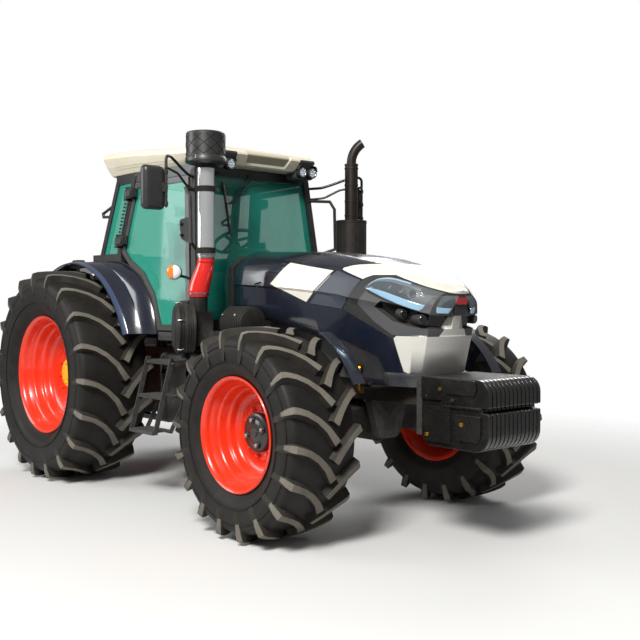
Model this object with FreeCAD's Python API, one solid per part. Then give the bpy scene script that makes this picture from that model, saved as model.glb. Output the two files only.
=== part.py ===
import FreeCAD, Part
import math
import os

# Farm tractor with four driven wheels, a closed cab and a rear three-point hitch.
# Millimetres. +X forward, +Y to the tractor's left, +Z up. The origin is the middle
# of the footprint on the ground. Everything is drawn with x = 0 at the rear axle and
# moved to that origin when it is written.

# Stance
WHEELBASE = 2900
FRONT_REACH = 1340          # front axle to the front of the ballast weights
REAR_REACH = 1200           # rear axle to the ends of the lower links
FIT = 0.3                   # running clearance of pins, spindles and seats
MOVE_GAP = 6                # clearance between pieces that move past each other

# Front wheels
FRONT_TYRE_R = 700
FRONT_TYRE_W = 540
FRONT_TRACK_HALF = 952      # centre plane of the wheel
FRONT_RIM_R = 381
FRONT_RIM_W = 456
FRONT_DISC_AT = 0           # face of the disc, from the wheel's centre plane
FRONT_HUB_R = 150
FRONT_COVER_R = 118
FRONT_COVER_OUT = 55
FRONT_SPINDLE_R = 50

# Rear wheels
REAR_TYRE_R = 918
REAR_TYRE_W = 650
REAR_TRACK_HALF = 890
REAR_RIM_R = 511
REAR_RIM_W = 496
REAR_DISC_AT = -20
REAR_HUB_R = 175
REAR_COVER_R = 130
REAR_COVER_OUT = 40
REAR_SPINDLE_R = 60

# Rim section, from the flange
RIM_T = 10
RIM_LIP = 8
RIM_FLANGE_H = 24
RIM_SEAT_W = 56
RIM_WELL_RAMP = 30
RIM_WELL_DEPTH = 80
DISC_T = 12
DISC_DISH = 60

# Tyre section and lugs
TYRE_WALL = 30
TYRE_CROWN_DROP = 4         # radius lost half way out
TYRE_SHOULDER_DROP = 20     # and at the shoulder
FRONT_LUGS = 18             # each side
FRONT_LUG_H = 42
REAR_LUGS = 19
REAR_LUG_H = 50
LUG_BEND = 0.65             # lead of the chevron half way out, in facets of the casing
LUG_LEAD = 1.7              # and at the shoulder

# Front axle and steering
KING_PIN_AT = 720           # kingpin from the middle of the tractor
KING_PIN_R = 35
AXLE_HALF_DEPTH = 80
AXLE_HALF_HEIGHT = 85
AXLE_CENTRE_HALF = 140
YOKE_FACE = 590
YOKE_EAR_T = 30
YOKE_EAR_R = 76             # round ends of the ears, about the kingpin
KNUCKLE_IN = 650
KNUCKLE_OUT = 800
KNUCKLE_HALF_HEIGHT = 94
KNUCKLE_HALF_DEPTH = 80
TRUNNION_R = 60
TRUNNION_BRACKET_AT = 185
TRUNNION_BRACKET_T = 60

# Front wings, which steer with the wheels
WING_R = 735
WING_T = 8
WING_IN = 640
WING_OUT = 745
WING_FROM = 28
WING_TO = 64
WING_ARM_T = 12
WING_ARM_IN = 14            # from the knuckle's inner face
WING_ARM_REACH = 180
WING_ARM_W = 34

# Chassis
FRAME_REAR_X = 2000
FRAME_FRONT_X = 3640
FRAME_HALF = 190
FRAME_RAIL_W = 40
FRAME_Z0 = 880
FRAME_Z1 = 1030
CARRIER_T = 50
CARRIER_HALF = 255
CARRIER_Z0 = 700
CARRIER_Z1 = 1070

# Ballast weights
WEIGHT_COUNT = 13
WEIGHT_HALF = 270
WEIGHT_Z0 = 640
WEIGHT_Z1 = 1085
WEIGHT_CORNER_R = 110
WEIGHT_GROOVE = 4           # between two weights
WEIGHT_GROOVE_DEPTH = 16
WEIGHT_GRIP_Z = 880
WEIGHT_GRIP_H = 34
WEIGHT_GRIP_DEPTH = 46

# Engine and driveline
ENGINE_FRONT_X = 3020
ENGINE_HALF = 260
ENGINE_TOP_Z = 1690
RADIATOR_T = 240
RADIATOR_HALF = 255
RADIATOR_TOP_Z = 1560
RADIATOR_GAP = 90
TRANS_HALF = 250
TRANS_Z0 = 600
TRANS_Z1 = 1150
TRANS_REAR_X = -300
TRUMPET_R = 125
TRUMPET_END = 590
REAR_HOUSING_R = 260

# Bonnet, as sections from the windscreen to the nose
HOOD_T = 14
HOOD_HINGE_X = 1925
HOOD_HINGE_Z = 1878
HOOD_HINGE_R = 12
HOOD_HINGE_AT = 290         # hinge lugs, from the middle
HOOD_LUG_T = 16
HOOD_SECTIONS = [
    # x at top, x at foot, top z, deck half, deck z, shoulder half, shoulder z, side half, side z, foot half, foot z
    (1890, 1890, 1962, 240, 1950, 400, 1872, 448, 1700, 440, 1490),
    (2600, 2600, 1935, 240, 1918, 385, 1828, 436, 1660, 415, 1362),
    (3020, 2950, 1888, 235, 1869, 362, 1780, 412, 1620, 385, 1258),
    (3190, 3120, 1855, 230, 1836, 350, 1748, 396, 1590, 340, 1012),
    (3500, 3440, 1782, 200, 1762, 305, 1676, 340, 1540, 300, 1000),
    (3660, 3560, 1715, 165, 1700, 268, 1622, 300, 1505, 270, 1085),
    (3775, 3640, 1640, 110, 1628, 205, 1570, 240, 1490, 222, 1083),
]
NOSE_GRILLE = [(-228, 1105), (228, 1105), (258, 1385), (-258, 1385)]                 # y, z
NOSE_GRILLE_FROM_X = 3540
SIDE_GRILLE = [(2967, 1281), (3022, 1306), (3368, 1196), (3446, 1064), (3436, 1040), (3140, 1047)]      # x, z
HEADLAMP = [(3250, 1668), (3340, 1700), (3440, 1720), (3590, 1686), (3700, 1604), (3800, 1562),
            (3800, 1482), (3640, 1510), (3476, 1553), (3333, 1594)]                  # x, z
HEADLAMP_IN = 60            # inner ends of the headlamps, from the middle

# Cab
CAB_SIDE_HALF = 937.3       # side plane: half width at x = 0 and z = 0 ...
CAB_SIDE_TAPER = 0.0819     # ... less this for each millimetre forward
CAB_SIDE_TUMBLE = 0.0816    # ... and this for each millimetre up
SCREEN_TOP_X = 1532         # windscreen plane at the top of the pillars
SCREEN_TOP_Z = 2632
SCREEN_RAKE = 0.1235        # forward for each millimetre down
REAR_TOP_X = 470            # rear window plane at the top
REAR_RAKE = 0.27            # rearward for each millimetre down
HINGE_TOP_X = 745           # door hinge line at CAB_RAIL_Z
HINGE_LEAN = 0.227          # rearward for each millimetre down
CAB_RAIL_Z = 2632
CAB_RAIL_T = 60
POST_W = 56
POST_D = 60
CAB_FLOOR_Z = 1250
CAB_FLOOR_T = 40
CAB_FLOOR_HALF = 535
CAB_WALL_T = 25
CAB_REAR_X = 150
CAB_BELT_Z = 1975           # top of the wheel houses and foot of the rear glass
QUARTER_TOP_IN = 26         # rear corner posts stand in from the side plane
SCREEN_FOOT_Z = 1420
GLASS_T = 6
COWL_HALF = 400
COWL_X0 = 1745
COWL_X1 = 1822
COWL_Z = 1925

# Wheel houses and rear fenders
HOUSE_X = 500               # centre of the arc that the door follows
HOUSE_Z = 1190
HOUSE_R = 715
FENDER_R = 1000             # outer lip
FENDER_X = 85               # centre of the lip's arc, ahead of the rear axle
FENDER_OUT = 880
FENDER_CREASE = 800
FENDER_LIP = 40
FENDER_T = 10
FENDER_REAR_DEG = 128
FENDER_TIP_Z = 1300

# Doors
DOOR_T = 34
DOOR_RIM_W = 46
DOOR_TOP_Z = 2572
DOOR_SILL_Z = 1330
DOOR_GAP = 12
HINGE_PIN_R = 12
HINGE_OUT = 26              # pin axis, outside the cab's side plane
HINGE_HALF_H = 44
HINGE_LEAF = 120            # reach of the leaf along the door
HINGE_LEVELS = (2480, 2080)
TURN_LAMP_X = 1665
TURN_LAMP_Y = 850
TURN_LAMP_Z = 1790
TURN_LAMP_R = 44

# Roof
ROOF_FRONT_X = 1775
ROOF_REAR_X = 215
ROOF_FOOT_Z = 2662
ROOF_CREASE_Z = 2738        # at the front
ROOF_TOP_Z = 2790           # at the front
ROOF_RISE = 0.05            # towards the rear, for each millimetre
ROOF_HALF = 735
ROOF_FRONT_HALF = 545
POD_X0 = 1640               # lamp pods let into the roof's front corners
POD_X1 = 1750
POD_IN = 318
POD_OUT = 535
POD_Z0 = 2600
POD_Z1 = 2725
WORK_LAMP_AT = (372, 481)
WORK_LAMP_Z = 2655
WORK_LAMP_R = 44

# Intake, on the right, and exhaust, on the left
STACK_X = 1950
STACK_Y = 750
BOWL_R = 148
BOWL_Z0 = 2612
BOWL_Z1 = 2830
INTAKE_R = 66
INTAKE_Z0 = 1912
HOSE_R = 68
HOSE_FOOT_X = 1925
HOSE_FOOT_Y = 800
HOSE_FOOT_Z = 1600
CLEANER_R = 172
CLEANER_L = 140
CLEANER_X = 1895
CLEANER_Y = 905
CLEANER_Z = 1362
CLEANER_TURN = 27           # the can's axis, rearward of straight outward
BRACKET_X = 2010            # rear edge of the brackets on the engine's side
MUFFLER_R = 130
MUFFLER_Z0 = 1480
MUFFLER_Z1 = 2255
SHIELD_R = 56
SHIELD_Z1 = 2740
OUTLET_R = 40
OUTLET_BEND_R = 200
OUTLET_TURN = 58
OUTLET_TIP_Z = 2950
OUTLET_AIM = 45             # from straight ahead towards the left
PORT_Z = 1395
PORT_R = 42

# Cab furniture
SEAT_X = 700
SEAT_HALF = 260
SEAT_Z = 1700
WHEEL_X = 1270
WHEEL_Z = 2080
WHEEL_R = 190
WHEEL_RIM_R = 15
WHEEL_TILT = 30
WHEEL_FACETS = 24

# Tanks and steps
TANK_X0 = 1060
TANK_X1 = 1980
TANK_IN = 300
TANK_OUT = 600
TANK_Z0 = 560
TANK_Z1 = 1140
STEP_X0 = 1170
STEP_L = 350
STEP_D = 180
STEP_T = 25
STEP_TOP_Z = 1090
STEP_RISE = 270
STEP_SPREAD = 80
STEP_OUT = 800
STEP_COUNT = 3

# Mirrors and rails
MIRROR_X = 1830
MIRROR_Y = 1095
MIRROR_FOLDED_Y = 1000
MIRROR_FOLD = 48
MIRROR_Z = 2410
MIRROR_W = 190
MIRROR_H = 330
MIRROR_D = 70
TUBE_R = 13
RAIL_X = 1735
RAIL_HALF = 750

# Hitch
LINK_R = 420                # rocker arm and lower link, pivot to lift rod
LINK_PIVOT_X = -190
LINK_PIVOT_Z = 600
LINK_SLOPE = 6              # links at rest, down towards the ends
LINK_PIVOT_HALF = 330
LINK_T = 36
LINK_H = 80
ARM_PIVOT_Z = 1230
ARM_T = 44
ROD_R = 18
ROD_EYE_R = 32
ROD_EYE_W = 28
ROD_PIN_R = 13
BALL_R = 48
BALL_W = 44
LINK_EYE_R = 18.5
TOP_LINK_EYE_R = 16
TOP_LINK_L = 900            # stowed, its eye stands above the fenders
TOP_LINK_R = 24
TOP_LINK_PIVOT_X = -370
TOP_LINK_PIVOT_Z = 1060
TOP_LINK_LEAN = 5
PTO_R = 22
PTO_NECK_R = 20             # in the housing
PTO_OUT = 130               # behind the housing
PTO_SEAT = 60
PTO_Z = 760
DRAWBAR_Z = 430
DRAWBAR_H = 44
DRAWBAR_HALF = 45
DRAWBAR_END_X = -900
DRAWBAR_PIN_R = 16.5

FRONT_AXLE_Z = FRONT_TYRE_R
REAR_AXLE_Z = REAR_TYRE_R
LINK_LENGTH = (REAR_REACH + LINK_PIVOT_X - BALL_R) / math.cos(math.radians(LINK_SLOPE))
ROD_Y = LINK_PIVOT_HALF + ARM_T / 2 + MOVE_GAP + ROD_EYE_W / 2
CAB_RAIL_FOOT = CAB_RAIL_Z - CAB_RAIL_T + MOVE_GAP
ORIGIN_X = (WHEELBASE + FRONT_REACH - REAR_REACH) / 2


def vec(x, y, z):
    return FreeCAD.Vector(x, y, z)


def box(x0, x1, y0, y1, z0, z1):
    return Part.makeBox(x1 - x0, y1 - y0, z1 - z0, vec(x0, y0, z0))


def wire(points):
    return Part.makePolygon([vec(*p) for p in points] + [vec(*points[0])])


def prism(points, direction):
    return Part.Face(wire(points)).extrude(vec(*direction))


def plate_y(points_xz, y0, y1):
    return prism([(x, y0, z) for x, z in points_xz], (0, y1 - y0, 0))


def plate_x(points_yz, x0, x1):
    return prism([(x0, y, z) for y, z in points_yz], (x1 - x0, 0, 0))


def rod(p, q, r):
    p, q = vec(*p), vec(*q)
    return Part.makeCylinder(r, (q - p).Length, p, q - p)


def pipe(points, r, bend=0):
    """A tube along straight runs with mitred corners. A bend cuts each corner off at that distance."""
    line = [vec(*p) for p in points]
    if bend:
        inner = []
        for before, at, after in zip(line, line[1:], line[2:]):
            inner += [at + (before - at).normalize() * bend, at + (after - at).normalize() * bend]
        line = [line[0]] + inner + [line[-1]]
    ring = Part.Wire(Part.makeCircle(r, line[0], line[1] - line[0]))
    return Part.makePolygon(line).makePipeShell([ring], True, False, 1)


def fuse(shapes):
    whole = shapes[0]
    if len(shapes) > 1:
        whole = whole.multiFuse(shapes[1:])
    return whole.removeSplitter()


def loft(sections):
    return Part.makeLoft([wire(s) for s in sections], True, True)


def beam(p, q, depth, width):
    """A bar between two points, cut level at both ends."""
    x, y, z = p
    foot = [(x + a * depth / 2, y + b * width / 2, z) for a, b in ((-1, -1), (1, -1), (1, 1), (-1, 1))]
    return prism(foot, [end - start for start, end in zip(p, q)])


def faceted(patches):
    """A solid from patches of three or four corners that close on each other."""
    faces = []
    for corners in patches:
        faces.append(Part.Face(wire(corners[:3])))
        if len(corners) == 4:
            faces.append(Part.Face(wire([corners[0]] + corners[2:])))
    shell = Part.Shell(faces)
    shell.sewShape()
    solid = Part.Solid(shell)
    if solid.Volume < 0:
        solid.reverse()
    return solid


def ring_patches(sections):
    """Patches of a closed ring through closed sections with the same number of points."""
    return [[a[j - 1], a[j], b[j], b[j - 1]]
            for a, b in zip(sections[-1:] + sections[:-1], sections) for j in range(len(a))]


def skin(upper, lower):
    """A thin solid between two grids of points with the same rows and columns."""
    patches = []

    def patch(*corners):
        patches.append(list(corners))

    rows, columns = len(upper) - 1, len(upper[0]) - 1
    for i in range(rows):
        for j in range(columns):
            for grid in (upper, lower):
                patch(grid[i][j], grid[i][j + 1], grid[i + 1][j + 1], grid[i + 1][j])
        for j in (0, columns):
            patch(upper[i][j], upper[i + 1][j], lower[i + 1][j], lower[i][j])
    for i in (0, rows):
        for j in range(columns):
            patch(upper[i][j], upper[i][j + 1], lower[i][j + 1], lower[i][j])
    return faceted(patches)


def turned(profile, x, z, start=0, sweep=360):
    """A profile of (y, radius) pairs turned about the cross axis through x, z."""
    face = Part.Face(wire([(x + r, y, z) for y, r in profile]))
    face.rotate(vec(x, 0, z), vec(0, -1, 0), start)
    return face.revolve(vec(x, 0, z), vec(0, -1, 0), sweep)


def mirrored(shape):
    return shape.mirror(vec(0, 0, 0), vec(0, 1, 0))


def both(shape):
    return Part.makeCompound([shape, mirrored(shape)])


def shifted(profile, y):
    return [(py + y, r) for py, r in profile]


# Wheels

def rim_profile(radius, width):
    """Outer face from the outer flange inward, then the inner face back."""
    half = width / 2
    seat = radius - RIM_FLANGE_H
    well = radius - RIM_WELL_DEPTH
    ramp = half - RIM_SEAT_W - RIM_WELL_RAMP
    outer = [(half, radius), (half - RIM_LIP, radius), (half - RIM_LIP - RIM_T / 2, seat),
             (half - RIM_SEAT_W, seat), (ramp, well)]
    inner = [(ramp + RIM_T / 2, well - RIM_T), (half - RIM_SEAT_W + RIM_T / 2, seat - RIM_T),
             (half, seat - RIM_T)]
    return (outer + [(-y, r) for y, r in reversed(outer)]
            + [(-y, r) for y, r in reversed(inner)] + inner)


def disc_profile(radius, at, hub_r):
    """Dished disc from the well of the rim to the hub."""
    edge = radius - RIM_WELL_DEPTH - RIM_T
    knee = hub_r + (edge - hub_r) * 0.45
    return [(at + DISC_DISH, edge + 1), (at + DISC_DISH, edge - 20), (at + DISC_T, knee),
            (at, knee - 30), (at, hub_r), (at - DISC_T, hub_r), (at - DISC_T, knee - 26),
            (at, knee + 6), (at + DISC_DISH - DISC_T, edge - 16), (at + DISC_DISH - DISC_T, edge + 1)]


def tyre(x, z, track, radius, width, rim_r, rim_w, lugs, lug_h):
    """Left tyre, open at the beads: a casing of flat facets with chevron lugs.

    Each side raises every second facet of the tread as a lug, and the sides take turns.
    """
    step = math.pi / lugs
    half = width / 2
    bead = (rim_r - RIM_FLANGE_H + FIT) / math.cos(step / 2)
    seat = rim_w / 2 - RIM_LIP - RIM_T / 2 - 9
    base = radius - lug_h
    # Columns of one side: y, radius, lug height, lead of the chevron
    side = [(half * 0.04, base, lug_h, 0), (half * 0.5, base - TYRE_CROWN_DROP, lug_h, LUG_BEND),
            (half * 0.94, base - TYRE_SHOULDER_DROP, lug_h, LUG_LEAD),
            (half, rim_r + (radius - rim_r) * 0.42, 0, LUG_LEAD), (seat, bead, 0, LUG_LEAD)]
    cavity = [(seat - TYRE_WALL, bead, 0, LUG_LEAD), (half * 0.72, base - 2 * TYRE_WALL, 0, LUG_LEAD)]
    columns = side[::-1] + [(-y, r, h, lead) for y, r, h, lead in side + cavity] + cavity[::-1]
    lug_columns = {0: (1, 2, 3), 1: (5, 6, 7)}      # by the parity of the facet: left, right

    def at(row, column, high):
        y, r, h, lead = columns[column % len(columns)]
        angle = (row + lead) * step - math.pi / 2
        r += h * high
        return (x + r * math.cos(angle), track + y, z + r * math.sin(angle))

    patches = []
    for row in range(2 * lugs):
        raised = lug_columns[row % 2]
        for c in range(len(columns)):
            high = c in raised
            patches.append([at(row, c, high), at(row + 1, c, high), at(row + 1, c + 1, high), at(row, c + 1, high)])
        for c in raised:
            for edge in (row, row + 1):
                wall = [at(edge, c, 0), at(edge, c + 1, 0), at(edge, c + 1, 1), at(edge, c, 1)]
                patches.append([p for k, p in enumerate(wall) if p not in wall[:k]])
        inner = 4 if row % 2 == 0 else 5
        patches.append([at(row, inner, 0), at(row + 1, inner, 0), at(row + 1, inner, 1), at(row, inner, 1)])
    return faceted(patches)


def wheel(name, x, z, track, tyre_r, tyre_w, rim_r, rim_w, lugs, lug_h,
          disc_at, hub_r, hub_in, cover_r, cover_out, bore_r):
    """Left wheel: tyre, rim with its disc, and hub."""
    rim = fuse([turned(shifted(rim_profile(rim_r, rim_w), track), x, z),
                turned(shifted(disc_profile(rim_r, disc_at, cover_r + FIT), track), x, z)])
    back = track + disc_at - DISC_T
    hub = turned([(hub_in, bore_r), (hub_in, hub_r), (back, hub_r), (back, cover_r),
                  (back + DISC_T + cover_out - 12, cover_r), (back + DISC_T + cover_out, cover_r - 16),
                  (back + DISC_T + cover_out, 0), (back, 0), (back, bore_r)], x, z)
    casing = tyre(x, z, track, tyre_r, tyre_w, rim_r, rim_w, lugs, lug_h)
    return {name + "_tyre": casing, name + "_rim": rim, name + "_hub": hub}


def wheels():
    front = wheel("front", WHEELBASE, FRONT_AXLE_Z, FRONT_TRACK_HALF, FRONT_TYRE_R, FRONT_TYRE_W,
                  FRONT_RIM_R, FRONT_RIM_W, FRONT_LUGS, FRONT_LUG_H, FRONT_DISC_AT, FRONT_HUB_R, KNUCKLE_OUT + MOVE_GAP,
                  FRONT_COVER_R, FRONT_COVER_OUT, FRONT_SPINDLE_R + FIT)
    rear = wheel("rear", 0, REAR_AXLE_Z, REAR_TRACK_HALF, REAR_TYRE_R, REAR_TYRE_W,
                 REAR_RIM_R, REAR_RIM_W, REAR_LUGS, REAR_LUG_H, REAR_DISC_AT, REAR_HUB_R, TRUMPET_END + MOVE_GAP,
                 REAR_COVER_R, REAR_COVER_OUT, REAR_SPINDLE_R + FIT)
    pieces = {}
    for left in (front, rear):
        for name, shape in left.items():
            pieces[name + "_left"] = shape
            pieces[name + "_right"] = mirrored(shape)
    return pieces


# Axles, knuckles and wings

def front_axle():
    x, z = WHEELBASE, FRONT_AXLE_Z
    ear = KNUCKLE_HALF_HEIGHT + MOVE_GAP
    top = ear + YOKE_EAR_T
    beam_half = loft([
        [(x - AXLE_CENTRE_HALF, 0, z - AXLE_CENTRE_HALF), (x + AXLE_CENTRE_HALF, 0, z - AXLE_CENTRE_HALF),
         (x + AXLE_CENTRE_HALF, 0, z + AXLE_CENTRE_HALF), (x - AXLE_CENTRE_HALF, 0, z + AXLE_CENTRE_HALF)],
        [(x - AXLE_HALF_DEPTH, 240, z - AXLE_HALF_HEIGHT), (x + AXLE_HALF_DEPTH, 240, z - AXLE_HALF_HEIGHT),
         (x + AXLE_HALF_DEPTH, 240, z + AXLE_HALF_HEIGHT), (x - AXLE_HALF_DEPTH, 240, z + AXLE_HALF_HEIGHT)],
        [(x - AXLE_HALF_DEPTH, YOKE_FACE, z - AXLE_HALF_HEIGHT), (x + AXLE_HALF_DEPTH, YOKE_FACE, z - AXLE_HALF_HEIGHT),
         (x + AXLE_HALF_DEPTH, YOKE_FACE, z + AXLE_HALF_HEIGHT), (x - AXLE_HALF_DEPTH, YOKE_FACE, z + AXLE_HALF_HEIGHT)]])
    yoke = [box(x - YOKE_EAR_R, x + YOKE_EAR_R, YOKE_FACE - 45, YOKE_FACE, z - top, z + top)]
    for low in (z + ear, z - top):
        yoke.append(box(x - YOKE_EAR_R, x + YOKE_EAR_R, YOKE_FACE - 45, KING_PIN_AT, low, low + YOKE_EAR_T))
        yoke.append(rod((x, KING_PIN_AT, low), (x, KING_PIN_AT, low + YOKE_EAR_T), YOKE_EAR_R))
    pin_bore = rod((x, KING_PIN_AT, z - top - 1), (x, KING_PIN_AT, z + top + 1), KING_PIN_R + FIT)
    left = fuse([beam_half] + yoke).cut(pin_bore)
    reach = TRUNNION_BRACKET_AT + TRUNNION_BRACKET_T
    trunnion = rod((x - reach, 0, z), (x + reach, 0, z), TRUNNION_R)
    return fuse([left, mirrored(left), trunnion])


def knuckle():
    x, z = WHEELBASE, FRONT_AXLE_Z
    pin = KNUCKLE_HALF_HEIGHT + MOVE_GAP + YOKE_EAR_T
    body = box(x - KNUCKLE_HALF_DEPTH, x + KNUCKLE_HALF_DEPTH, KNUCKLE_IN, KNUCKLE_OUT,
               z - KNUCKLE_HALF_HEIGHT, z + KNUCKLE_HALF_HEIGHT)
    spindle_end = FRONT_TRACK_HALF + FRONT_DISC_AT - DISC_T - MOVE_GAP
    spindle = rod((x, KNUCKLE_OUT - 1, z), (x, spindle_end, z), FRONT_SPINDLE_R)
    pins = rod((x, KING_PIN_AT, z - pin), (x, KING_PIN_AT, z + pin), KING_PIN_R)
    return fuse([body, spindle, pins])


def wing():
    """Front mudguard blade and the arm that carries it on the knuckle."""
    x, z = WHEELBASE, FRONT_AXLE_Z
    blade = turned([(WING_IN, WING_R), (WING_OUT, WING_R), (WING_OUT, WING_R + WING_T), (WING_IN, WING_R + WING_T)],
                   x, z, WING_FROM, WING_TO - WING_FROM)
    y0 = KNUCKLE_IN + WING_ARM_IN
    y1 = y0 + WING_ARM_T
    middle = math.radians((WING_FROM + WING_TO) / 2)
    tip_x = x + (WING_R + 1) * math.cos(middle)
    tip_z = z + (WING_R + 1) * math.sin(middle)
    foot_x = x + WING_ARM_REACH - WING_ARM_W
    arm = fuse([box(x + KNUCKLE_HALF_DEPTH, x + WING_ARM_REACH, y0, y1, z - 40, z + 40),
                plate_y([(foot_x, z + 40), (x + WING_ARM_REACH, z + 40), (tip_x + 22, tip_z - 22),
                         (tip_x - 22, tip_z + 22)], y0, y1)])
    return fuse([blade, arm.cut(turned([(y0 - 1, WING_R + WING_T / 2), (y0 - 1, WING_R + 200), (y1 + 1, WING_R + 200),
                                        (y1 + 1, WING_R + WING_T / 2)], x, z))])


def rear_axle():
    """Trumpet housings, bored for the wheel shafts, and the centre housing."""
    z = REAR_AXLE_Z
    half = turned([(TRANS_HALF, 0), (TRANS_HALF, 190), (TRANS_HALF + 60, 150), (TRUMPET_END - 40, TRUMPET_R),
                   (TRUMPET_END - 40, TRUMPET_R + 20), (TRUMPET_END, TRUMPET_R + 20), (TRUMPET_END, REAR_SPINDLE_R + FIT),
                   (TRUMPET_END - 120, REAR_SPINDLE_R + FIT), (TRUMPET_END - 120, 0)], 0, z)
    return both(half)


def rear_shaft():
    """Wheel shaft, part of the rear hub, that turns in the trumpet housing."""
    return rod((0, TRUMPET_END - 110, REAR_AXLE_Z), (0, REAR_TRACK_HALF + REAR_DISC_AT - DISC_T, REAR_AXLE_Z), REAR_SPINDLE_R)


# Chassis

def front_frame():
    rail = box(FRAME_REAR_X, FRAME_FRONT_X, FRAME_HALF - FRAME_RAIL_W, FRAME_HALF, FRAME_Z0, FRAME_Z1)
    x = WHEELBASE
    near, far = TRUNNION_BRACKET_AT, TRUNNION_BRACKET_AT + TRUNNION_BRACKET_T
    brackets = [plate_x([(-FRAME_HALF, FRAME_Z0), (FRAME_HALF, FRAME_Z0), (110, FRONT_AXLE_Z - 70), (70, FRONT_AXLE_Z - 105),
                         (-70, FRONT_AXLE_Z - 105), (-110, FRONT_AXLE_Z - 70)], x + a, x + b)
                for a, b in ((near, far), (-far, -near))]
    ties = [box(x + a, x + b, -FRAME_HALF, FRAME_HALF, FRAME_Z0, FRAME_Z0 + 40) for a, b in ((near, far), (-far, -near))]
    ties.append(box(FRAME_REAR_X, FRAME_REAR_X + 60, -FRAME_HALF, FRAME_HALF, FRAME_Z0, FRAME_Z1))
    carrier = box(FRAME_FRONT_X, FRAME_FRONT_X + CARRIER_T, -CARRIER_HALF, CARRIER_HALF, CARRIER_Z0, CARRIER_Z1)
    bore = rod((x - far - 1, 0, FRONT_AXLE_Z), (x + far + 1, 0, FRONT_AXLE_Z), TRUNNION_R + FIT)
    return fuse([rail, mirrored(rail), carrier] + brackets + ties).cut(bore)


def weights():
    """Ballast weights as one block, grooved between the plates, with the grip cut across their fronts."""
    x0, x1 = FRAME_FRONT_X + CARRIER_T, WHEELBASE + FRONT_REACH
    r = WEIGHT_CORNER_R
    outline = [(x0, WEIGHT_Z0 + r * 0.6), (x0 + r * 0.6, WEIGHT_Z0), (x1 - r, WEIGHT_Z0), (x1, WEIGHT_Z0 + r),
               (x1, WEIGHT_Z1 - r), (x1 - r * 0.3, WEIGHT_Z1 - r * 0.3), (x1 - r, WEIGHT_Z1), (x0, WEIGHT_Z1)]
    block = plate_y(outline, -WEIGHT_HALF, WEIGHT_HALF)
    core = inset_outline(outline, WEIGHT_GROOVE_DEPTH)
    pitch = 2 * WEIGHT_HALF / WEIGHT_COUNT
    grooves = []
    for k in range(1, WEIGHT_COUNT):
        y0 = k * pitch - WEIGHT_HALF - WEIGHT_GROOVE / 2
        ring = box(x0 + WEIGHT_GROOVE_DEPTH, x1 + 10, y0, y0 + WEIGHT_GROOVE, WEIGHT_Z0 - 10, WEIGHT_Z1 + 10)
        grooves.append(ring.cut(plate_y(core, y0 - 1, y0 + WEIGHT_GROOVE + 1)))
    grip = box(x1 - WEIGHT_GRIP_DEPTH, x1 + 10, -WEIGHT_HALF - 1, WEIGHT_HALF + 1, WEIGHT_GRIP_Z, WEIGHT_GRIP_Z + WEIGHT_GRIP_H)
    return block.cut(Part.makeCompound(grooves)).cut(grip)


def engine():
    return box(FRAME_REAR_X, ENGINE_FRONT_X, -ENGINE_HALF, ENGINE_HALF, FRAME_Z1, ENGINE_TOP_Z)


def radiator():
    x0 = ENGINE_FRONT_X + RADIATOR_GAP
    return box(x0, x0 + RADIATOR_T, -RADIATOR_HALF, RADIATOR_HALF, FRAME_Z1, RADIATOR_TOP_Z)


def transmission():
    """Gearbox and rear housing, with the lift cover that carries the rocker shaft."""
    outline = [(TRANS_REAR_X, TRANS_Z0 + 60), (TRANS_REAR_X + 80, TRANS_Z0 - 40), (700, TRANS_Z0 - 40), (900, TRANS_Z0 + 40),
               (FRAME_REAR_X, TRANS_Z0 + 120), (FRAME_REAR_X, TRANS_Z1 + 60), (1700, TRANS_Z1), (300, TRANS_Z1),
               (TRANS_REAR_X, TRANS_Z1)]
    return plate_y(outline, -TRANS_HALF, TRANS_HALF)


# Bonnet

def hood_section(row, inset=0, drop=0):
    x_top, x_foot, z_top, deck, z_deck, shoulder, z_shoulder, side, z_side, foot, z_foot = row
    slope = (x_foot - x_top) / (z_top - z_foot)
    half = [(0, z_top - inset), (deck - inset * 0.4, z_deck - inset), (shoulder - inset, z_shoulder - inset * 0.7),
            (side - inset, z_side), (foot - inset, z_foot - drop)]
    ring = half + [(-y, z) for y, z in reversed(half[1:])]
    return [(x_top + slope * (z_top - z), y, z) for y, z in ring]


def hood_loft(inset=0, drop=0):
    rows = HOOD_SECTIONS
    if inset:
        first, last = rows[0], rows[-1]
        rows = [(first[0] - inset, first[1] - inset) + first[2:]] + rows[1:-1]
        rows = rows + [(last[0] - inset, last[1] - inset) + last[2:]]
    return loft([hood_section(row, inset, drop) for row in rows])


def hood():
    """Bonnet with its hinge lugs, and the panels let into its shell: nose grille, side grilles, headlamps."""
    shell = hood_loft().cut(hood_loft(HOOD_T, HOOD_T * 2))

    def side_cut(outline, y0, inset):
        left = plate_y(inset_outline(outline, inset), y0 + inset, 600)
        return both(left)

    def nose_cut(inset):
        return plate_x(inset_outline(NOSE_GRILLE, inset), NOSE_GRILLE_FROM_X + inset, FRAME_FRONT_X + 400)

    cuts = {"nose_grille": nose_cut, "side_grilles": lambda inset: side_cut(SIDE_GRILLE, 100, inset),
            "headlamps": lambda inset: side_cut(HEADLAMP, HEADLAMP_IN, inset)}
    pieces = {name: shell.common(cut(FIT)) for name, cut in cuts.items()}
    for cut in cuts.values():
        shell = shell.cut(cut(0))
    x, z, y = HOOD_HINGE_X, HOOD_HINGE_Z, HOOD_HINGE_AT
    lug = plate_y([(x - 22, z - 22), (x + 22, z - 22), (x + 30, z + 34), (x - 30, z + 34)], y, y + HOOD_LUG_T)
    lug = lug.cut(rod((x, y - 1, z), (x, y + HOOD_LUG_T + 1, z), HOOD_HINGE_R + FIT))
    pieces["hood"] = fuse([shell, lug, mirrored(lug)])
    return pieces


# Cab

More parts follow.
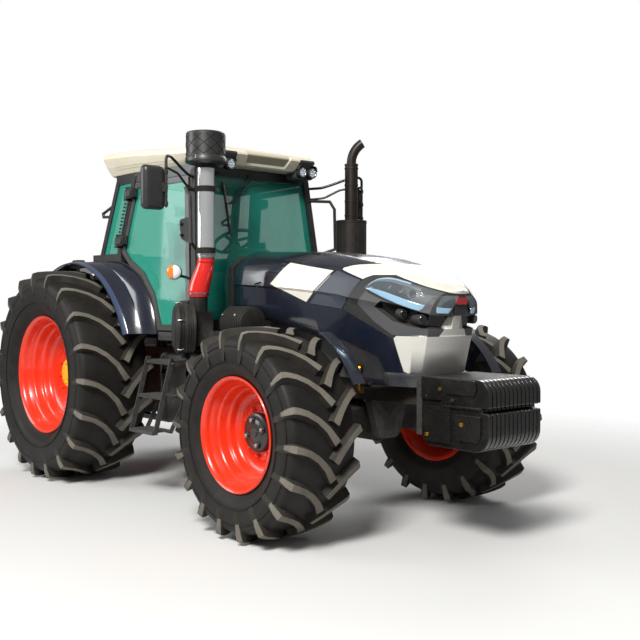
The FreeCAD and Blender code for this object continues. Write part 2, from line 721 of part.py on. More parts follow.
def side_y(x, z, inset=0):
    """Half width of the cab's side plane."""
    return CAB_SIDE_HALF - CAB_SIDE_TAPER * x - CAB_SIDE_TUMBLE * z - inset


def screen_x(z, inset=0):
    return SCREEN_TOP_X + SCREEN_RAKE * (SCREEN_TOP_Z - z) - inset


def rear_x(z):
    return REAR_TOP_X - REAR_RAKE * (CAB_RAIL_Z - z)


def hinge_x(z):
    return HINGE_TOP_X - HINGE_LEAN * (CAB_RAIL_Z - z)


def house_point(radius, degrees):
    a = math.radians(degrees)
    return (HOUSE_X + radius * math.cos(a), HOUSE_Z + radius * math.sin(a))


def side_panel(outline_xz, thickness, inset=0):
    """A panel in the cab's left side plane from its outline in x and z."""
    face = Part.Face(wire([(x, side_y(x, z, inset), z) for x, z in outline_xz]))
    return face.extrude(vec(0, -thickness, 0))


def inset_outline(points, distance):
    """The outline moved inward by a distance, with mitred corners."""
    area = sum(a[0] * b[1] - b[0] * a[1] for a, b in zip(points, points[1:] + points[:1]))
    sign = 1 if area > 0 else -1
    moved = []
    for before, at, after in zip(points[-1:] + points[:-1], points, points[1:] + points[:1]):
        a = (at[0] - before[0], at[1] - before[1])
        b = (after[0] - at[0], after[1] - at[1])
        la, lb = math.hypot(*a), math.hypot(*b)
        na = (-a[1] / la * sign, a[0] / la * sign)
        nb = (-b[1] / lb * sign, b[0] / lb * sign)
        k = distance / (1 + na[0] * nb[0] + na[1] * nb[1])
        moved.append((at[0] + (na[0] + nb[0]) * k, at[1] + (na[1] + nb[1]) * k))
    return moved


def door_outline():
    """Door edge in x and z: front edge, top, hinge side, and the arc over the wheel house."""
    front = POST_D / 2 + 18
    radius = HOUSE_R + FENDER_T + DOOR_GAP
    hinge_foot = CAB_BELT_Z + 10
    arc = [house_point(radius, a) for a in (70, 52, 34, 16)]
    sill_x = HOUSE_X + math.sqrt(radius ** 2 - (HOUSE_Z - DOOR_SILL_Z) ** 2)
    return ([(screen_x(DOOR_SILL_Z) - front, DOOR_SILL_Z), (screen_x(DOOR_TOP_Z) - front, DOOR_TOP_Z),
             (hinge_x(DOOR_TOP_Z) + POST_D / 2 + DOOR_GAP, DOOR_TOP_Z), (hinge_x(hinge_foot) + POST_D / 2 + DOOR_GAP, hinge_foot)]
            + arc + [(sill_x, DOOR_SILL_Z)])


def hinge_point(z):
    x = hinge_x(z)
    return (x, side_y(x, z) + HINGE_OUT, z)


def hinge_rod(z, half, r):
    """A rod on the left door's hinge axis, half its length each side of a level."""
    a, b = (vec(*hinge_point(level)) for level in HINGE_LEVELS)
    axis = (a - b).normalize()
    middle = vec(*hinge_point(z))
    return Part.makeCylinder(r, 2 * half, middle - axis * half, axis)


def door():
    """Door frame with its two hinge leaves."""
    outline = door_outline()
    rim = side_panel(outline, DOOR_T).cut(side_panel(inset_outline(outline, DOOR_RIM_W), DOOR_T + 4, -2))
    leaves = []
    for z in HINGE_LEVELS:
        x, y, _ = hinge_point(z)
        edge = x + POST_D / 2 + DOOR_GAP
        leaf = fuse([hinge_rod(z, HINGE_HALF_H - 12, HINGE_PIN_R + 12),
                     box(x + 8, x + HINGE_LEAF, y - 16, y + 22, z - HINGE_HALF_H + 14, z + HINGE_HALF_H - 14),
                     box(edge + 8, edge + DOOR_RIM_W - 12, y - HINGE_OUT - 14, y, z - HINGE_HALF_H + 14, z + HINGE_HALF_H - 14)])
        leaves.append(leaf.cut(hinge_rod(z, HINGE_HALF_H * 2, HINGE_PIN_R + FIT)))
    return fuse([rim] + leaves)


def door_glass():
    outline = inset_outline(door_outline(), DOOR_RIM_W + FIT)
    return side_panel(outline, GLASS_T, 8)



def cab_frame():
    """Posts, roof rails, the belt behind the doors, and the fixed halves of the door hinges."""
    inset = POST_W / 2 + 4
    foot = CAB_FLOOR_Z + CAB_FLOOR_T

    def side_point(x, z, extra=0):
        return (x, side_y(x, z, inset + extra), z)

    front = beam(side_point(screen_x(foot), foot), side_point(screen_x(CAB_RAIL_Z), CAB_RAIL_Z), POST_D, POST_W)
    hinge = beam(side_point(hinge_x(CAB_BELT_Z), CAB_BELT_Z), side_point(hinge_x(CAB_RAIL_Z), CAB_RAIL_Z), POST_D, POST_W)
    rear = beam(side_point(rear_x(CAB_BELT_Z), CAB_BELT_Z, QUARTER_TOP_IN),
                side_point(rear_x(CAB_RAIL_Z), CAB_RAIL_Z, QUARTER_TOP_IN), POST_D, POST_W)
    corners = [screen_x(CAB_RAIL_Z) + POST_D / 2, hinge_x(CAB_RAIL_Z), rear_x(CAB_RAIL_Z) - POST_D / 2]
    outer = [(x, side_y(x, CAB_RAIL_Z, 4 + extra)) for x, extra in zip(corners, (0, 0, QUARTER_TOP_IN))]
    ring = outer + [(x, -y) for x, y in reversed(outer)]
    rails = prism([(x, y, CAB_RAIL_FOOT) for x, y in ring], (0, 0, ROOF_FOOT_Z - CAB_RAIL_FOOT))
    rails = rails.cut(prism([(x, y, CAB_RAIL_FOOT - 1) for x, y in inset_outline(ring, CAB_RAIL_T)], (0, 0, CAB_RAIL_T * 3)))
    wall_top = HOUSE_Z + HOUSE_R
    belt_x = hinge_x(CAB_BELT_Z) + POST_D / 2
    belt_plan = [(belt_x, side_y(belt_x, CAB_BELT_Z, 4)), (CAB_REAR_X, side_y(CAB_REAR_X, CAB_BELT_Z, 4 + QUARTER_TOP_IN))]
    belt_plan += [(CAB_REAR_X, 0), (rear_x(CAB_BELT_Z) + POST_D / 2, 0),
                  (rear_x(CAB_BELT_Z) + POST_D / 2, CAB_FLOOR_HALF - CAB_WALL_T), (belt_x, CAB_FLOOR_HALF - CAB_WALL_T)]
    belt = prism([(x, y, wall_top + FIT) for x, y in belt_plan], (0, 0, CAB_BELT_Z - wall_top - FIT))
    left = [front, hinge, rear, belt]
    for z in HINGE_LEVELS:
        x, y, _ = hinge_point(z)
        pin_half = HINGE_HALF_H + 12
        left.append(hinge_rod(z, pin_half, HINGE_PIN_R))
        for low in (z + HINGE_HALF_H, z - pin_half):
            lug_x = hinge_x(low)
            left.append(box(lug_x - POST_D / 2 + 4, lug_x + 18, y - HINGE_OUT - 12, y + 20, low, low + 12))
    return fuse([rails] + [s for p in left for s in (p, mirrored(p))])


def windscreen():
    inset = POST_W + 4 + FIT
    levels = (SCREEN_FOOT_Z, CAB_RAIL_FOOT - FIT)
    corners = [(screen_x(z), side * side_y(screen_x(z), z, inset), z)
               for z, side in zip((levels[0], levels[0], levels[1], levels[1]), (1, -1, -1, 1))]
    return prism(corners, (GLASS_T, 0, 0))


def rear_glass():
    """Rear window and the two quarter windows behind the doors."""
    levels = (CAB_BELT_Z + FIT, CAB_RAIL_FOOT - FIT)
    inset = POST_W + 4 + QUARTER_TOP_IN + FIT
    back = prism([(rear_x(z), side * side_y(rear_x(z), z, inset), z)
                  for z, side in zip((levels[0], levels[0], levels[1], levels[1]), (1, -1, -1, 1))], (GLASS_T, 0, 0))
    gap = POST_D / 2 + FIT
    rows = []
    for z in levels:
        xr, xf = rear_x(z) + gap, hinge_x(z) - gap
        yr, yf = side_y(rear_x(z), z, 14 + QUARTER_TOP_IN), side_y(xf, z, 14)
        rows.append([(xr, yr, z), (xf, yf, z), (xf, yf - GLASS_T, z), (xr, yr - GLASS_T, z)])
    quarter = loft(rows)
    return Part.makeCompound([back, quarter, mirrored(quarter)])


def cab_floor():
    """Floor on its mounts, front wall, cowl, walls beside the wheel houses, rear wall and seat stand."""
    z0, z1 = CAB_FLOOR_Z, CAB_FLOOR_Z + CAB_FLOOR_T
    front = screen_x(z1) - POST_D / 2
    half = CAB_FLOOR_HALF
    wide_x = HOUSE_X + HOUSE_R + FENDER_T + 8
    plan = [(CAB_REAR_X, half), (wide_x, half), (wide_x, side_y(wide_x, z1, 4)), (front, side_y(front, z1, 4)),
            (front, side_y(front, z1, POST_W + 4)), (screen_x(z1) + 34, side_y(front, z1, POST_W + 4))]
    plan += [(x, -y) for x, y in reversed(plan)]
    floor = prism([(x, y, z0) for x, y in plan], (0, 0, CAB_FLOOR_T))
    wall_top = HOUSE_Z + HOUSE_R
    arch = [(CAB_REAR_X, z1 - 1)] + [house_point(HOUSE_R, a) for a in (8, 24, 40, 56, 73, 90)] + [(CAB_REAR_X, wall_top)]
    side = plate_y(arch, half - CAB_WALL_T, half)
    rear = box(CAB_REAR_X, CAB_REAR_X + CAB_WALL_T, -half, half, z1 - 1, wall_top)
    toe_top = SCREEN_FOOT_Z - FIT
    toe = [(screen_x(z1) + 30, z1 - 1), (screen_x(z1) + 4, z1 - 1), (screen_x(toe_top) + 4, toe_top), (screen_x(toe_top) + 30, toe_top)]
    toe_half = side_y(screen_x(toe_top), toe_top, POST_W + 4)
    toe_board = plate_y(toe, -toe_half, toe_half)
    cowl = fuse([box(COWL_X0, COWL_X1, -COWL_HALF, COWL_HALF, z0, COWL_Z - 90),
                 plate_x([(-COWL_HALF, COWL_Z - 90), (COWL_HALF, COWL_Z - 90), (COWL_HALF - 120, COWL_Z), (120 - COWL_HALF, COWL_Z)],
                         COWL_X0, COWL_X1),
                 box(screen_x(z1), COWL_X0 + 5, -COWL_HALF, COWL_HALF, z0, z1)])
    stand = box(SEAT_X - 190, SEAT_X + 160, -180, 180, z1 - 1, SEAT_Z - FIT)
    mounts = [Part.makeCylinder(50, z0 - TRANS_Z1 + 1, vec(x, y, TRANS_Z1)) for x in (400, 1600) for y in (-180, 180)]
    sill_z = DOOR_SILL_Z - DOOR_GAP
    sill_front = screen_x(sill_z) - POST_D / 2 - FIT
    sill = side_panel([(wide_x, z1 - 1), (sill_front, z1 - 1), (sill_front, sill_z), (wide_x, sill_z)], 40, 4)
    x, z, y = HOOD_HINGE_X, HOOD_HINGE_Z, HOOD_HINGE_AT
    ear = plate_y([(COWL_X1 - 1, z - 80), (x + 20, z - 20), (x + 20, z + 18), (x - 20, z + 20), (x - 45, z - 14),
                   (COWL_X1 - 1, z - 26)], y - 22, y - 6)
    pin = rod((x, y - 22, z), (x, y + HOOD_LUG_T, z), HOOD_HINGE_R)
    half_pieces = [side, sill, ear, pin]
    return fuse([floor, rear, toe_board, cowl, stand] + mounts + [s for p in half_pieces for s in (p, mirrored(p))])


def fender():
    """Left rear fender: strips lofted from the wheel-house arc out to the lip over the tyre."""
    inner_in = CAB_FLOOR_HALF + FIT
    top_z = HOUSE_Z + HOUSE_R
    start = math.degrees(math.asin((FENDER_TIP_Z - HOUSE_Z) / HOUSE_R))
    lip_start = math.degrees(math.asin((FENDER_TIP_Z - REAR_AXLE_Z) / FENDER_R))
    crown = 0.55
    crown_x = FENDER_X + FENDER_R * math.cos(math.radians(lip_start + (FENDER_REAR_DEG - lip_start) * crown))
    stations = []
    for k in range(8):
        t = k / 7
        lip = math.radians(lip_start + (FENDER_REAR_DEG - lip_start) * t)
        lip_x, lip_z = FENDER_X + FENDER_R * math.cos(lip), REAR_AXLE_Z + FENDER_R * math.sin(lip)
        if t <= crown:
            in_x, in_z = house_point(HOUSE_R, start + (90 - start) * t / crown)
        else:
            in_x, in_z = lip_x + (HOUSE_X - crown_x) * (1 - t) / (1 - crown), min(lip_z, top_z)
        mid_x, mid_z = in_x * 0.4 + lip_x * 0.6, in_z * 0.4 + lip_z * 0.6
        line = [(in_x, inner_in, in_z), (in_x, min(side_y(in_x, in_z, 2), FENDER_CREASE - 30), in_z), (mid_x, FENDER_CREASE, mid_z),
                (lip_x, FENDER_OUT, lip_z), (lip_x - 6, FENDER_OUT + FENDER_LIP, lip_z - 12)]
        stations.append(line)
    scale = 1 - FENDER_T / 1000
    under = [[(x * scale, y, REAR_AXLE_Z + (z - REAR_AXLE_Z) * scale) for x, y, z in line] for line in stations]
    return skin(stations, under)


def cab_roof():
    """Roof moulding from the rails up to its crown, chamfered all round and higher at the rear."""
    def level(z, inset, rise=0.0):
        side = ROOF_HALF - inset
        front_half = ROOF_FRONT_HALF - inset
        right = [(ROOF_FRONT_X - inset, 0), (ROOF_FRONT_X - inset, front_half - 60), (ROOF_FRONT_X - 70 - inset, front_half),
                 (HINGE_TOP_X + 60, side), (ROOF_REAR_X + 130 + inset * 0.6, side), (ROOF_REAR_X + inset, side - 110),
                 (ROOF_REAR_X - 40 + inset, 0)]
        ring = right + [(x, -y) for x, y in reversed(right[1:-1])]
        return [(x, y, z + (ROOF_FRONT_X - x) * rise) for x, y in ring]
    moulding = loft([level(ROOF_FOOT_Z, 70), level(ROOF_CREASE_Z, 0, ROOF_RISE), level(ROOF_TOP_Z, 40, ROOF_RISE)])
    return moulding.cut(both(box(POD_X0, ROOF_FRONT_X, POD_IN, ROOF_HALF, ROOF_FOOT_Z - 10, POD_Z1)))


def seat():
    """Cushion, back rest and head rest."""
    x = SEAT_X
    cushion = box(x - 200, x + 270, -SEAT_HALF, SEAT_HALF, SEAT_Z, SEAT_Z + 120)
    back = plate_y([(x - 200, SEAT_Z + 60), (x - 90, SEAT_Z + 60), (x - 160, SEAT_Z + 620), (x - 240, SEAT_Z + 620)], -230, 230)
    head = plate_y([(x - 238, SEAT_Z + 610), (x - 158, SEAT_Z + 610), (x - 170, SEAT_Z + 760), (x - 236, SEAT_Z + 760)], -130, 130)
    return fuse([cushion, back, head])


def steering_axis():
    """Unit vector up the steering column."""
    a = math.radians(WHEEL_TILT)
    return vec(-math.sin(a), 0, math.cos(a))


def steering_wheel():
    centre, axis = vec(WHEEL_X, 0, WHEEL_Z), steering_axis()
    grip = []
    for k in range(WHEEL_FACETS):
        a = 2 * math.pi * k / WHEEL_FACETS
        section = []
        for j in range(8):
            b = math.pi * j / 4
            r = WHEEL_R - WHEEL_RIM_R + WHEEL_RIM_R * math.cos(b)
            section.append((r * math.cos(a), r * math.sin(a), WHEEL_RIM_R * math.sin(b)))
        grip.append(section)
    rim = faceted(ring_patches(grip))
    rim.rotate(vec(0, 0, 0), vec(0, -1, 0), WHEEL_TILT)
    rim.translate(centre)
    boss = Part.makeCylinder(42, 46, centre - axis * 36, axis)
    spokes = []
    for k in range(3):
        spoke = Part.makeBox(WHEEL_R - WHEEL_RIM_R, 30, 12, vec(0, -15, -6))
        spoke.rotate(vec(0, 0, 0), vec(0, 0, 1), 120 * k + 60)
        spoke.rotate(vec(0, 0, 0), vec(0, -1, 0), WHEEL_TILT)
        spoke.translate(centre)
        spokes.append(spoke)
    shaft = Part.makeCylinder(14, 90, centre - axis * 120, axis)
    return fuse([rim, boss, shaft] + spokes)


def console():
    """Steering column, instrument pod and the control arm rest beside the seat."""
    floor = CAB_FLOOR_Z + CAB_FLOOR_T
    axis = steering_axis()
    top = vec(WHEEL_X, 0, WHEEL_Z) - axis * (36 + MOVE_GAP)
    column = Part.makeCylinder(45, 300, top - axis * 300, axis)
    column = column.cut(Part.makeCylinder(14 + FIT, 110, top - axis * 100, axis))
    foot = plate_y([(1430, floor), (1560, floor), (1560, 1960), (1500, 2010), (1400, 1860), (1350, 1700)], -150, 150)
    arm = fuse([box(SEAT_X - 150, SEAT_X + 260, -SEAT_HALF - 190, -SEAT_HALF - 30, floor, SEAT_Z + 120),
                box(SEAT_X - 60, SEAT_X + 300, -SEAT_HALF - 170, -SEAT_HALF - 50, SEAT_Z + 100, SEAT_Z + 230)])
    return Part.makeCompound([fuse([column, foot]), arm])


# Intake and exhaust

def intake_stack():
    """Pre-cleaner bowl on its tube, right of the bonnet."""
    x, y = STACK_X, -STACK_Y
    tube = Part.makeCylinder(INTAKE_R, BOWL_Z0 - 30 - INTAKE_Z0, vec(x, y, INTAKE_Z0))
    neck = Part.makeCone(INTAKE_R + 6, BOWL_R * 0.8, 40, vec(x, y, BOWL_Z0 - 38))
    bowl = fuse([Part.makeCylinder(BOWL_R - 8, 20, vec(x, y, BOWL_Z0)),
                 Part.makeCylinder(BOWL_R, 40, vec(x, y, BOWL_Z0 + 18)),
                 Part.makeCone(BOWL_R - 4, BOWL_R - 14, BOWL_Z1 - BOWL_Z0 - 78, vec(x, y, BOWL_Z0 + 58)),
                 Part.makeCylinder(BOWL_R - 12, 20, vec(x, y, BOWL_Z1 - 20))])
    bands = [Part.makeCylinder(INTAKE_R + 5, 26, vec(x, y, z)) for z in (INTAKE_Z0 + 30, 2330, 2530)]
    return fuse([tube, neck, bowl] + bands)


def intake_hose():
    x, y = STACK_X, -STACK_Y
    top = INTAKE_Z0 - FIT
    return pipe([(x, y, top), (x, y, top - 110), (HOSE_FOOT_X, -HOSE_FOOT_Y, 1690), (HOSE_FOOT_X, -HOSE_FOOT_Y, HOSE_FOOT_Z)], HOSE_R, 40)


def air_cleaner():
    """Ribbed can, its spout, dust valve and the bracket on the engine's side."""
    a = math.radians(CLEANER_TURN)
    axis = (-math.sin(a), -math.cos(a))
    z = CLEANER_Z

    def along(d):
        return (CLEANER_X + axis[0] * d, -CLEANER_Y + axis[1] * d, z)

    half = CLEANER_L / 2
    can = fuse([rod(along(-half), along(half), CLEANER_R), rod(along(half - 1), along(half + 14), CLEANER_R - 30)]
               + [rod(along(d), along(d + 12), CLEANER_R + 6) for d in (-half + 10, -6, half - 22)])
    neck = rod((HOSE_FOOT_X, -HOSE_FOOT_Y, z), (HOSE_FOOT_X, -HOSE_FOOT_Y, HOSE_FOOT_Z - FIT), HOSE_R)
    box_back = box(HOSE_FOOT_X - 75, HOSE_FOOT_X + 75, -HOSE_FOOT_Y - 60, -HOSE_FOOT_Y + 80, z - 130, z + 130)
    valve = rod((CLEANER_X, -CLEANER_Y, z - CLEANER_R - 50), (CLEANER_X, -CLEANER_Y, z - CLEANER_R + 20), 28)
    arm = fuse([box(HOSE_FOOT_X, BRACKET_X + 60, -HOSE_FOOT_Y + 40, -HOSE_FOOT_Y + 80, z - 70, z - 20),
                box(BRACKET_X, BRACKET_X + 60, -HOSE_FOOT_Y + 40, -ENGINE_HALF, z - 70, z - 20)])
    return fuse([can, neck, box_back, valve, arm])


def exhaust():
    """Muffler, shielded stack, curved outlet and the pipe from the engine."""
    x, y = STACK_X, STACK_Y
    muffler = Part.makeCylinder(MUFFLER_R, MUFFLER_Z1 - MUFFLER_Z0, vec(x, y, MUFFLER_Z0))
    shield = Part.makeCylinder(SHIELD_R, SHIELD_Z1 - MUFFLER_Z1 + 1, vec(x, y, MUFFLER_Z1 - 1))
    turn = math.radians(OUTLET_TURN)
    bend_z = OUTLET_TIP_Z - (OUTLET_BEND_R + OUTLET_R) * math.sin(turn)
    stem = Part.makeCylinder(OUTLET_R, bend_z - SHIELD_Z1 + 20, vec(x, y, SHIELD_Z1 - 20))
    ring = Part.makeCircle(OUTLET_R, vec(x, y, bend_z), vec(0, 0, 1))
    bend = Part.Face(Part.Wire(ring)).revolve(vec(x + OUTLET_BEND_R, y, bend_z), vec(0, 1, 0), OUTLET_TURN)
    bend.rotate(vec(x, y, 0), vec(0, 0, 1), OUTLET_AIM)
    port_x = BRACKET_X + PORT_R
    feed = pipe([(x, y, MUFFLER_Z0 + 10), (x, y, PORT_Z), (port_x, y - 130, PORT_Z), (port_x, ENGINE_HALF, PORT_Z)], PORT_R)
    return fuse([muffler, shield, stem, bend, feed])


# Tanks and steps

def tank(sign):
    y0, y1 = sorted((sign * TANK_IN, sign * TANK_OUT))
    body = box(TANK_X0, TANK_X1, y0, y1, TANK_Z0, TANK_Z1)
    body = body.makeFillet(45, [e for e in body.Edges if abs(e.tangentAt(e.FirstParameter).x) > 0.9])
    strap = [box(x, x + 60, *sorted((sign * TRANS_HALF, sign * (TANK_IN + 40))), TANK_Z0 + 150, TANK_Z1 - 120)
             for x in (TANK_X0 + 120, TANK_X1 - 180)]
    return fuse([body] + strap)


def steps():
    pieces = []
    for k in range(STEP_COUNT):
        z = STEP_TOP_Z - STEP_RISE * k
        out = STEP_OUT + STEP_SPREAD * k
        pieces.append(box(STEP_X0, STEP_X0 + STEP_L, out - STEP_D, out, z - STEP_T, z))
    low = STEP_COUNT - 1
    z_low = STEP_TOP_Z - STEP_RISE * low - STEP_T
    out_low = STEP_OUT + STEP_SPREAD * low
    side = [(STEP_OUT - STEP_D, STEP_TOP_Z + 30), (STEP_OUT, STEP_TOP_Z + 30), (out_low, z_low), (out_low - STEP_D, z_low),
            (STEP_OUT - STEP_D, STEP_TOP_Z - STEP_RISE)]
    for x in (STEP_X0 - 10, STEP_X0 + STEP_L):
        pieces.append(plate_x(side, x, x + 10))
        pieces.append(box(x, x + 10, TANK_OUT, STEP_OUT - STEP_D + 1, STEP_TOP_Z - 120, STEP_TOP_Z + 10))
    return both(fuse(pieces))


# Mirrors, rails and lamps

def mirrors():
    """Mirror heads on two-tube arms from the front posts; the left one is folded."""
    z = CAB_RAIL_FOOT
    pieces = []
    for side, out, fold in ((-1, MIRROR_Y, 0), (1, MIRROR_FOLDED_Y, MIRROR_FOLD)):
        base_x = screen_x(z) + POST_D / 2
        base_y = side_y(base_x, z, POST_W / 2)
        arms = [pipe([(base_x - 6, base_y, level), (base_x + 60, base_y + 30, level), (MIRROR_X, out, level)] + drop, r)
                for level, drop, r in ((z, [(MIRROR_X, out, MIRROR_Z - 40)], TUBE_R), (z - 90, [], TUBE_R - 3))]
        half_w, half_h = MIRROR_W / 2, MIRROR_H / 2
        edge = [(-half_w, 30 - half_h), (30 - half_w, -half_h), (half_w - 30, -half_h), (half_w, 30 - half_h)]
        head = plate_x([(y, MIRROR_Z + dz) for y, dz in edge + [(-y, -dz) for y, dz in edge]], -20 - MIRROR_D, -20)
        head = fuse([head, box(-22, 3, -20, 20, MIRROR_Z - 42, MIRROR_Z + 43)])
        head.rotate(vec(0, 0, 0), vec(0, 0, 1), fold)
        head.translate(vec(MIRROR_X, out, 0))
        whole = fuse(arms + [head])
        pieces.append(whole if side > 0 else mirrored(whole))
    return Part.makeCompound(pieces)


def handrails():
    """Grab rails ahead of the front posts and loops behind the rear posts."""
    tops = (2440, 1960)
    base = [(screen_x(z) + POST_D / 2 - 6, side_y(screen_x(z), z, POST_W / 2), z) for z in tops]
    front = pipe([base[0], (RAIL_X - 60, RAIL_HALF, tops[0]), (RAIL_X, RAIL_HALF, tops[0] - 70),
                  (RAIL_X + 10, RAIL_HALF, tops[1] + 60), base[1]], TUBE_R)
    ends = [(rear_x(z) - POST_D / 2 + 6, side_y(rear_x(z), z, POST_W / 2 + QUARTER_TOP_IN), z) for z in (2410, 2310)]
    rear = pipe([ends[0], (ends[0][0] - 200, ends[0][1], 2350), (ends[0][0] - 190, ends[0][1], 2320), ends[1]], TUBE_R)
    return Part.makeCompound([front, mirrored(front), rear, mirrored(rear)])


def work_lamps():
    """Lamp pods in the roof's front corners, two round lamps in each."""
    pod = plate_y([(POD_X0, ROOF_FOOT_Z - 20), (POD_X0 + 30, POD_Z0), (POD_X1, POD_Z0), (POD_X1, POD_Z1 - 30),
                   (POD_X1 - 30, POD_Z1), (POD_X0, POD_Z1)], POD_IN, POD_OUT)
    lamps = [rod((POD_X1 - 20, y, WORK_LAMP_Z), (POD_X1 + 12, y, WORK_LAMP_Z), WORK_LAMP_R) for y in WORK_LAMP_AT]
    return both(fuse([pod] + lamps))


def signal_lamps():
    """Turn lamps on stalks beside the front posts."""
    x, y, z = TURN_LAMP_X, TURN_LAMP_Y, TURN_LAMP_Z
    lamp = rod((x - 26, y, z), (x + 26, y, z), TURN_LAMP_R)
    stalk = box(screen_x(z) - 4, screen_x(z) + 24, side_y(x, z, POST_W / 2), y - TURN_LAMP_R + 8, z - 12, z + 12)
    return both(fuse([lamp, stalk]))


# Rear hitch

def link_point(distance, pivot_z):
    a = math.radians(LINK_SLOPE)
    return (LINK_PIVOT_X - distance * math.cos(a), pivot_z - distance * math.sin(a))


def lower_links():
    """Two lower links with ball ends and the pins for the lift rods."""
    y = LINK_PIVOT_HALF
    x1, z1 = link_point(LINK_LENGTH, LINK_PIVOT_Z)
    a = math.radians(LINK_SLOPE)
    nx, nz = math.sin(a) * LINK_H / 2, math.cos(a) * LINK_H / 2
    bar = plate_y([(LINK_PIVOT_X - nx, LINK_PIVOT_Z + nz), (x1 - nx, z1 + nz), (x1 + nx, z1 - nz), (LINK_PIVOT_X + nx, LINK_PIVOT_Z - nz)],
                  y - LINK_T / 2, y + LINK_T / 2)
    ends = [rod((x, y - BALL_W / 2, z), (x, y + BALL_W / 2, z), BALL_R) for x, z in ((LINK_PIVOT_X, LINK_PIVOT_Z), (x1, z1))]
    link = fuse([bar] + ends)
    link = link.cut(rod((x1, y - BALL_W, z1), (x1, y + BALL_W, z1), LINK_EYE_R))
    link = link.cut(rod((LINK_PIVOT_X, y - BALL_W, LINK_PIVOT_Z), (LINK_PIVOT_X, y + BALL_W, LINK_PIVOT_Z), 20 + FIT))
    x2, z2 = link_point(LINK_R, LINK_PIVOT_Z)
    pin = rod((x2, y + LINK_T / 2 - 1, z2), (x2, ROD_Y + ROD_EYE_W / 2, z2), ROD_PIN_R)
    return both(fuse([link, pin]))


def hitch_frame():
    """Brackets on the rear housing that carry the links, the rocker shaft, the top link and the drawbar."""
    y = LINK_PIVOT_HALF
    lug_gap = BALL_W / 2 + 2
    pin = rod((LINK_PIVOT_X, TRANS_HALF, LINK_PIVOT_Z), (LINK_PIVOT_X, y + lug_gap + 24, LINK_PIVOT_Z), 20)
    block = box(LINK_PIVOT_X - 60, LINK_PIVOT_X + 60, TRANS_HALF, y - lug_gap, LINK_PIVOT_Z - 60, LINK_PIVOT_Z + 60)
    cap = rod((LINK_PIVOT_X, y + lug_gap, LINK_PIVOT_Z), (LINK_PIVOT_X, y + lug_gap + 24, LINK_PIVOT_Z), 34)
    shaft = rod((LINK_PIVOT_X, -y - 30, ARM_PIVOT_Z), (LINK_PIVOT_X, y + 30, ARM_PIVOT_Z), 34)
    tower = plate_y([(LINK_PIVOT_X - 90, TRANS_Z1), (LINK_PIVOT_X + 160, TRANS_Z1), (LINK_PIVOT_X + 60, ARM_PIVOT_Z + 55),
                     (LINK_PIVOT_X - 60, ARM_PIVOT_Z + 55)], -220, 220)
    lean = TOP_LINK_PIVOT_X + (ARM_PIVOT_Z + 30 - TOP_LINK_PIVOT_Z) * math.tan(math.radians(TOP_LINK_LEAN))
    rest = box(lean + TOP_LINK_R + 4, LINK_PIVOT_X - 50, -22, 22, ARM_PIVOT_Z + 15, ARM_PIVOT_Z + 45)
    plate = box(TOP_LINK_PIVOT_X - 40, TRANS_REAR_X, -80, -34, TOP_LINK_PIVOT_Z - 60, TOP_LINK_PIVOT_Z + 60)
    top_pin = rod((TOP_LINK_PIVOT_X, -60, TOP_LINK_PIVOT_Z), (TOP_LINK_PIVOT_X, 60, TOP_LINK_PIVOT_Z), 14)
    half = fuse([pin, block, cap])
    return [half, mirrored(half), fuse([shaft, tower, rest]), fuse([plate, mirrored(plate), top_pin])]


def lift_arms():
    """Rocker arms on the ends of the rocker shaft."""
    y = LINK_PIVOT_HALF
    x1, z1 = link_point(LINK_R, ARM_PIVOT_Z)
    a = math.radians(LINK_SLOPE)
    nx, nz = math.sin(a) * 34, math.cos(a) * 34
    y0, y1 = y - ARM_T / 2, y + ARM_T / 2
    arm = fuse([plate_y([(LINK_PIVOT_X - nx, ARM_PIVOT_Z + nz), (x1 - nx, z1 + nz), (x1 + nx, z1 - nz), (LINK_PIVOT_X + nx, ARM_PIVOT_Z - nz)], y0, y1),
                rod((LINK_PIVOT_X, y0, ARM_PIVOT_Z), (LINK_PIVOT_X, y1, ARM_PIVOT_Z), 62),
                rod((x1, y0, z1), (x1, y1, z1), 34)])
    arm = arm.cut(rod((LINK_PIVOT_X, y0 - 1, ARM_PIVOT_Z), (LINK_PIVOT_X, y1 + 1, ARM_PIVOT_Z), 34 + FIT))
    return both(fuse([arm, rod((x1, y1 - 1, z1), (x1, ROD_Y + ROD_EYE_W / 2, z1), ROD_PIN_R)]))


def lift_rods():
    """Lift rods from the rocker arms down to the lower links."""
    y, half = ROD_Y, ROD_EYE_W / 2
    xt, zt = link_point(LINK_R, ARM_PIVOT_Z)
    xb, zb = link_point(LINK_R, LINK_PIVOT_Z)
    bar = rod((xt, y, zt), (xb, y, zb), half - 1)
    barrel = rod((xt, y, zt - 160), (xb, y, zt - 400), ROD_R + 6)
    eyes = [rod((x, y - half, z), (x, y + half, z), ROD_EYE_R) for x, z in ((xt, zt), (xb, zb))]
    link = fuse([bar, barrel] + eyes)
    for x, z in ((xt, zt), (xb, zb)):
        link = link.cut(rod((x, y - 40, z), (x, y + 40, z), ROD_PIN_R + FIT))
    return both(link)


def top_link():
    """Turnbuckle stowed upright on its pivot, leaning on the rest behind the cab."""
    a = math.radians(TOP_LINK_LEAN)
    x0, z0 = TOP_LINK_PIVOT_X, TOP_LINK_PIVOT_Z
    x1, z1 = x0 + TOP_LINK_L * math.sin(a), z0 + TOP_LINK_L * math.cos(a)

    def along(k):
        return (x0 + (x1 - x0) * k, 0, z0 + (z1 - z0) * k)
    bar = fuse([rod(along(0.03), along(0.97), TOP_LINK_R * 0.7), rod(along(0.25), along(0.75), TOP_LINK_R),
                rod((x0, -26, z0), (x0, 26, z0), 34), rod((x1, -26, z1), (x1, 26, z1), 40)])
    bar = bar.cut(rod((x0, -27, z0), (x0, 27, z0), 14 + FIT))
    return bar.cut(rod((x1, -27, z1), (x1, 27, z1), TOP_LINK_EYE_R))


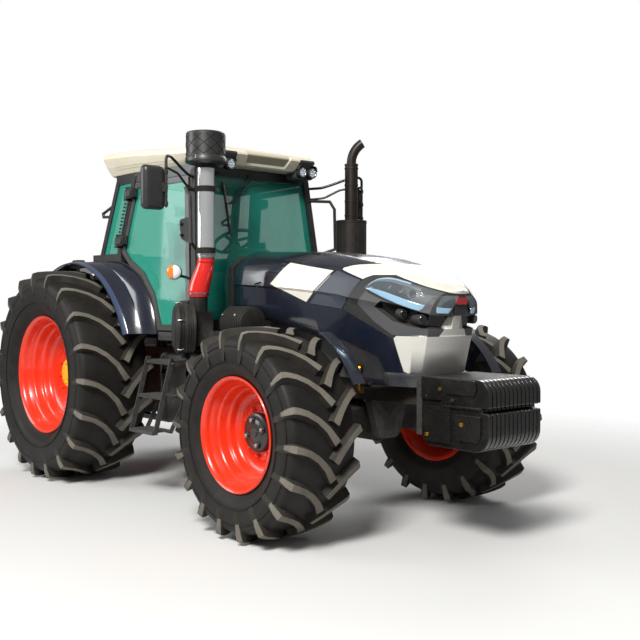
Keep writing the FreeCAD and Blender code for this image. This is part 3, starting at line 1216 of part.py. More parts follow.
def drawbar():
    x0 = DRAWBAR_END_X
    bar = box(x0, 300, -DRAWBAR_HALF, DRAWBAR_HALF, DRAWBAR_Z, DRAWBAR_Z + DRAWBAR_H)
    hanger = fuse([box(TRANS_REAR_X + 60, TRANS_REAR_X + 120, -120, 120, DRAWBAR_Z + DRAWBAR_H, TRANS_Z0 - 40),
                   box(220, 300, -120, 120, DRAWBAR_Z + DRAWBAR_H, TRANS_Z0 - 40)])
    return fuse([bar, hanger]).cut(rod((x0 + 60, 0, DRAWBAR_Z - 1), (x0 + 60, 0, DRAWBAR_Z + DRAWBAR_H + 1), DRAWBAR_PIN_R))


def pto_shaft():
    """Stub behind the rear housing, on a thinner neck that turns in it."""
    return fuse([rod((TRANS_REAR_X - PTO_OUT, 0, PTO_Z), (TRANS_REAR_X - 2, 0, PTO_Z), PTO_R),
                 rod((TRANS_REAR_X - 3, 0, PTO_Z), (TRANS_REAR_X + PTO_SEAT, 0, PTO_Z), PTO_NECK_R)])


def build():
    nodes = wheels()
    for side, turn in (("left", lambda s: s), ("right", mirrored)):
        nodes["rear_hub_" + side] = fuse([nodes["rear_hub_" + side], turn(rear_shaft())])
        nodes["knuckle_" + side] = turn(knuckle())
        nodes["wing_" + side] = turn(wing())
        nodes["door_" + side] = turn(door())
        nodes["door_glass_" + side] = turn(door_glass())
    pto_bore = rod((TRANS_REAR_X - 1, 0, PTO_Z), (TRANS_REAR_X + PTO_SEAT + 1, 0, PTO_Z), PTO_NECK_R + FIT)
    frame = cab_frame()
    nodes.update(hood())
    nodes.update({
        "front_axle": front_axle(),
        "rear_axle": rear_axle(),
        "front_frame": front_frame(),
        "front_weights": weights(),
        "engine": engine(),
        "radiator": radiator(),
        "transmission": transmission().cut(pto_bore),
        "cab_frame": frame,
        "cab_roof": cab_roof(),
        "cab_floor": cab_floor(),
        "windscreen": windscreen(),
        "rear_glass": rear_glass(),
        "fenders": both(fender()),
        "seat": seat(),
        "console": console(),
        "steering_wheel": steering_wheel(),
        "intake_stack": intake_stack(),
        "intake_hose": intake_hose(),
        "air_cleaner": air_cleaner(),
        "exhaust": exhaust(),
        "fuel_tank": tank(1),
        "battery_box": tank(-1),
        "steps": steps(),
        "mirrors": mirrors().cut(frame),
        "handrails": handrails().cut(frame),
        "work_lamps": work_lamps(),
        "signal_lamps": signal_lamps().cut(frame),
        "lower_links": lower_links(),
        "hitch_frame": Part.makeCompound(hitch_frame()),
        "lift_arms": lift_arms(),
        "lift_rods": lift_rods(),
        "top_link": top_link(),
        "drawbar": drawbar(),
        "pto_shaft": pto_shaft(),
    })
    return nodes


def main():
    os.makedirs("parts", exist_ok=True)
    for name, shape in sorted(build().items()):
        shape.translate(vec(-ORIGIN_X, 0, 0))
        shape.exportStep("parts/" + name + ".step")
        print(name, len(shape.Solids), shape.isValid(), [round(v) for v in (
            shape.BoundBox.XMin, shape.BoundBox.XMax, shape.BoundBox.YMin, shape.BoundBox.YMax,
            shape.BoundBox.ZMin, shape.BoundBox.ZMax)])


if __name__ == "__main__":
    main()
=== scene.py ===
import logging
import math
from dataclasses import dataclass, field
from enum import Enum
from typing import Callable, Iterable, Sequence

import bmesh
import bpy
from mathutils import Matrix, Vector


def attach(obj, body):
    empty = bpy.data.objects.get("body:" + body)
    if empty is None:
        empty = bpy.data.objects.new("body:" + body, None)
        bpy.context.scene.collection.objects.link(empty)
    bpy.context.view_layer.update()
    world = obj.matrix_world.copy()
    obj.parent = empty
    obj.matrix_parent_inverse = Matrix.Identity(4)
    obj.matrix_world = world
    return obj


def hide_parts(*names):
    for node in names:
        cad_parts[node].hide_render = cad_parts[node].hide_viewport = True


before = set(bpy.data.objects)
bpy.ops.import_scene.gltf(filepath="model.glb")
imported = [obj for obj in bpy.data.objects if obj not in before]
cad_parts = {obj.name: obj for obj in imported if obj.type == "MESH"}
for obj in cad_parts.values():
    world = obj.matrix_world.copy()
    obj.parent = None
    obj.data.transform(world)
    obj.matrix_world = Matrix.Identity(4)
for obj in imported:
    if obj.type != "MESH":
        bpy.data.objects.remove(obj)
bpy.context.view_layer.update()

LOG = logging.getLogger("tractor")

# The row frame has its origin under the middle of the tractor. Sizes along the tractor
# are written from the rear axle, in metres, and X() moves them into the row frame.
REAR_AXLE_X = -1.520
WHEELBASE = 2.900

# The cab's planes lean. Its side has a half width at the origin, which falls with x and with z.
# The windscreen and the door hinges have an x at the roof line and a lean below it.
CAB_HALF, CAB_TAPER, CAB_LEAN = 0.9373, 0.0819, 0.0816
ROOF_LINE = 2.632
SCREEN_TOP, SCREEN_LEAN = 1.532, 0.1235
HINGE_TOP, HINGE_LEAN = 0.745, 0.227

Point = tuple[float, float, float]
Plan = tuple[float, float]


def X(from_rear_axle: float) -> float:
    """Row-frame x of a place measured forward from the rear axle.

    Args:
        from_rear_axle: Place ahead of the rear axle.

    Returns:
        The place in the frame.
    """
    return REAR_AXLE_X + from_rear_axle


def cab_side(x: float, z: float) -> float:
    """Half width of the cab's leaning side plane at x from the rear axle and height z.

    Args:
        x: Place ahead of the rear axle.
        z: Height.

    Returns:
        Half width there.
    """
    return CAB_HALF - CAB_TAPER * x - CAB_LEAN * z


def screen_x(z: float) -> float:
    """Windscreen plane, from the rear axle.

    Args:
        z: Height.

    Returns:
        Place ahead of the rear axle.
    """
    return SCREEN_TOP + SCREEN_LEAN * (ROOF_LINE - z)


class Side(Enum):
    """Sides of the tractor."""

    LEFT = 1
    RIGHT = -1

    @property
    def word(self) -> str:
        """Lower-case name for piece names."""
        return self.name.lower()

    @property
    def door(self) -> str:
        """CAD body of the door on this side."""
        return "door_%s_body" % self.word


class Axis(Enum):
    """Row-frame axes."""

    X = 0
    Y = 1
    Z = 2


# Shader groups


def socket(tree: bpy.types.NodeTree, name: str, kind: str, output: bool = False,
           value: object = None) -> None:
    """Add one socket to a node group.

    Args:
        tree: The group's tree.
        name: Socket name.
        kind: Short kind, "Float", "Color" or "Vector".
        output: True for an output.
        value: Default value of an input.
    """
    made = tree.interface.new_socket(name=name, in_out="OUTPUT" if output else "INPUT",
                                     socket_type="NodeSocket" + kind)
    if value is not None:
        made.default_value = value


class Nodes:
    """Short way to place and link nodes in one tree."""

    def __init__(self, tree: bpy.types.NodeTree) -> None:
        """Keep the tree.

        Args:
            tree: Node tree under construction.
        """
        self.tree = tree

    def add(self, kind: str, inputs: dict[object, object] | None = None, **facts: object) -> bpy.types.Node:
        """Add a node.

        Args:
            kind: Node type without the ShaderNode prefix.
            inputs: Input name or index to a value or to a socket that is linked.
            **facts: Properties set on the node.

        Returns:
            The new node.
        """
        node = self.tree.nodes.new(kind if kind.startswith("Node") else "ShaderNode" + kind)
        for name, fact in facts.items():
            setattr(node, name, fact)
        for name, value in (inputs or {}).items():
            if isinstance(value, bpy.types.NodeSocket):
                self.tree.links.new(value, node.inputs[name])
            else:
                node.inputs[name].default_value = value
        return node

    def math(self, operation: str, a: object, b: object = 0.0, clamp: bool = False) -> bpy.types.NodeSocket:
        """Output of a Math node.

        Args:
            operation: What the node does.
            a: First value or socket.
            b: Second value or socket.
            clamp: Keep the result from 0 to 1.

        Returns:
            The output socket.
        """
        return self.add("Math", {0: a, 1: b}, operation=operation, use_clamp=clamp).outputs[0]

    def mix(self, factor: object, a: object, b: object) -> bpy.types.NodeSocket:
        """Output of a colour Mix node.

        Args:
            factor: Share of the second colour.
            a: First colour or socket.
            b: Second colour or socket.

        Returns:
            The output socket.
        """
        return self.add("Mix", {"Factor": factor, 6: a, 7: b}, data_type="RGBA").outputs[2]


GroupParts = tuple[bpy.types.NodeTree, Nodes, bpy.types.Node, bpy.types.Node]


def new_group(name: str, inputs: Sequence[tuple[str, str, object]],
              outputs: Sequence[tuple[str, str]]) -> GroupParts:
    """Start a shader group with its sockets.

    Args:
        name: Group name.
        inputs: Name, kind and default of each input.
        outputs: Name and kind of each output.

    Returns:
        The tree, its node helper, the group input node and the group output node.
    """
    tree = bpy.data.node_groups.new(name, "ShaderNodeTree")
    for label, kind, value in inputs:
        socket(tree, label, kind, value=value)
    for label, kind in outputs:
        socket(tree, label, kind, output=True)
    nodes = Nodes(tree)
    return tree, nodes, nodes.add("NodeGroupInput"), nodes.add("NodeGroupOutput")


def object_place(nodes: Nodes) -> bpy.types.NodeSocket:
    """Object coordinates, which stay on a piece as it moves.

    Args:
        nodes: Node tree under construction.

    Returns:
        Socket with the place.
    """
    return nodes.add("TexCoord").outputs["Object"]


def make_dust_group() -> bpy.types.NodeTree:
    """Dry field dust: more on faces that look up, broken by noise. It changes colour and roughness."""
    tree, n, gin, gout = new_group("field dust", [("Color", "Color", (0.1, 0.1, 0.1, 1)),
                                                  ("Dust", "Color", (0.30, 0.25, 0.18, 1)),
                                                  ("Amount", "Float", 0.3), ("Upward", "Float", 0.5),
                                                  ("Scale", "Float", 8.0), ("Roughness", "Float", 0.5)],
                                   [("Color", "Color"), ("Roughness", "Float"), ("Mask", "Float")])
    place = object_place(n)
    coarse = n.add("TexNoise", {"Vector": place, "Scale": gin.outputs["Scale"], "Detail": 6.0,
                                "Roughness": 0.62})
    fine = n.add("TexNoise", {"Vector": place, "Scale": n.math("MULTIPLY", gin.outputs["Scale"], 9.0),
                              "Detail": 3.0})
    up = n.add("SeparateXYZ", {0: n.add("NewGeometry").outputs["Normal"]}).outputs["Z"]
    lift = n.math("MULTIPLY", n.math("MAXIMUM", up, 0.0), gin.outputs["Upward"])
    spread = n.math("ADD", n.math("MULTIPLY", coarse.outputs["Fac"], 0.75),
                    n.math("MULTIPLY", fine.outputs["Fac"], 0.25))
    spread = n.math("SUBTRACT", n.math("MULTIPLY", spread, 2.2), 0.75)
    mask = n.math("MULTIPLY", n.math("ADD", spread, lift), gin.outputs["Amount"], clamp=True)
    n.tree.links.new(n.mix(mask, gin.outputs["Color"], gin.outputs["Dust"]), gout.inputs["Color"])
    rough = n.add("Mix", {"Factor": mask, 2: gin.outputs["Roughness"], 3: 0.92}, data_type="FLOAT").outputs[0]
    n.tree.links.new(rough, gout.inputs["Roughness"])
    n.tree.links.new(mask, gout.inputs["Mask"])
    return tree


def make_wear_group() -> bpy.types.NodeTree:
    """Lighter, rubbed colour along sharp outer edges."""
    tree, n, gin, gout = new_group("rubbed edges",
                                   [("Color", "Color", (0.1, 0.1, 0.1, 1)),
                                    ("Worn", "Color", (0.4, 0.4, 0.4, 1)), ("Amount", "Float", 0.4)],
                                   [("Color", "Color"), ("Mask", "Float")])
    point = n.add("NewGeometry").outputs["Pointiness"]
    noise = n.add("TexNoise", {"Vector": object_place(n), "Scale": 35.0, "Detail": 4.0}).outputs["Fac"]
    edge = n.math("MULTIPLY", n.math("SUBTRACT", point, 0.53), 14.0, clamp=True)
    mask = n.math("MULTIPLY", n.math("MULTIPLY", edge, noise), gin.outputs["Amount"], clamp=True)
    n.tree.links.new(n.mix(mask, gin.outputs["Color"], gin.outputs["Worn"]), gout.inputs["Color"])
    n.tree.links.new(mask, gout.inputs["Mask"])
    return tree


def make_grain_group() -> bpy.types.NodeTree:
    """Height for moulded, cast or sprayed surfaces: fine cells over slow waves."""
    tree, n, gin, gout = new_group("surface grain", [("Scale", "Float", 300.0), ("Coarse", "Float", 0.3)],
                                   [("Height", "Float")])
    place = object_place(n)
    cells = n.add("TexVoronoi", {"Vector": place, "Scale": gin.outputs["Scale"]},
                  feature="SMOOTH_F1").outputs["Distance"]
    waves = n.add("TexNoise", {"Vector": place, "Scale": n.math("MULTIPLY", gin.outputs["Scale"], 0.12),
                               "Detail": 4.0})
    height = n.math("ADD", cells, n.math("MULTIPLY", waves.outputs["Fac"], gin.outputs["Coarse"]))
    n.tree.links.new(height, gout.inputs["Height"])
    return tree


def make_tint_group() -> bpy.types.NodeTree:
    """Slow light and dark drift of one colour over a large piece."""
    tree, n, gin, gout = new_group("colour drift", [("Color", "Color", (0.5, 0.5, 0.5, 1)),
                                                    ("Amount", "Float", 0.15), ("Scale", "Float", 2.0)],
                                   [("Color", "Color")])
    noise = n.add("TexNoise", {"Vector": object_place(n), "Scale": gin.outputs["Scale"],
                               "Detail": 5.0}).outputs["Fac"]
    value = n.math("ADD", 1.0, n.math("MULTIPLY", n.math("SUBTRACT", noise, 0.5), gin.outputs["Amount"]))
    shade = n.add("HueSaturation", {"Color": gin.outputs["Color"], "Value": value})
    n.tree.links.new(shade.outputs["Color"], gout.inputs["Color"])
    return tree


def make_lattice_group() -> bpy.types.NodeTree:
    """Pressed mesh: 1 on the metal and 0 in its small openings, laid over two chosen directions."""
    tree, n, gin, gout = new_group("pressed lattice", [("Pitch", "Float", 0.012), ("Web", "Float", 0.3),
                                                       ("Slant", "Float", 0.0)],
                                   [("Metal", "Float"), ("Height", "Float")])
    parts = n.add("SeparateXYZ", {0: object_place(n)}).outputs
    across = n.math("ADD", parts["X"], n.math("MULTIPLY", parts["Y"], 1.0))
    rise = n.math("ADD", parts["Z"], n.math("MULTIPLY", across, gin.outputs["Slant"]))

    def wave(coordinate: bpy.types.NodeSocket) -> bpy.types.NodeSocket:
        """Absolute saw wave of one coordinate, 0 to 0.5.

        Args:
            coordinate: Socket that the wave runs along.

        Returns:
            The output socket.
        """
        steps = n.math("DIVIDE", coordinate, gin.outputs["Pitch"])
        return n.math("ABSOLUTE", n.math("SUBTRACT", n.math("FRACT", steps), 0.5))

    first = wave(n.math("ADD", across, rise))
    second = wave(n.math("SUBTRACT", across, rise))
    gap = n.math("MULTIPLY", n.math("GREATER_THAN", first, n.math("MULTIPLY", gin.outputs["Web"], 0.5)),
                 n.math("GREATER_THAN", second, n.math("MULTIPLY", gin.outputs["Web"], 0.5)))
    metal = n.math("SUBTRACT", 1.0, gap)
    n.tree.links.new(metal, gout.inputs["Metal"])
    n.tree.links.new(n.math("MINIMUM", first, second), gout.inputs["Height"])
    return tree


def make_weave_group() -> bpy.types.NodeTree:
    """Over-and-under cloth weave, as a height and a thread mask."""
    tree, n, gin, gout = new_group("seat weave", [("Thread", "Float", 0.0016)],
                                   [("Height", "Float"), ("Mask", "Float")])
    parts = n.add("SeparateXYZ", {0: object_place(n)}).outputs
    turn = n.math("DIVIDE", math.pi, gin.outputs["Thread"])
    over = n.math("SINE",
                  n.math("MULTIPLY", n.math("ADD", parts["X"], n.math("MULTIPLY", parts["Z"], 0.9)), turn))
    under = n.math("SINE", n.math("MULTIPLY", parts["Y"], turn))
    height = n.math("MULTIPLY", over, under)
    n.tree.links.new(n.math("ADD", n.math("MULTIPLY", height, 0.5), 0.5), gout.inputs["Height"])
    n.tree.links.new(n.math("GREATER_THAN", height, 0.0), gout.inputs["Mask"])
    return tree


GROUP_MAKERS: dict[str, Callable[[], bpy.types.NodeTree]] = {
    "dust": make_dust_group, "wear": make_wear_group, "grain": make_grain_group,
    "tint": make_tint_group, "lattice": make_lattice_group, "weave": make_weave_group,
}
_GROUPS: dict[str, bpy.types.NodeTree] = {}


def shared_group(name: str) -> bpy.types.NodeTree:
    """The shader group of that name, built on first use.

    Args:
        name: Group name.

    Returns:
        The group, made when it is first asked for.
    """
    if name not in _GROUPS:
        _GROUPS[name] = GROUP_MAKERS[name]()
    return _GROUPS[name]


def srgb(code: str) -> tuple[float, float, float, float]:
    """Linear colour of a six-digit hex code.

    Args:
        code: Six hexadecimal digits.

    Returns:
        The colour as the shaders take it.
    """
    values = [int(code[i:i + 2], 16) / 255 for i in (0, 2, 4)]
    linear = [v / 12.92 if v <= 0.04045 else ((v + 0.055) / 1.055) ** 2.4 for v in values]
    return (linear[0], linear[1], linear[2], 1.0)


def fresh_material(name: str) -> tuple[bpy.types.Material, Nodes]:
    """Start a material with an empty tree.

    Args:
        name: Material name.

    Returns:
        The material and the helper of its tree.
    """
    made = bpy.data.materials.new(name)
    made.use_nodes = True
    made.node_tree.nodes.clear()
    return made, Nodes(made.node_tree)


# Finishes


@dataclass(frozen=True)
class Finish:
    """One surface finish, as values for the shared groups and the Principled shader.

    Attributes:
        name: Material name.
        slot: The record's material slot.
        colour: Hex colour.
        rough: Roughness before dust.
        metal: Metallic.
        coat: Coat weight.
        worn: Hex colour of rubbed edges.
        wear: Share of wear on the edges.
        dust: Amount of dust.
        upward: How much dust keeps to faces that look up.
        dust_colour: Hex colour of the dust.
        grain: Grain scale, 0 for none.
        grain_depth: Bump distance in metres.
        tint: Amount of slow colour drift.
        emission: Strength of own light.
        shine: Specular level.
    """

    name: str
    slot: str
    colour: str
    rough: float = 0.4
    metal: float = 0.0
    coat: float = 0.0
    worn: str = "8a8a88"
    wear: float = 0.25
    dust: float = 0.12
    upward: float = 0.6
    dust_colour: str = "8f8268"
    grain: float = 0.0
    grain_depth: float = 0.0006
    tint: float = 0.12
    emission: float = 0.0
    shine: float = 0.5

    def surface(self, nodes: Nodes) -> dict[str, bpy.types.NodeSocket]:
        """Colour, roughness and bump sockets shared by all finishes.

        Args:
            nodes: Helper of the material's tree.

        Returns:
            Sockets keyed by the Principled input that they feed.
        """
        tint = nodes.add("Group", {"Color": srgb(self.colour), "Amount": self.tint},
                         node_tree=shared_group("tint"))
        wear = nodes.add("Group", {"Color": tint.outputs["Color"], "Worn": srgb(self.worn),
                                   "Amount": self.wear}, node_tree=shared_group("wear"))
        dust = nodes.add("Group", {"Color": wear.outputs["Color"], "Dust": srgb(self.dust_colour),
                                   "Amount": self.dust, "Upward": self.upward, "Roughness": self.rough},
                         node_tree=shared_group("dust"))
        made = {"Base Color": dust.outputs["Color"], "Roughness": dust.outputs["Roughness"]}
        if self.grain:
            grain = nodes.add("Group", {"Scale": self.grain}, node_tree=shared_group("grain"))
            bump = nodes.add("Bump", {"Strength": 0.6, "Distance": self.grain_depth,
                                      "Height": grain.outputs["Height"]})
            made["Normal"] = bump.outputs["Normal"]
        return made

    def material(self) -> bpy.types.Material:
        """The finished material, built on first use."""
        found = bpy.data.materials.get(self.name)
        if found:
            return found
        made, nodes = fresh_material(self.name)
        shader = nodes.add("BsdfPrincipled", {"Metallic": self.metal, "Coat Weight": self.coat,
                                              "Coat Roughness": 0.06, "Specular IOR Level": self.shine})
        for name, feed in self.surface(nodes).items():
            made.node_tree.links.new(feed, shader.inputs[name])
        if self.emission:
            shader.inputs["Emission Color"].default_value = srgb(self.colour)
            shader.inputs["Emission Strength"].default_value = self.emission
        self.dress(nodes, shader)
        out = nodes.add("OutputMaterial")
        made.node_tree.links.new(shader.outputs[0], out.inputs["Surface"])
        made.diffuse_color = srgb(self.colour)
        return made

    def dress(self, nodes: Nodes, shader: bpy.types.Node) -> None:
        """Hook for finishes that add their own nodes.

        Args:
            nodes: Helper of the material's tree.
            shader: The Principled node.
        """


@dataclass(frozen=True)
class TyreRubber(Finish):
    """Rubber with dry soil pressed into the flanks and lug faces."""

    def dress(self, nodes: Nodes, shader: bpy.types.Node) -> None:
        """Lay a fine noise bump over the rubber.

        Args:
            nodes: Helper of the material's tree.
            shader: The Principled node.
        """
        noise = nodes.add("TexNoise", {"Vector": object_place(nodes), "Scale": 90.0, "Detail": 5.0,
                                       "Roughness": 0.7})
        bump = nodes.add("Bump", {"Strength": 0.5, "Distance": 0.0012, "Height": noise.outputs["Fac"]})
        nodes.tree.links.new(bump.outputs["Normal"], shader.inputs["Normal"])


@dataclass(frozen=True)
class PressedMesh(Finish):
    """Sheet pressed into a fine lattice with dark openings."""

    pitch: float = 0.012
    web: float = 0.3
    hole: str = "0b0b0c"

    def dress(self, nodes: Nodes, shader: bpy.types.Node) -> None:
        """Darken the openings and round the webs.

        Args:
            nodes: Helper of the material's tree.
            shader: The Principled node.
        """
        lattice = nodes.add("Group", {"Pitch": self.pitch, "Web": self.web},
                            node_tree=shared_group("lattice"))
        colour = shader.inputs["Base Color"].links[0].from_socket
        mixed = nodes.mix(lattice.outputs["Metal"], srgb(self.hole), colour)
        nodes.tree.links.new(mixed, shader.inputs["Base Color"])
        bump = nodes.add("Bump", {"Strength": 1.0, "Distance": 0.002, "Height": lattice.outputs["Metal"]})
        nodes.tree.links.new(bump.outputs["Normal"], shader.inputs["Normal"])


@dataclass(frozen=True)
class WovenCloth(Finish):
    """Seat cloth with a visible weave."""

    def dress(self, nodes: Nodes, shader: bpy.types.Node) -> None:
        """Lay the weave over the colour and the bump.

        Args:
            nodes: Helper of the material's tree.
            shader: The Principled node.
        """
        weave = nodes.add("Group", {"Thread": 0.0034}, node_tree=shared_group("weave"))
        colour = shader.inputs["Base Color"].links[0].from_socket
        thread = nodes.math("MULTIPLY", weave.outputs["Mask"], 0.35)
        nodes.tree.links.new(nodes.mix(thread, colour, srgb("5a5c60")), shader.inputs["Base Color"])
        bump = nodes.add("Bump", {"Strength": 0.6, "Distance": 0.0008, "Height": weave.outputs["Height"]})
        nodes.tree.links.new(bump.outputs["Normal"], shader.inputs["Normal"])
        shader.inputs["Sheen Weight"].default_value = 0.3


@dataclass(frozen=True)
class PaneGlass(Finish):
    """Thin tinted window glass."""

    alpha: float = 0.34

    def material(self) -> bpy.types.Material:
        """The glass material: a clear pane with a faint tint and a clean reflection."""
        found = bpy.data.materials.get(self.name)
        if found:
            return found
        made, nodes = fresh_material(self.name)
        shader = nodes.add("BsdfPrincipled", {"Metallic": 0.0, "IOR": 1.45, "Specular IOR Level": 0.6})
        shader.inputs["Transmission Weight"].default_value = 0.0
        surface = self.surface(nodes)
        made.node_tree.links.new(surface["Base Color"], shader.inputs["Base Color"])
        made.node_tree.links.new(surface["Roughness"], shader.inputs["Roughness"])
        dust = nodes.add("Group", {"Amount": 0.5, "Upward": 0.2, "Scale": 3.0},
                         node_tree=shared_group("dust"))
        cover = nodes.math("ADD", self.alpha, nodes.math("MULTIPLY", dust.outputs["Mask"], 0.08), clamp=True)
        made.node_tree.links.new(cover, shader.inputs["Alpha"])
        out = nodes.add("OutputMaterial")
        made.node_tree.links.new(shader.outputs[0], out.inputs["Surface"])
        made.diffuse_color = srgb(self.colour)
        return made


# Meshes


def smooth_line(points: Sequence[Point], steps: int = 6) -> list[Vector]:
    """A smooth line through the points.

    Args:
        points: Points that the line passes through.
        steps: Pieces between two points.

    Returns:
        Points along the line, ends included.
    """
    ends = [Vector(p) for p in points]
    if len(ends) < 3:
        return ends
    full = [ends[0] * 2 - ends[1]] + ends + [ends[-1] * 2 - ends[-2]]
    line = []
    for a, b, c, d in zip(full, full[1:], full[2:], full[3:]):
        for k in range(steps):
            t = k / steps
            line.append(0.5 * (2 * b + (c - a) * t + (2 * a - 5 * b + 4 * c - d) * t * t
                               + (3 * b - a - 3 * c + d) * t ** 3))
    return line + [ends[-1]]


def rounded_line(points: Sequence[Point], radius: float, steps: int = 4) -> list[Vector]:
    """Straight runs with their corners rounded.

    Args:
        points: Corners of the line.
        radius: Distance from a corner at which its bend starts.
        steps: Pieces in each bend.

    Returns:
        Points along the line.
    """
    line = [Vector(points[0])]
    for before, at, after in zip(points, points[1:], points[2:]):
        p, c, q = Vector(before), Vector(at), Vector(after)
        reach = min(radius, (c - p).length * 0.48, (q - c).length * 0.48)
        start, end = c + (p - c).normalized() * reach, c + (q - c).normalized() * reach
        for k in range(steps + 1):
            t = k / steps
            line.append(start * (1 - t) ** 2 + c * 2 * t * (1 - t) + end * t * t)
    return line + [Vector(points[-1])]


def rounded_ring(points: Sequence[Plan], radius: float, steps: int = 4) -> list[Plan]:
    """A closed outline with its corners rounded.

    Args:
        points: Corners.
        radius: Distance from a corner at which its bend starts.
        steps: Pieces in each bend.

    Returns:
        Points round the outline.
    """
    ring = []
    count = len(points)
    for k in range(count):
        p, c, q = (Vector((*points[(k + d) % count], 0.0)) for d in (-1, 0, 1))
        reach = min(radius, (c - p).length * 0.48, (q - c).length * 0.48)
        start, end = c + (p - c).normalized() * reach, c + (q - c).normalized() * reach
        for j in range(steps + 1):
            t = j / steps
            v = start * (1 - t) ** 2 + c * 2 * t * (1 - t) + end * t * t
            ring.append((v.x, v.y))
    return ring


class Form:
    """A mesh under construction: points, faces and a finish for each face."""

    def __init__(self) -> None:
        """Start empty."""
        self.points: list[Vector] = []
        self.faces: list[tuple[int, ...]] = []
        self.finish: list[Finish] = []
        self.smooth: list[bool] = []

    def add(self, points: Iterable[Sequence[float]], faces: Iterable[Sequence[int]], finish: Finish,
            smooth: bool = False) -> "Form":
        """Add points and faces numbered from zero.

        Args:
            points: New points.
            faces: New faces.
            finish: Their finish.
            smooth: Shade them smooth.

        Returns:
            The form itself.
        """
        base = len(self.points)
        self.points.extend(Vector(p) for p in points)
        for face in faces:
            self.faces.append(tuple(base + i for i in face))
            self.finish.append(finish)
            self.smooth.append(smooth)
        return self

    def grid(self, rows: Sequence[Sequence[Sequence[float]]], finish: Finish, closed: bool = False,
             caps: bool = False, smooth: bool = True) -> "Form":
        """Add a sheet through rows of points.

        Args:
            rows: Rows with the same number of points.
            finish: Its finish.
            closed: Join each row's end to its start.
            caps: Close the first and last row with a face.
            smooth: Shade it smooth.

        Returns:
            The form itself.
        """
        width = len(rows[0])
        faces: list[tuple[int, ...]] = []
        span = width if closed else width - 1
        for i in range(len(rows) - 1):
            for j in range(span):
                k = (j + 1) % width
                faces.append((i * width + j, i * width + k, (i + 1) * width + k, (i + 1) * width + j))
        self.add([p for row in rows for p in row], faces, finish, smooth)
        if caps:
            base = len(self.points) - len(rows) * width
            for ring in (tuple(reversed(range(width))),
                         tuple((len(rows) - 1) * width + j for j in range(width))):
                self.faces.append(tuple(base + i for i in ring))
                self.finish.append(finish)
                self.smooth.append(False)
        return self

    def box(self, low: Point, high: Point, finish: Finish) -> "Form":
        """Add an upright box between two corners.

        Args:
            low: Lowest corner.
            high: Highest corner.
            finish: Its finish.

        Returns:
            The form itself.
        """
        (x0, y0, z0), (x1, y1, z1) = low, high
        points = [(x, y, z) for z in (z0, z1) for x, y in ((x0, y0), (x1, y0), (x1, y1), (x0, y1))]
        return self.add(points, [(0, 3, 2, 1), (4, 5, 6, 7), (0, 1, 5, 4), (1, 2, 6, 5), (2, 3, 7, 6),
                                 (3, 0, 4, 7)], finish)

    def prism(self, outline: Sequence[Plan], low: float, high: float, axis: Axis, finish: Finish) -> "Form":
        """Add a plate: an outline in the two other axes, in X, Y, Z order, carried along one axis.

        Args:
            outline: Corners of the outline.
            low: Start along the axis.
            high: End along the axis.
            axis: Direction of the thickness.
            finish: Its finish.

        Returns:
            The form itself.
        """
        place = {Axis.X: lambda p, d: (d, p[0], p[1]), Axis.Y: lambda p, d: (p[0], d, p[1]),
                 Axis.Z: lambda p, d: (p[0], p[1], d)}[axis]
        rows = [[place(p, d) for p in outline] for d in (low, high)]
        return self.grid(rows, finish, closed=True, caps=True, smooth=False)

    def rod(self, start: Sequence[float], end: Sequence[float], radius: float, finish: Finish,
            sides: int = 24, taper: float = 1.0, edge: float = 0.0) -> "Form":
        """Add a round bar.

        Args:
            start: Centre of one end.
            end: Centre of the other.
            radius: Radius at the start.
            finish: Its finish.
            sides: Facets round it.
            taper: End radius over start radius.
            edge: Chamfer at both ends.

        Returns:
            The form itself.
        """
        a, b = Vector(start), Vector(end)
        run = (b - a).normalized()
        u = run.orthogonal().normalized()
        v = run.cross(u)
        length = (b - a).length
        stations = [(0.0, radius), (length, radius * taper)]
        if edge:
            stations = [(0.0, radius - edge), (edge, radius), (length - edge, radius * taper),
                        (length, radius * taper - edge)]
        rows = []
        for d, r in stations:
            rows.append([a + run * d + (u * math.cos(t) + v * math.sin(t)) * r
                         for t in (2 * math.pi * k / sides for k in range(sides))])
        return self.grid(rows, finish, closed=True, caps=True)

    def tube(self, line: Sequence[Sequence[float]], radius: float | Sequence[float], finish: Finish,
             sides: int = 16) -> "Form":
        """Add a round tube along a line.

        Args:
            line: Points of the centre line.
            radius: One radius, or one for each point.
            finish: Its finish.
            sides: Facets round it.

        Returns:
            The form itself.
        """
        points = [Vector(p) for p in line]
        radii = [radius] * len(points) if isinstance(radius, (int, float)) else list(radius)
        rows = []
        normal = (points[1] - points[0]).orthogonal().normalized()
        for k, (point, r) in enumerate(zip(points, radii)):
            before, after = points[max(k - 1, 0)], points[min(k + 1, len(points) - 1)]
            run = (after - before).normalized()
            normal = (normal - run * normal.dot(run)).normalized()
            other = run.cross(normal)
            rows.append([point + (normal * math.cos(t) + other * math.sin(t)) * r
                         for t in (2 * math.pi * j / sides for j in range(sides))])
        return self.grid(rows, finish, closed=True, caps=True)

    def turned(self, profile: Sequence[Plan], centre: Point, axis: Axis, finish: Finish, sides: int = 64,
               sign: int = 1, smooth: bool = True) -> "Form":
        """Add a profile turned round an axis.

        Args:
            profile: Pairs of place along the axis, times sign, and radius.
            centre: A point on the axis that the places are measured from.
            axis: Axis of the turning.
            finish: Its finish.
            sides: Facets round it.
            sign: Direction of the places along the axis.
            smooth: Shade it smooth.

        Returns:
            The form itself.
        """
        along = Vector((0, 0, 0))
        along[axis.value] = sign
        first, second = [Vector((0, 0, 0)), Vector((0, 0, 0))]
        others = [a for a in (0, 1, 2) if a != axis.value]
        first[others[0]] = 1
        second[others[1]] = 1
        rows = []
        for d, r in profile:
            rows.append([Vector(centre) + along * d + (first * math.cos(t) + second * math.sin(t)) * r
                         for t in (2 * math.pi * k / sides for k in range(sides))])
        return self.grid(rows, finish, closed=True, smooth=smooth)

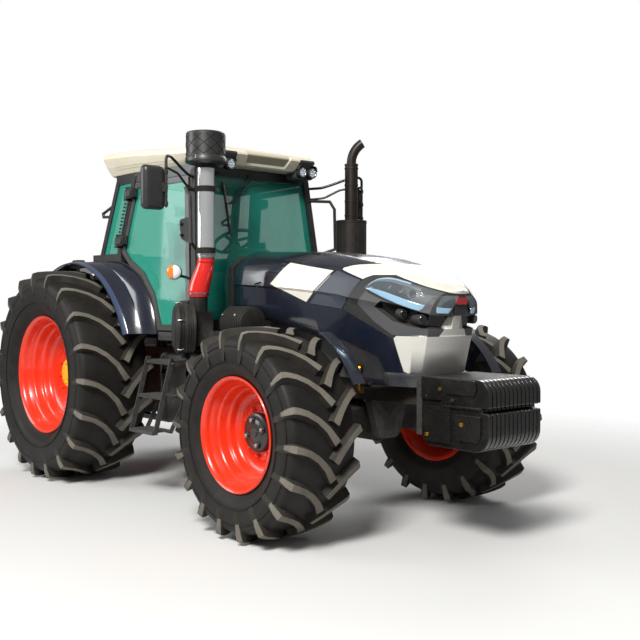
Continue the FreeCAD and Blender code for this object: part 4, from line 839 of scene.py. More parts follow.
    def bolts(self, places: Iterable[Sequence[float]], run: Sequence[float], radius: float, height: float,
              finish: Finish) -> "Form":
        """Add six-sided bolt heads that stand out along a direction.

        Args:
            places: Where the bolts stand.
            run: Direction of the heads.
            radius: Radius of a head.
            height: Height of a head.
            finish: Their finish.

        Returns:
            The form itself.
        """
        way = Vector(run).normalized()
        for place in places:
            start = Vector(place)
            self.rod(start - way * 0.002, start + way * height * 0.35, radius * 1.35, finish, sides=16)
            self.rod(start, start + way * height, radius, finish, sides=6, edge=radius * 0.15)
        return self

    def moved(self, change: Matrix) -> "Form":
        """Move every point by a matrix.

        Args:
            change: The matrix.

        Returns:
            The form itself.
        """
        self.points = [change @ p for p in self.points]
        return self

    def merge(self, other: "Form", change: Matrix | None = None) -> "Form":
        """Add another form, moved by a matrix.

        Args:
            other: Form whose faces are added.
            change: Matrix for its points, or None.

        Returns:
            The form itself.
        """
        base = len(self.points)
        flip = change is not None and change.determinant() < 0
        self.points.extend((change @ p) if change else p.copy() for p in other.points)
        for face, finish, smooth in zip(other.faces, other.finish, other.smooth):
            order = tuple(reversed(face)) if flip else face
            self.faces.append(tuple(base + i for i in order))
            self.finish.append(finish)
            self.smooth.append(smooth)
        return self

    def mirror(self) -> "Form":
        """Add the form's own mirror image across the middle plane."""
        twin = Form().merge(self)
        return self.merge(twin, Matrix.Scale(-1, 4, (0, 1, 0)))

    def build(self, name: str, body: str, slot: str, bevel: float = 0.0, segments: int = 2,
              angle: float = 40.0, thick: float = 0.0) -> bpy.types.Object:
        """Make the Blender object and ride it on its body.

        Args:
            name: Piece name.
            body: CAD body that it rides on.
            slot: The record's material slot; not used.
            bevel: Bevel width in metres, 0 for none.
            segments: Bevel segments.
            angle: Sharpest angle, in degrees, that is left smooth.
            thick: Sheet thickness, inward.

        Returns:
            The object.
        """
        order: list[Finish] = []
        for finish in self.finish:
            if finish not in order:
                order.append(finish)
        made = mesh_object(name, self.points, self.faces, *(finish.material() for finish in order))
        mesh = made.data
        mesh.polygons.foreach_set("material_index", [order.index(f) for f in self.finish])
        mesh.polygons.foreach_set("use_smooth", [True] * len(self.faces))
        mesh.validate()
        tidy = bmesh.new()
        tidy.from_mesh(mesh)
        bmesh.ops.remove_doubles(tidy, verts=tidy.verts, dist=1e-6)
        bmesh.ops.recalc_face_normals(tidy, faces=tidy.faces)
        tidy.to_mesh(mesh)
        tidy.free()
        if thick:
            sheet = made.modifiers.new("sheet", "SOLIDIFY")
            sheet.thickness, sheet.offset = thick, -1.0
        soften(made, bevel, segments, angle)
        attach(made, body)
        LOG.info("%s: %d points on %s", name, len(mesh.vertices), body)
        return made


def fine(width: float) -> float:
    """Width of a bevel, given back unchanged.

    Args:
        width: Bevel width in metres.
    """
    return width


def mesh_object(name: str, points: Iterable[Point], faces: Sequence[tuple[int, ...]],
                *paints: bpy.types.Material) -> bpy.types.Object:
    """Make a mesh object and put it in the scene.

    Args:
        name: Name of the object and its mesh.
        points: Its points.
        faces: Point numbers of each face.
        paints: Materials of its slots.

    Returns:
        The object.
    """
    mesh = bpy.data.meshes.new(name)
    mesh.from_pydata([tuple(p) for p in points], [], faces)
    for paint in paints:
        mesh.materials.append(paint)
    made = bpy.data.objects.new(name, mesh)
    bpy.context.scene.collection.objects.link(made)
    return made


def soften(target: bpy.types.Object, bevel: float, segments: int = 2, angle: float = 40.0) -> None:
    """Round the edges and shade by angle.

    Args:
        target: Mesh object.
        bevel: Bevel width in metres, 0 for none.
        segments: Bevel segments.
        angle: Angle in degrees above which an edge is rounded, or left sharp.
    """
    if bevel:
        edge = target.modifiers.new("edges", "BEVEL")
        edge.width, edge.segments, edge.limit_method = bevel, segments, "ANGLE"
        edge.angle_limit, edge.harden_normals, edge.use_clamp_overlap = math.radians(angle), True, True
    for polygon in target.data.polygons:
        polygon.use_smooth = True
    target.data.set_sharp_from_angle(angle=math.radians(angle))


def dress_node(node: str, finish: Finish, bevel: float = 0.0, segments: int = 2, angle: float = 40.0) -> None:
    """Give a carried-over CAD node its finish and soft edges.

    Args:
        node: CAD node.
        finish: Its finish.
        bevel: Bevel width in metres.
        segments: Bevel segments.
        angle: Angle limit in degrees.
    """
    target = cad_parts[node]
    target.data.materials.clear()
    target.data.materials.append(finish.material())
    for polygon in target.data.polygons:
        polygon.material_index = 0
    soften(target, bevel, segments, angle)
    LOG.info("%s: CAD node, %s", node, finish.name)


def outline_planes(region: Sequence[Plan], plane: Axis, width: float) -> list[tuple[Vector, Vector]]:
    """Cutting planes of a convex outline.

    Args:
        region: Corners in the two axes beside plane, in X, Y, Z order.
        plane: Axis along which the outline is cut through.
        width: Distance that the planes are moved inward.

    Returns:
        A place on each plane and its outward direction.
    """
    axes = [a for a in (0, 1, 2) if a != plane.value]
    count = len(region)
    inside = Vector((0, 0, 0))
    inside[axes[0]], inside[axes[1]] = (sum(p[k] for p in region) / count for k in (0, 1))
    planes = []
    for k in range(count):
        a, b = region[k], region[(k + 1) % count]
        place = Vector((0, 0, 0))
        normal = Vector((0, 0, 0))
        place[axes[0]], place[axes[1]] = a
        normal[axes[0]], normal[axes[1]] = b[1] - a[1], a[0] - b[0]
        normal.normalize()
        if (inside - place).dot(normal) > 0:
            normal = -normal
        planes.append((place - normal * width, normal))
    return planes


def inlay(target: bpy.types.Object, region: Sequence[Plan], finish: Finish, seam: Finish,
          plane: Axis = Axis.Y, width: float = 0.004, only: Callable[[Vector], bool] | None = None,
          depth: float = 0.0) -> None:
    """Let a panel into a mesh: cut along its outline and give it a finish, with a seam round it.

    Args:
        target: Mesh object, before it has moved.
        region: Convex outline in the two axes beside plane, in X, Y, Z order.
        finish: Finish of the panel.
        seam: Finish of the gap round it.
        plane: Axis along which the outline is cut through.
        width: Width of the gap.
        only: Test on a face's centre that also has to hold.
        depth: How far the panel stands out; the gap becomes its flank.
    """
    work = bmesh.new()
    work.from_mesh(target.data)
    outer, inner = outline_planes(region, plane, 0.0), outline_planes(region, plane, width)
    for place, normal in outer + (inner if width else []):
        near = [f for f in work.faces if all((f.calc_center_median() - p).dot(n) < 0.12 for p, n in outer)]
        parts = set(near) | {e for f in near for e in f.edges} | {v for f in near for v in f.verts}
        bmesh.ops.bisect_plane(work, geom=list(parts), plane_co=place, plane_no=normal, dist=1e-5)

    def within(face: bmesh.types.BMFace, planes: list[tuple[Vector, Vector]]) -> bool:
        """True for a face inside all the planes.

        Args:
            face: Face that is tested.
            planes: Cutting planes with their outward directions.

        Returns:
            True if its middle lies inside.
        """
        middle = face.calc_center_median()
        return all((middle - p).dot(n) < 0 for p, n in planes) and (only is None or only(middle))

    chosen = [f for f in work.faces if within(f, outer)]
    names = [m.name for m in target.data.materials]
    for wanted in (finish, seam):
        if wanted.name not in names:
            target.data.materials.append(wanted.material())
            names.append(wanted.name)
    moving = set()
    work.normal_update()
    for face in chosen:
        middle = within(face, inner)
        face.material_index = names.index(finish.name if middle else seam.name)
        if middle and depth:
            moving.update(face.verts)
    shifts = [(v, v.normal * depth) for v in moving]
    for vertex, shift in shifts:
        vertex.co += shift
    work.to_mesh(target.data)
    work.free()
    if not chosen:
        LOG.warning("%s: no face under %s", target.name, finish.name)


class Paint:
    """The tractor's finishes."""

    NAVY = Finish("bonnet navy", "hood_paint", "111827", 0.20, coat=0.8, dust=0.04, worn="3a4252",
                  wear=0.06, tint=0.05)
    NAVY_SIDE = Finish("bonnet side charcoal", "hood_paint", "1b202a", 0.34, coat=0.3, dust=0.06, tint=0.06)
    BAND = Finish("bonnet band grey", "hood_paint", "363c48", 0.42, dust=0.06, wear=0.1, tint=0.06)
    CREAM = Finish("cream panel paint", "roof_cream", "dedacd", 0.30, coat=0.5, dust=0.05,
                   dust_colour="b8ac92", wear=0.04, tint=0.04)
    ROOF = Finish("roof cream", "roof_cream", "e2dac4", 0.34, coat=0.3, dust=0.10, dust_colour="a89a7e",
                  wear=0.06, tint=0.06)
    # Painted shade: grey that stands in for the roof's cream front facet in shade.
    ROOF_SHADE_GREY = Finish("roof grey panel", "roof_cream", "9a937f", 0.5, dust=0.1, tint=0.06)
    SEAM = Finish("panel gap", "hood_paint", "0a0b0d", 0.8, dust=0.02, wear=0.0, tint=0.0, shine=0.25)
    FENDER = Finish("fender navy black", "black_plastic", "0f1626", 0.18, coat=0.8, dust=0.03,
                    wear=0.05, tint=0.04)
    # Painted highlight: lighter blue for the bright reflection along the fender's rolled lip.
    FENDER_LIP_HIGHLIGHT = Finish("fender lip blue", "black_plastic", "33415f", 0.22, coat=0.8, dust=0.03,
                        wear=0.0, tint=0.04)
    MIRROR_SHELL = Finish("mirror shell grey", "black_plastic", "2a2a2c", 0.36, coat=0.1, dust=0.05,
                          wear=0.0, grain=420, grain_depth=0.0003, shine=0.4)
    BRIGHT_WORN = Finish("worn tread teeth", "black_steel", "6d6c68", 0.4, metal=0.6, dust=0.2, wear=0.1)
    SCREEN = Finish("instrument screen", "black_plastic", "0a1216", 0.08, coat=1.0, dust=0.02,
                    wear=0.0, tint=0.0)
    CAB = Finish("cab black", "cab_black", "101214", 0.34, coat=0.3, dust=0.06, wear=0.15,
                 tint=0.06, shine=0.32)
    SEAL = Finish("rubber seal", "cab_black", "0d0e0f", 0.75, dust=0.12, wear=0.0, shine=0.25)
    PLASTIC = Finish("black plastic", "black_plastic", "131416", 0.5, dust=0.08, grain=420,
                     grain_depth=0.0004, shine=0.32)
    TRIM = Finish("grey cab trim", "black_plastic", "5b5d60", 0.6, dust=0.08, grain=380, grain_depth=0.0004)
    TRIM_DARK = Finish("dark grey pod plastic", "black_plastic", "33363a", 0.5, dust=0.08,
                       wear=0.1, tint=0.06)
    STEEL = Finish("black steel", "black_steel", "121315", 0.38, coat=0.2, dust=0.10, tint=0.1, shine=0.32)
    CAST = Finish("cast black", "cast_black", "141518", 0.5, dust=0.16, grain=160, grain_depth=0.0010,
                  tint=0.14, shine=0.25)
    WEIGHT = Finish("weight gloss black", "cast_black", "0b0c0e", 0.26, coat=0.6, dust=0.05, wear=0.1,
                    grain=90, grain_depth=0.0006, shine=0.32)
    BRIGHT = Finish("bright steel", "bright_steel", "b9bcc0", 0.22, metal=1.0, dust=0.1, wear=0.1)
    CHROME = Finish("chrome tube", "bright_steel", "eceeef", 0.14, metal=0.8, dust=0.06, wear=0.0, tint=0.02)
    ZINC = Finish("zinc bolt", "bright_steel", "a9a7a0", 0.38, metal=1.0, dust=0.18)
    BRASS = Finish("brass bolt", "bright_steel", "d8a63a", 0.30, metal=1.0, dust=0.04)
    # Painted highlight: tan that stands in for the glint along the wiper arm's upper part.
    WIPER_HIGHLIGHT = Finish("tan wiper arm", "black_steel", "a08a5a", 0.5, dust=0.1)
    RIM = Finish("rim orange red", "rim_paint", "e02f10", 0.26, coat=0.35, dust=0.04, worn="8a7a70",
                 wear=0.06, tint=0.05)
    HUB_BLACK = Finish("front hub black", "front_hub_paint", "0d0e10", 0.30, coat=0.4, dust=0.08, grain=140,
                       grain_depth=0.0006)
    HUB_YELLOW = Finish("rear hub yellow", "rear_hub_paint", "eab010", 0.38, coat=0.3, dust=0.10, tint=0.08)
    EXHAUST = Finish("dark bronze exhaust", "exhaust_metal", "221e1b", 0.40, metal=0.5, dust=0.08,
                     wear=0.1, tint=0.3)
    HOSE = Finish("glossy red hose", "hose_red", "d01c14", 0.14, coat=0.8, dust=0.02, tint=0.04, wear=0.0)
    BOWL = Finish("bowl charcoal", "black_plastic", "1d1f22", 0.40, coat=0.1, dust=0.08, wear=0.1)
    LENS = Finish("clear lamp lens", "lamp_lens", "dfe6ea", 0.08, coat=1.0, dust=0.04, wear=0.0, tint=0.02)
    LENS_BLUE = Finish("blue lamp strip", "lamp_lens", "9fc4dd", 0.12, metal=0.3, coat=1.0, dust=0.03,
                       wear=0.0, tint=0.02, emission=0.12)
    REFLECTOR = Finish("lamp reflector", "lamp_lens", "c9ced3", 0.12, metal=1.0, dust=0.02, wear=0.0)
    AMBER = Finish("amber lens", "signal_lens", "e07a14", 0.16, coat=1.0, dust=0.08, wear=0.0, tint=0.04)
    RED_LENS = Finish("red lens", "signal_lens", "a3121a", 0.16, coat=1.0, dust=0.08, wear=0.0, tint=0.04)
    RUBBER = TyreRubber("tyre black", "tyre", "151413", 0.55, dust=0.10, upward=0.2, dust_colour="6c6153",
                        tint=0.1, wear=0.0, shine=0.25)
    RUBBER_LUG = TyreRubber("tyre lug flank", "tyre", "1a1917", 0.6, dust=0.20, upward=0.4,
                            dust_colour="756c60", tint=0.12, wear=0.0, shine=0.25)
    RUBBER_DUSTY = TyreRubber("tyre dusty lug", "tyre", "5d5850", 0.8, dust=0.6, upward=0.1,
                              dust_colour="8b8479", tint=0.15, wear=0.0, shine=0.25)
    CHEEK = Finish("nose cheek charcoal", "hood_paint", "26282c", 0.42, coat=0.1, dust=0.10, wear=0.1,
                   tint=0.08, shine=0.32)
    NOSE_FRAME = Finish("nose frame grey", "hood_paint", "4b4d51", 0.5, dust=0.12, wear=0.1,
                        tint=0.08, shine=0.32)
    # Near-black for the lamp recess, lamp insides, pods and handle pockets; in the bonnet's handle dent it is
    # painted shade.
    RECESS_BLACK_AND_SHADE = Finish("lamp recess black", "hood_paint", "0c0d0f", 0.25, coat=0.4, dust=0.03, wear=0.0,
                    tint=0.0, shine=0.32)
    LAMP_GLASS = PaneGlass("lamp cover glass", "lamp_lens", "cfe0ea", 0.04, dust=0.03, upward=0.1, wear=0.0,
                           tint=0.0, alpha=0.09)
    MESH_WHITE = PressedMesh("off-white mesh", "mesh", "e6e4dc", 0.45, dust=0.04, wear=0.0, pitch=0.009,
                             web=0.55, hole="77766f")
    MESH_DARK = PressedMesh("dark side mesh", "mesh", "2c3037", 0.5, dust=0.14, pitch=0.018, web=0.34)
    SEAT = WovenCloth("seat cloth", "seat_fabric", "2e3034", 0.9, dust=0.08, wear=0.0)
    GLASS = PaneGlass("green tinted glass", "glass", "35a58e", 0.04, dust=0.0, upward=0.0, wear=0.0,
                      tint=0.0, alpha=0.46)
    GLASS_CLEAR = PaneGlass("tinted windscreen glass", "glass", "1f8f7e", 0.04, dust=0.0, upward=0.0,
                            wear=0.0, tint=0.0, alpha=0.42)
    WHEEL = Finish("steering wheel rubber", "wheel_rubber", "131314", 0.6, dust=0.06, grain=300,
                   grain_depth=0.0003)
    MIRROR_GLASS = Finish("mirror glass", "bright_steel", "c6ccd2", 0.04, metal=1.0, dust=0.02,
                          wear=0.0, tint=0.0)


# Wheels


def replace(made: bpy.types.Object, *nodes: str) -> set[str]:
    """Let a piece take the place of CAD nodes.

    Args:
        made: The piece; not used.
        *nodes: Nodes that it replaces.

    Returns:
        The same nodes.
    """
    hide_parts(*nodes)
    return set(nodes)


def between(table: Sequence[Plan], at: float) -> float:
    """Value at a place in a table of pairs, by straight lines.

    Args:
        table: Pairs of place and value, in order.
        at: Place.

    Returns:
        The value there.
    """
    for (a, va), (b, vb) in zip(table, table[1:]):
        if at <= b:
            return va + (vb - va) * (at - a) / (b - a)
    return table[-1][1]


@dataclass(frozen=True)
class TyreShape:
    """Tread and section of one tyre size, in metres.

    Attributes:
        radius: Out to the lug tips.
        half: Half width of the casing.
        rim: Radius of the rim's flange.
        seat: Half width between the flanges.
        lugs: Lugs on each side.
        lug: Lug height at the middle.
        middle: Where the lugs' noses meet, from the wheel's centre plane.
        lead: Distance from the nose line to degrees round the wheel.
    """

    radius: float
    half: float
    rim: float
    seat: float
    lugs: int
    lug: float
    middle: float
    lead: tuple[Plan, ...]

    def section(self) -> list[Plan]:
        """Places and radii from one bead over the tread to the other."""
        base, h, r = self.radius - self.lug, self.half, self.rim
        side = [(h * 0.30, base - 0.001), (h * 0.62, base - 0.007), (h * 0.84, base - 0.020),
                (h * 0.94, base - 0.040), (h * 0.985, base - 0.080), (h, r + (self.radius - r) * 0.50),
                (h * 0.985, r + (self.radius - r) * 0.34), (h * 0.95, r + (self.radius - r) * 0.20),
                (self.seat + 0.014, r + 0.030), (self.seat + 0.003, r + 0.012),
                (self.seat - 0.006, r - 0.004), (self.seat - 0.012, r - 0.022)]
        flank = [(p.x, p.y) for p in smooth_line([(0.0, base, 0.0)] + [(y, q, 0.0) for y, q in side], 3)]
        return [(-y, q) for y, q in reversed(flank[1:])] + flank

    def lug_rows(self, side: int, angle: float) -> list[list[Point]]:
        """Cross sections of one lug, from its nose to its foot on the flank, as (place, radius, degrees).

        Args:
            side: 1 or -1, the side of the centre plane.
            angle: Where the lug starts, in degrees.

        Returns:
            Rows of points.
        """
        base, reach = self.radius - self.lug, self.half - self.middle * side
        # Share of the way out, base drop, base half width, top place, top drop, top half width
        table = [(-0.03, 0.000, 0.040, -0.03, 0.003, 0.026), (0.00, 0.000, 0.042, 0.00, 0.000, 0.027),
                 (0.22, 0.002, 0.038, 0.22, 0.000, 0.022), (0.45, 0.008, 0.036, 0.45, 0.002, 0.020),
                 (0.68, 0.018, 0.038, 0.68, 0.006, 0.020), (0.85, 0.034, 0.040, 0.87, 0.012, 0.021),
                 (0.94, 0.062, 0.040, 0.975, 0.024, 0.023), (0.975, 0.105, 0.040, 1.01, 0.072, 0.022),
                 (0.99, 0.160, 0.034, 1.015, 0.135, 0.014)]
        rows = []
        for share, drop, wide, top_share, top_drop, narrow in table:
            out, top = reach * share, reach * top_share
            lead = between(self.lead, max(out, 0.0))
            slope = (between(self.lead, max(out, 0.0) + 0.02) - lead) / 0.02
            slant = math.atan(math.radians(slope) * self.radius)
            row = []
            for place, radius, offset in ((out, base - drop - 0.012, -wide),
                                          (top, self.radius - top_drop, -narrow),
                                          (top, self.radius - top_drop, narrow),
                                          (out, base - drop - 0.012, wide)):
                along = place - offset * math.sin(slant)
                turn = math.degrees(offset * math.cos(slant) / radius)
                row.append((self.middle + side * along, radius, angle + lead + turn))
            rows.append(row)
        return rows


FRONT_TYRE = TyreShape(0.700, 0.272, 0.381, 0.222, 18, 0.045, 0.040,
                       ((0.0, 0.0), (0.06, 6.5), (0.13, 12.0), (0.20, 15.8), (0.26, 18.0), (0.34, 20.0)))
REAR_TYRE = TyreShape(0.918, 0.328, 0.511, 0.242, 19, 0.052, 0.060,
                      ((0.0, 0.0), (0.07, 6.8), (0.15, 12.0), (0.23, 15.5), (0.30, 17.6), (0.42, 19.5)))


@dataclass
class Wheel:
    """One wheel: tyre with its lugs, rim and hub."""

    front: bool
    side: Side

    @property
    def place(self) -> str:
        """front or rear."""
        return "front" if self.front else "rear"

    @property
    def body(self) -> str:
        """CAD body of the wheel."""
        return "wheel_%s_%s" % (self.place, self.side.word)

    @property
    def centre(self) -> Point:
        """Centre of the wheel."""
        if self.front:
            return (X(WHEELBASE), 0.952 * self.side.value, 0.700)
        return (X(0.0), 0.890 * self.side.value, 0.918)

    def at(self, place: float, radius: float, degrees: float) -> Point:
        """A place on the wheel.

        Args:
            place: Distance outward of the centre plane.
            radius: Distance from the axle.
            degrees: Angle from forward towards up.

        Returns:
            The place in the frame.
        """
        x, y, z = self.centre
        a = math.radians(degrees)
        return (x + radius * math.cos(a), y + place * self.side.value, z + radius * math.sin(a))

    def tyre(self) -> set[str]:
        """Casing and lugs, with the nose line towards the tractor, so the wheels are mirror images."""
        shape = FRONT_TYRE if self.front else REAR_TYRE
        casing = Form()
        casing.turned([(y, r) for y, r in shape.section()], self.centre, Axis.Y, Paint.RUBBER, 120,
                      self.side.value)
        for ring in (0.30, 0.62):
            r = shape.rim + (shape.radius - shape.rim) * ring
            casing.turned([(shape.half * 0.93, r - 0.006), (shape.half * 1.004, r - 0.002),
                           (shape.half * 1.004, r + 0.002), (shape.half * 0.93, r + 0.006)], self.centre,
                          Axis.Y, Paint.RUBBER, 120, self.side.value)
        made = casing.build("%s_tyre_casing_%s" % (self.place, self.side.word), self.body, "tyre", angle=60)
        names = replace(made, "%s_tyre_%s" % (self.place, self.side.word))
        lugs = Form()
        pitch = 360.0 / shape.lugs
        for k in range(shape.lugs):
            for flank, shift in ((1, 0.0), (-1, pitch / 2)):
                rows = [[self.at(-y if shape.middle else y, r, a) for y, r, a in row]
                        for row in shape.lug_rows(-flank, k * pitch + shift)]
                points = [p for row in rows for p in row]
                for i in range(len(rows) - 1):
                    for j in range(3):
                        quad = [i * 4 + j, i * 4 + j + 1, i * 4 + j + 5, i * 4 + j + 4]
                        lugs.add([points[q] for q in quad], [(0, 1, 2, 3)],
                                 Paint.RUBBER_DUSTY if j == 1 else Paint.RUBBER_LUG)
                for end in (0, len(rows) - 1):
                    lugs.add([points[end * 4 + j] for j in range(4)], [(0, 1, 2, 3)], Paint.RUBBER_LUG)
        made = lugs.build("%s_tyre_lugs_%s" % (self.place, self.side.word), self.body, "tyre",
                          fine(0.004), 2, 30)
        return names | replace(made, "%s_tyre_%s" % (self.place, self.side.word))

    def rim(self) -> set[str]:
        """Stepped rim with its rolled flanges, disc, nuts and valve."""
        if self.front:
            outer = [(-0.222, 0.350), (-0.232, 0.366), (-0.236, 0.376), (-0.226, 0.381), (-0.216, 0.364),
                     (-0.20, 0.352), (-0.12, 0.312), (0.12, 0.312), (0.200, 0.354), (0.214, 0.364),
                     (0.224, 0.379), (0.232, 0.381), (0.238, 0.375), (0.234, 0.366), (0.226, 0.356),
                     (0.204, 0.347), (0.156, 0.343), (0.148, 0.338), (0.143, 0.326), (0.134, 0.314),
                     (0.120, 0.309), (0.078, 0.303), (0.070, 0.298), (0.066, 0.289), (0.058, 0.284),
                     (0.030, 0.280), (0.012, 0.272), (0.002, 0.256), (-0.004, 0.225), (-0.002, 0.198),
                     (0.006, 0.188), (0.012, 0.182), (0.013, 0.118)]
            nut_ring, nut_at, count, valve = 0.160, 0.012, 10, 0.30
        else:
            outer = [(-0.242, 0.482), (-0.252, 0.502), (-0.256, 0.513), (-0.246, 0.519), (-0.236, 0.500),
                     (-0.21, 0.484), (-0.13, 0.440), (0.13, 0.440), (0.215, 0.488), (0.234, 0.502),
                     (0.244, 0.517), (0.252, 0.519), (0.258, 0.512), (0.254, 0.501), (0.246, 0.490),
                     (0.222, 0.478), (0.172, 0.471), (0.163, 0.466), (0.157, 0.452), (0.148, 0.440),
                     (0.134, 0.435), (0.086, 0.428), (0.077, 0.422), (0.072, 0.411), (0.062, 0.404),
                     (0.028, 0.399), (0.006, 0.388), (-0.008, 0.366), (-0.016, 0.320), (-0.022, 0.262),
                     (-0.016, 0.236), (-0.008, 0.226), (-0.007, 0.128)]
            nut_ring, nut_at, count, valve = 0.190, -0.008, 10, 0.42
        form = Form()
        form.turned(outer, self.centre, Axis.Y, Paint.RIM, 128, self.side.value)
        out = (0, self.side.value, 0)
        form.bolts([self.at(nut_at, nut_ring, 360 * k / count + 9) for k in range(count)], out, 0.013,
                   0.024, Paint.RIM)
        stem = self.at(0.105 if self.front else 0.12, valve, 66)
        form.tube([stem, self.at(0.15 if self.front else 0.17, valve - 0.015, 66)], 0.006, Paint.BRIGHT, 10)
        form.rod(self.at(0.07, valve + 0.01, 66), stem, 0.014, Paint.RIM, 16)
        made = form.build("%s_rim_shell_%s" % (self.place, self.side.word), self.body, "rim_paint", angle=35)
        return replace(made, "%s_rim_%s" % (self.place, self.side.word))

    def hub(self) -> set[str]:
        """Hub cover with its bolts, in place of the CAD hub."""
        form = Form()
        out = (0, self.side.value, 0)
        if self.front:
            form.turned([(-0.16, 0.150), (-0.015, 0.150), (-0.013, 0.132), (0.020, 0.132), (0.048, 0.130),
                         (0.056, 0.126), (0.060, 0.118), (0.060, 0.088), (0.063, 0.084), (0.068, 0.050),
                         (0.069, 0.0)], self.centre, Axis.Y, Paint.HUB_BLACK, 96, self.side.value)
            for k in range(4):
                spot, end = self.at(0.060, 0.085, 90 * k + 18), self.at(0.076, 0.085, 90 * k + 18)
                form.rod(spot, end, 0.024, Paint.HUB_BLACK, 24, edge=0.003)
                form.rod(end, self.at(0.084, 0.085, 90 * k + 18), 0.014, Paint.ZINC, 20, edge=0.003)
            form.rod(self.at(0.066, 0.0, 0), self.at(0.076, 0.0, 0), 0.030, Paint.HUB_BLACK, 24, edge=0.003)
            slot = "front_hub_paint"
        else:
            form.turned([(-0.30, 0.120), (-0.036, 0.170), (-0.033, 0.128), (0.006, 0.128), (0.018, 0.124),
                         (0.022, 0.114), (0.022, 0.060), (0.030, 0.054), (0.032, 0.0)], self.centre, Axis.Y,
                        Paint.HUB_YELLOW, 96, self.side.value)
            form.bolts([self.at(0.022, 0.090, 36 * k) for k in range(10)], out, 0.009, 0.012,
                       Paint.HUB_YELLOW)
            form.turned([(-0.30, 0.060), (-0.42, 0.060), (-0.42, 0.0)], self.centre, Axis.Y, Paint.CAST, 48,
                        self.side.value)
            slot = "rear_hub_paint"
        made = form.build("%s_hub_cover_%s" % (self.place, self.side.word), self.body, slot, 0.002, 2, 30)
        return replace(made, "%s_hub_%s" % (self.place, self.side.word))

    def build(self) -> set[str]:
        """Make the wheel and return the CAD nodes that it replaces."""
        return self.tyre() | self.rim() | self.hub()


# Bonnet, nose and front weights


SHIFT = Matrix.Translation((REAR_AXLE_X, 0.0, 0.0))


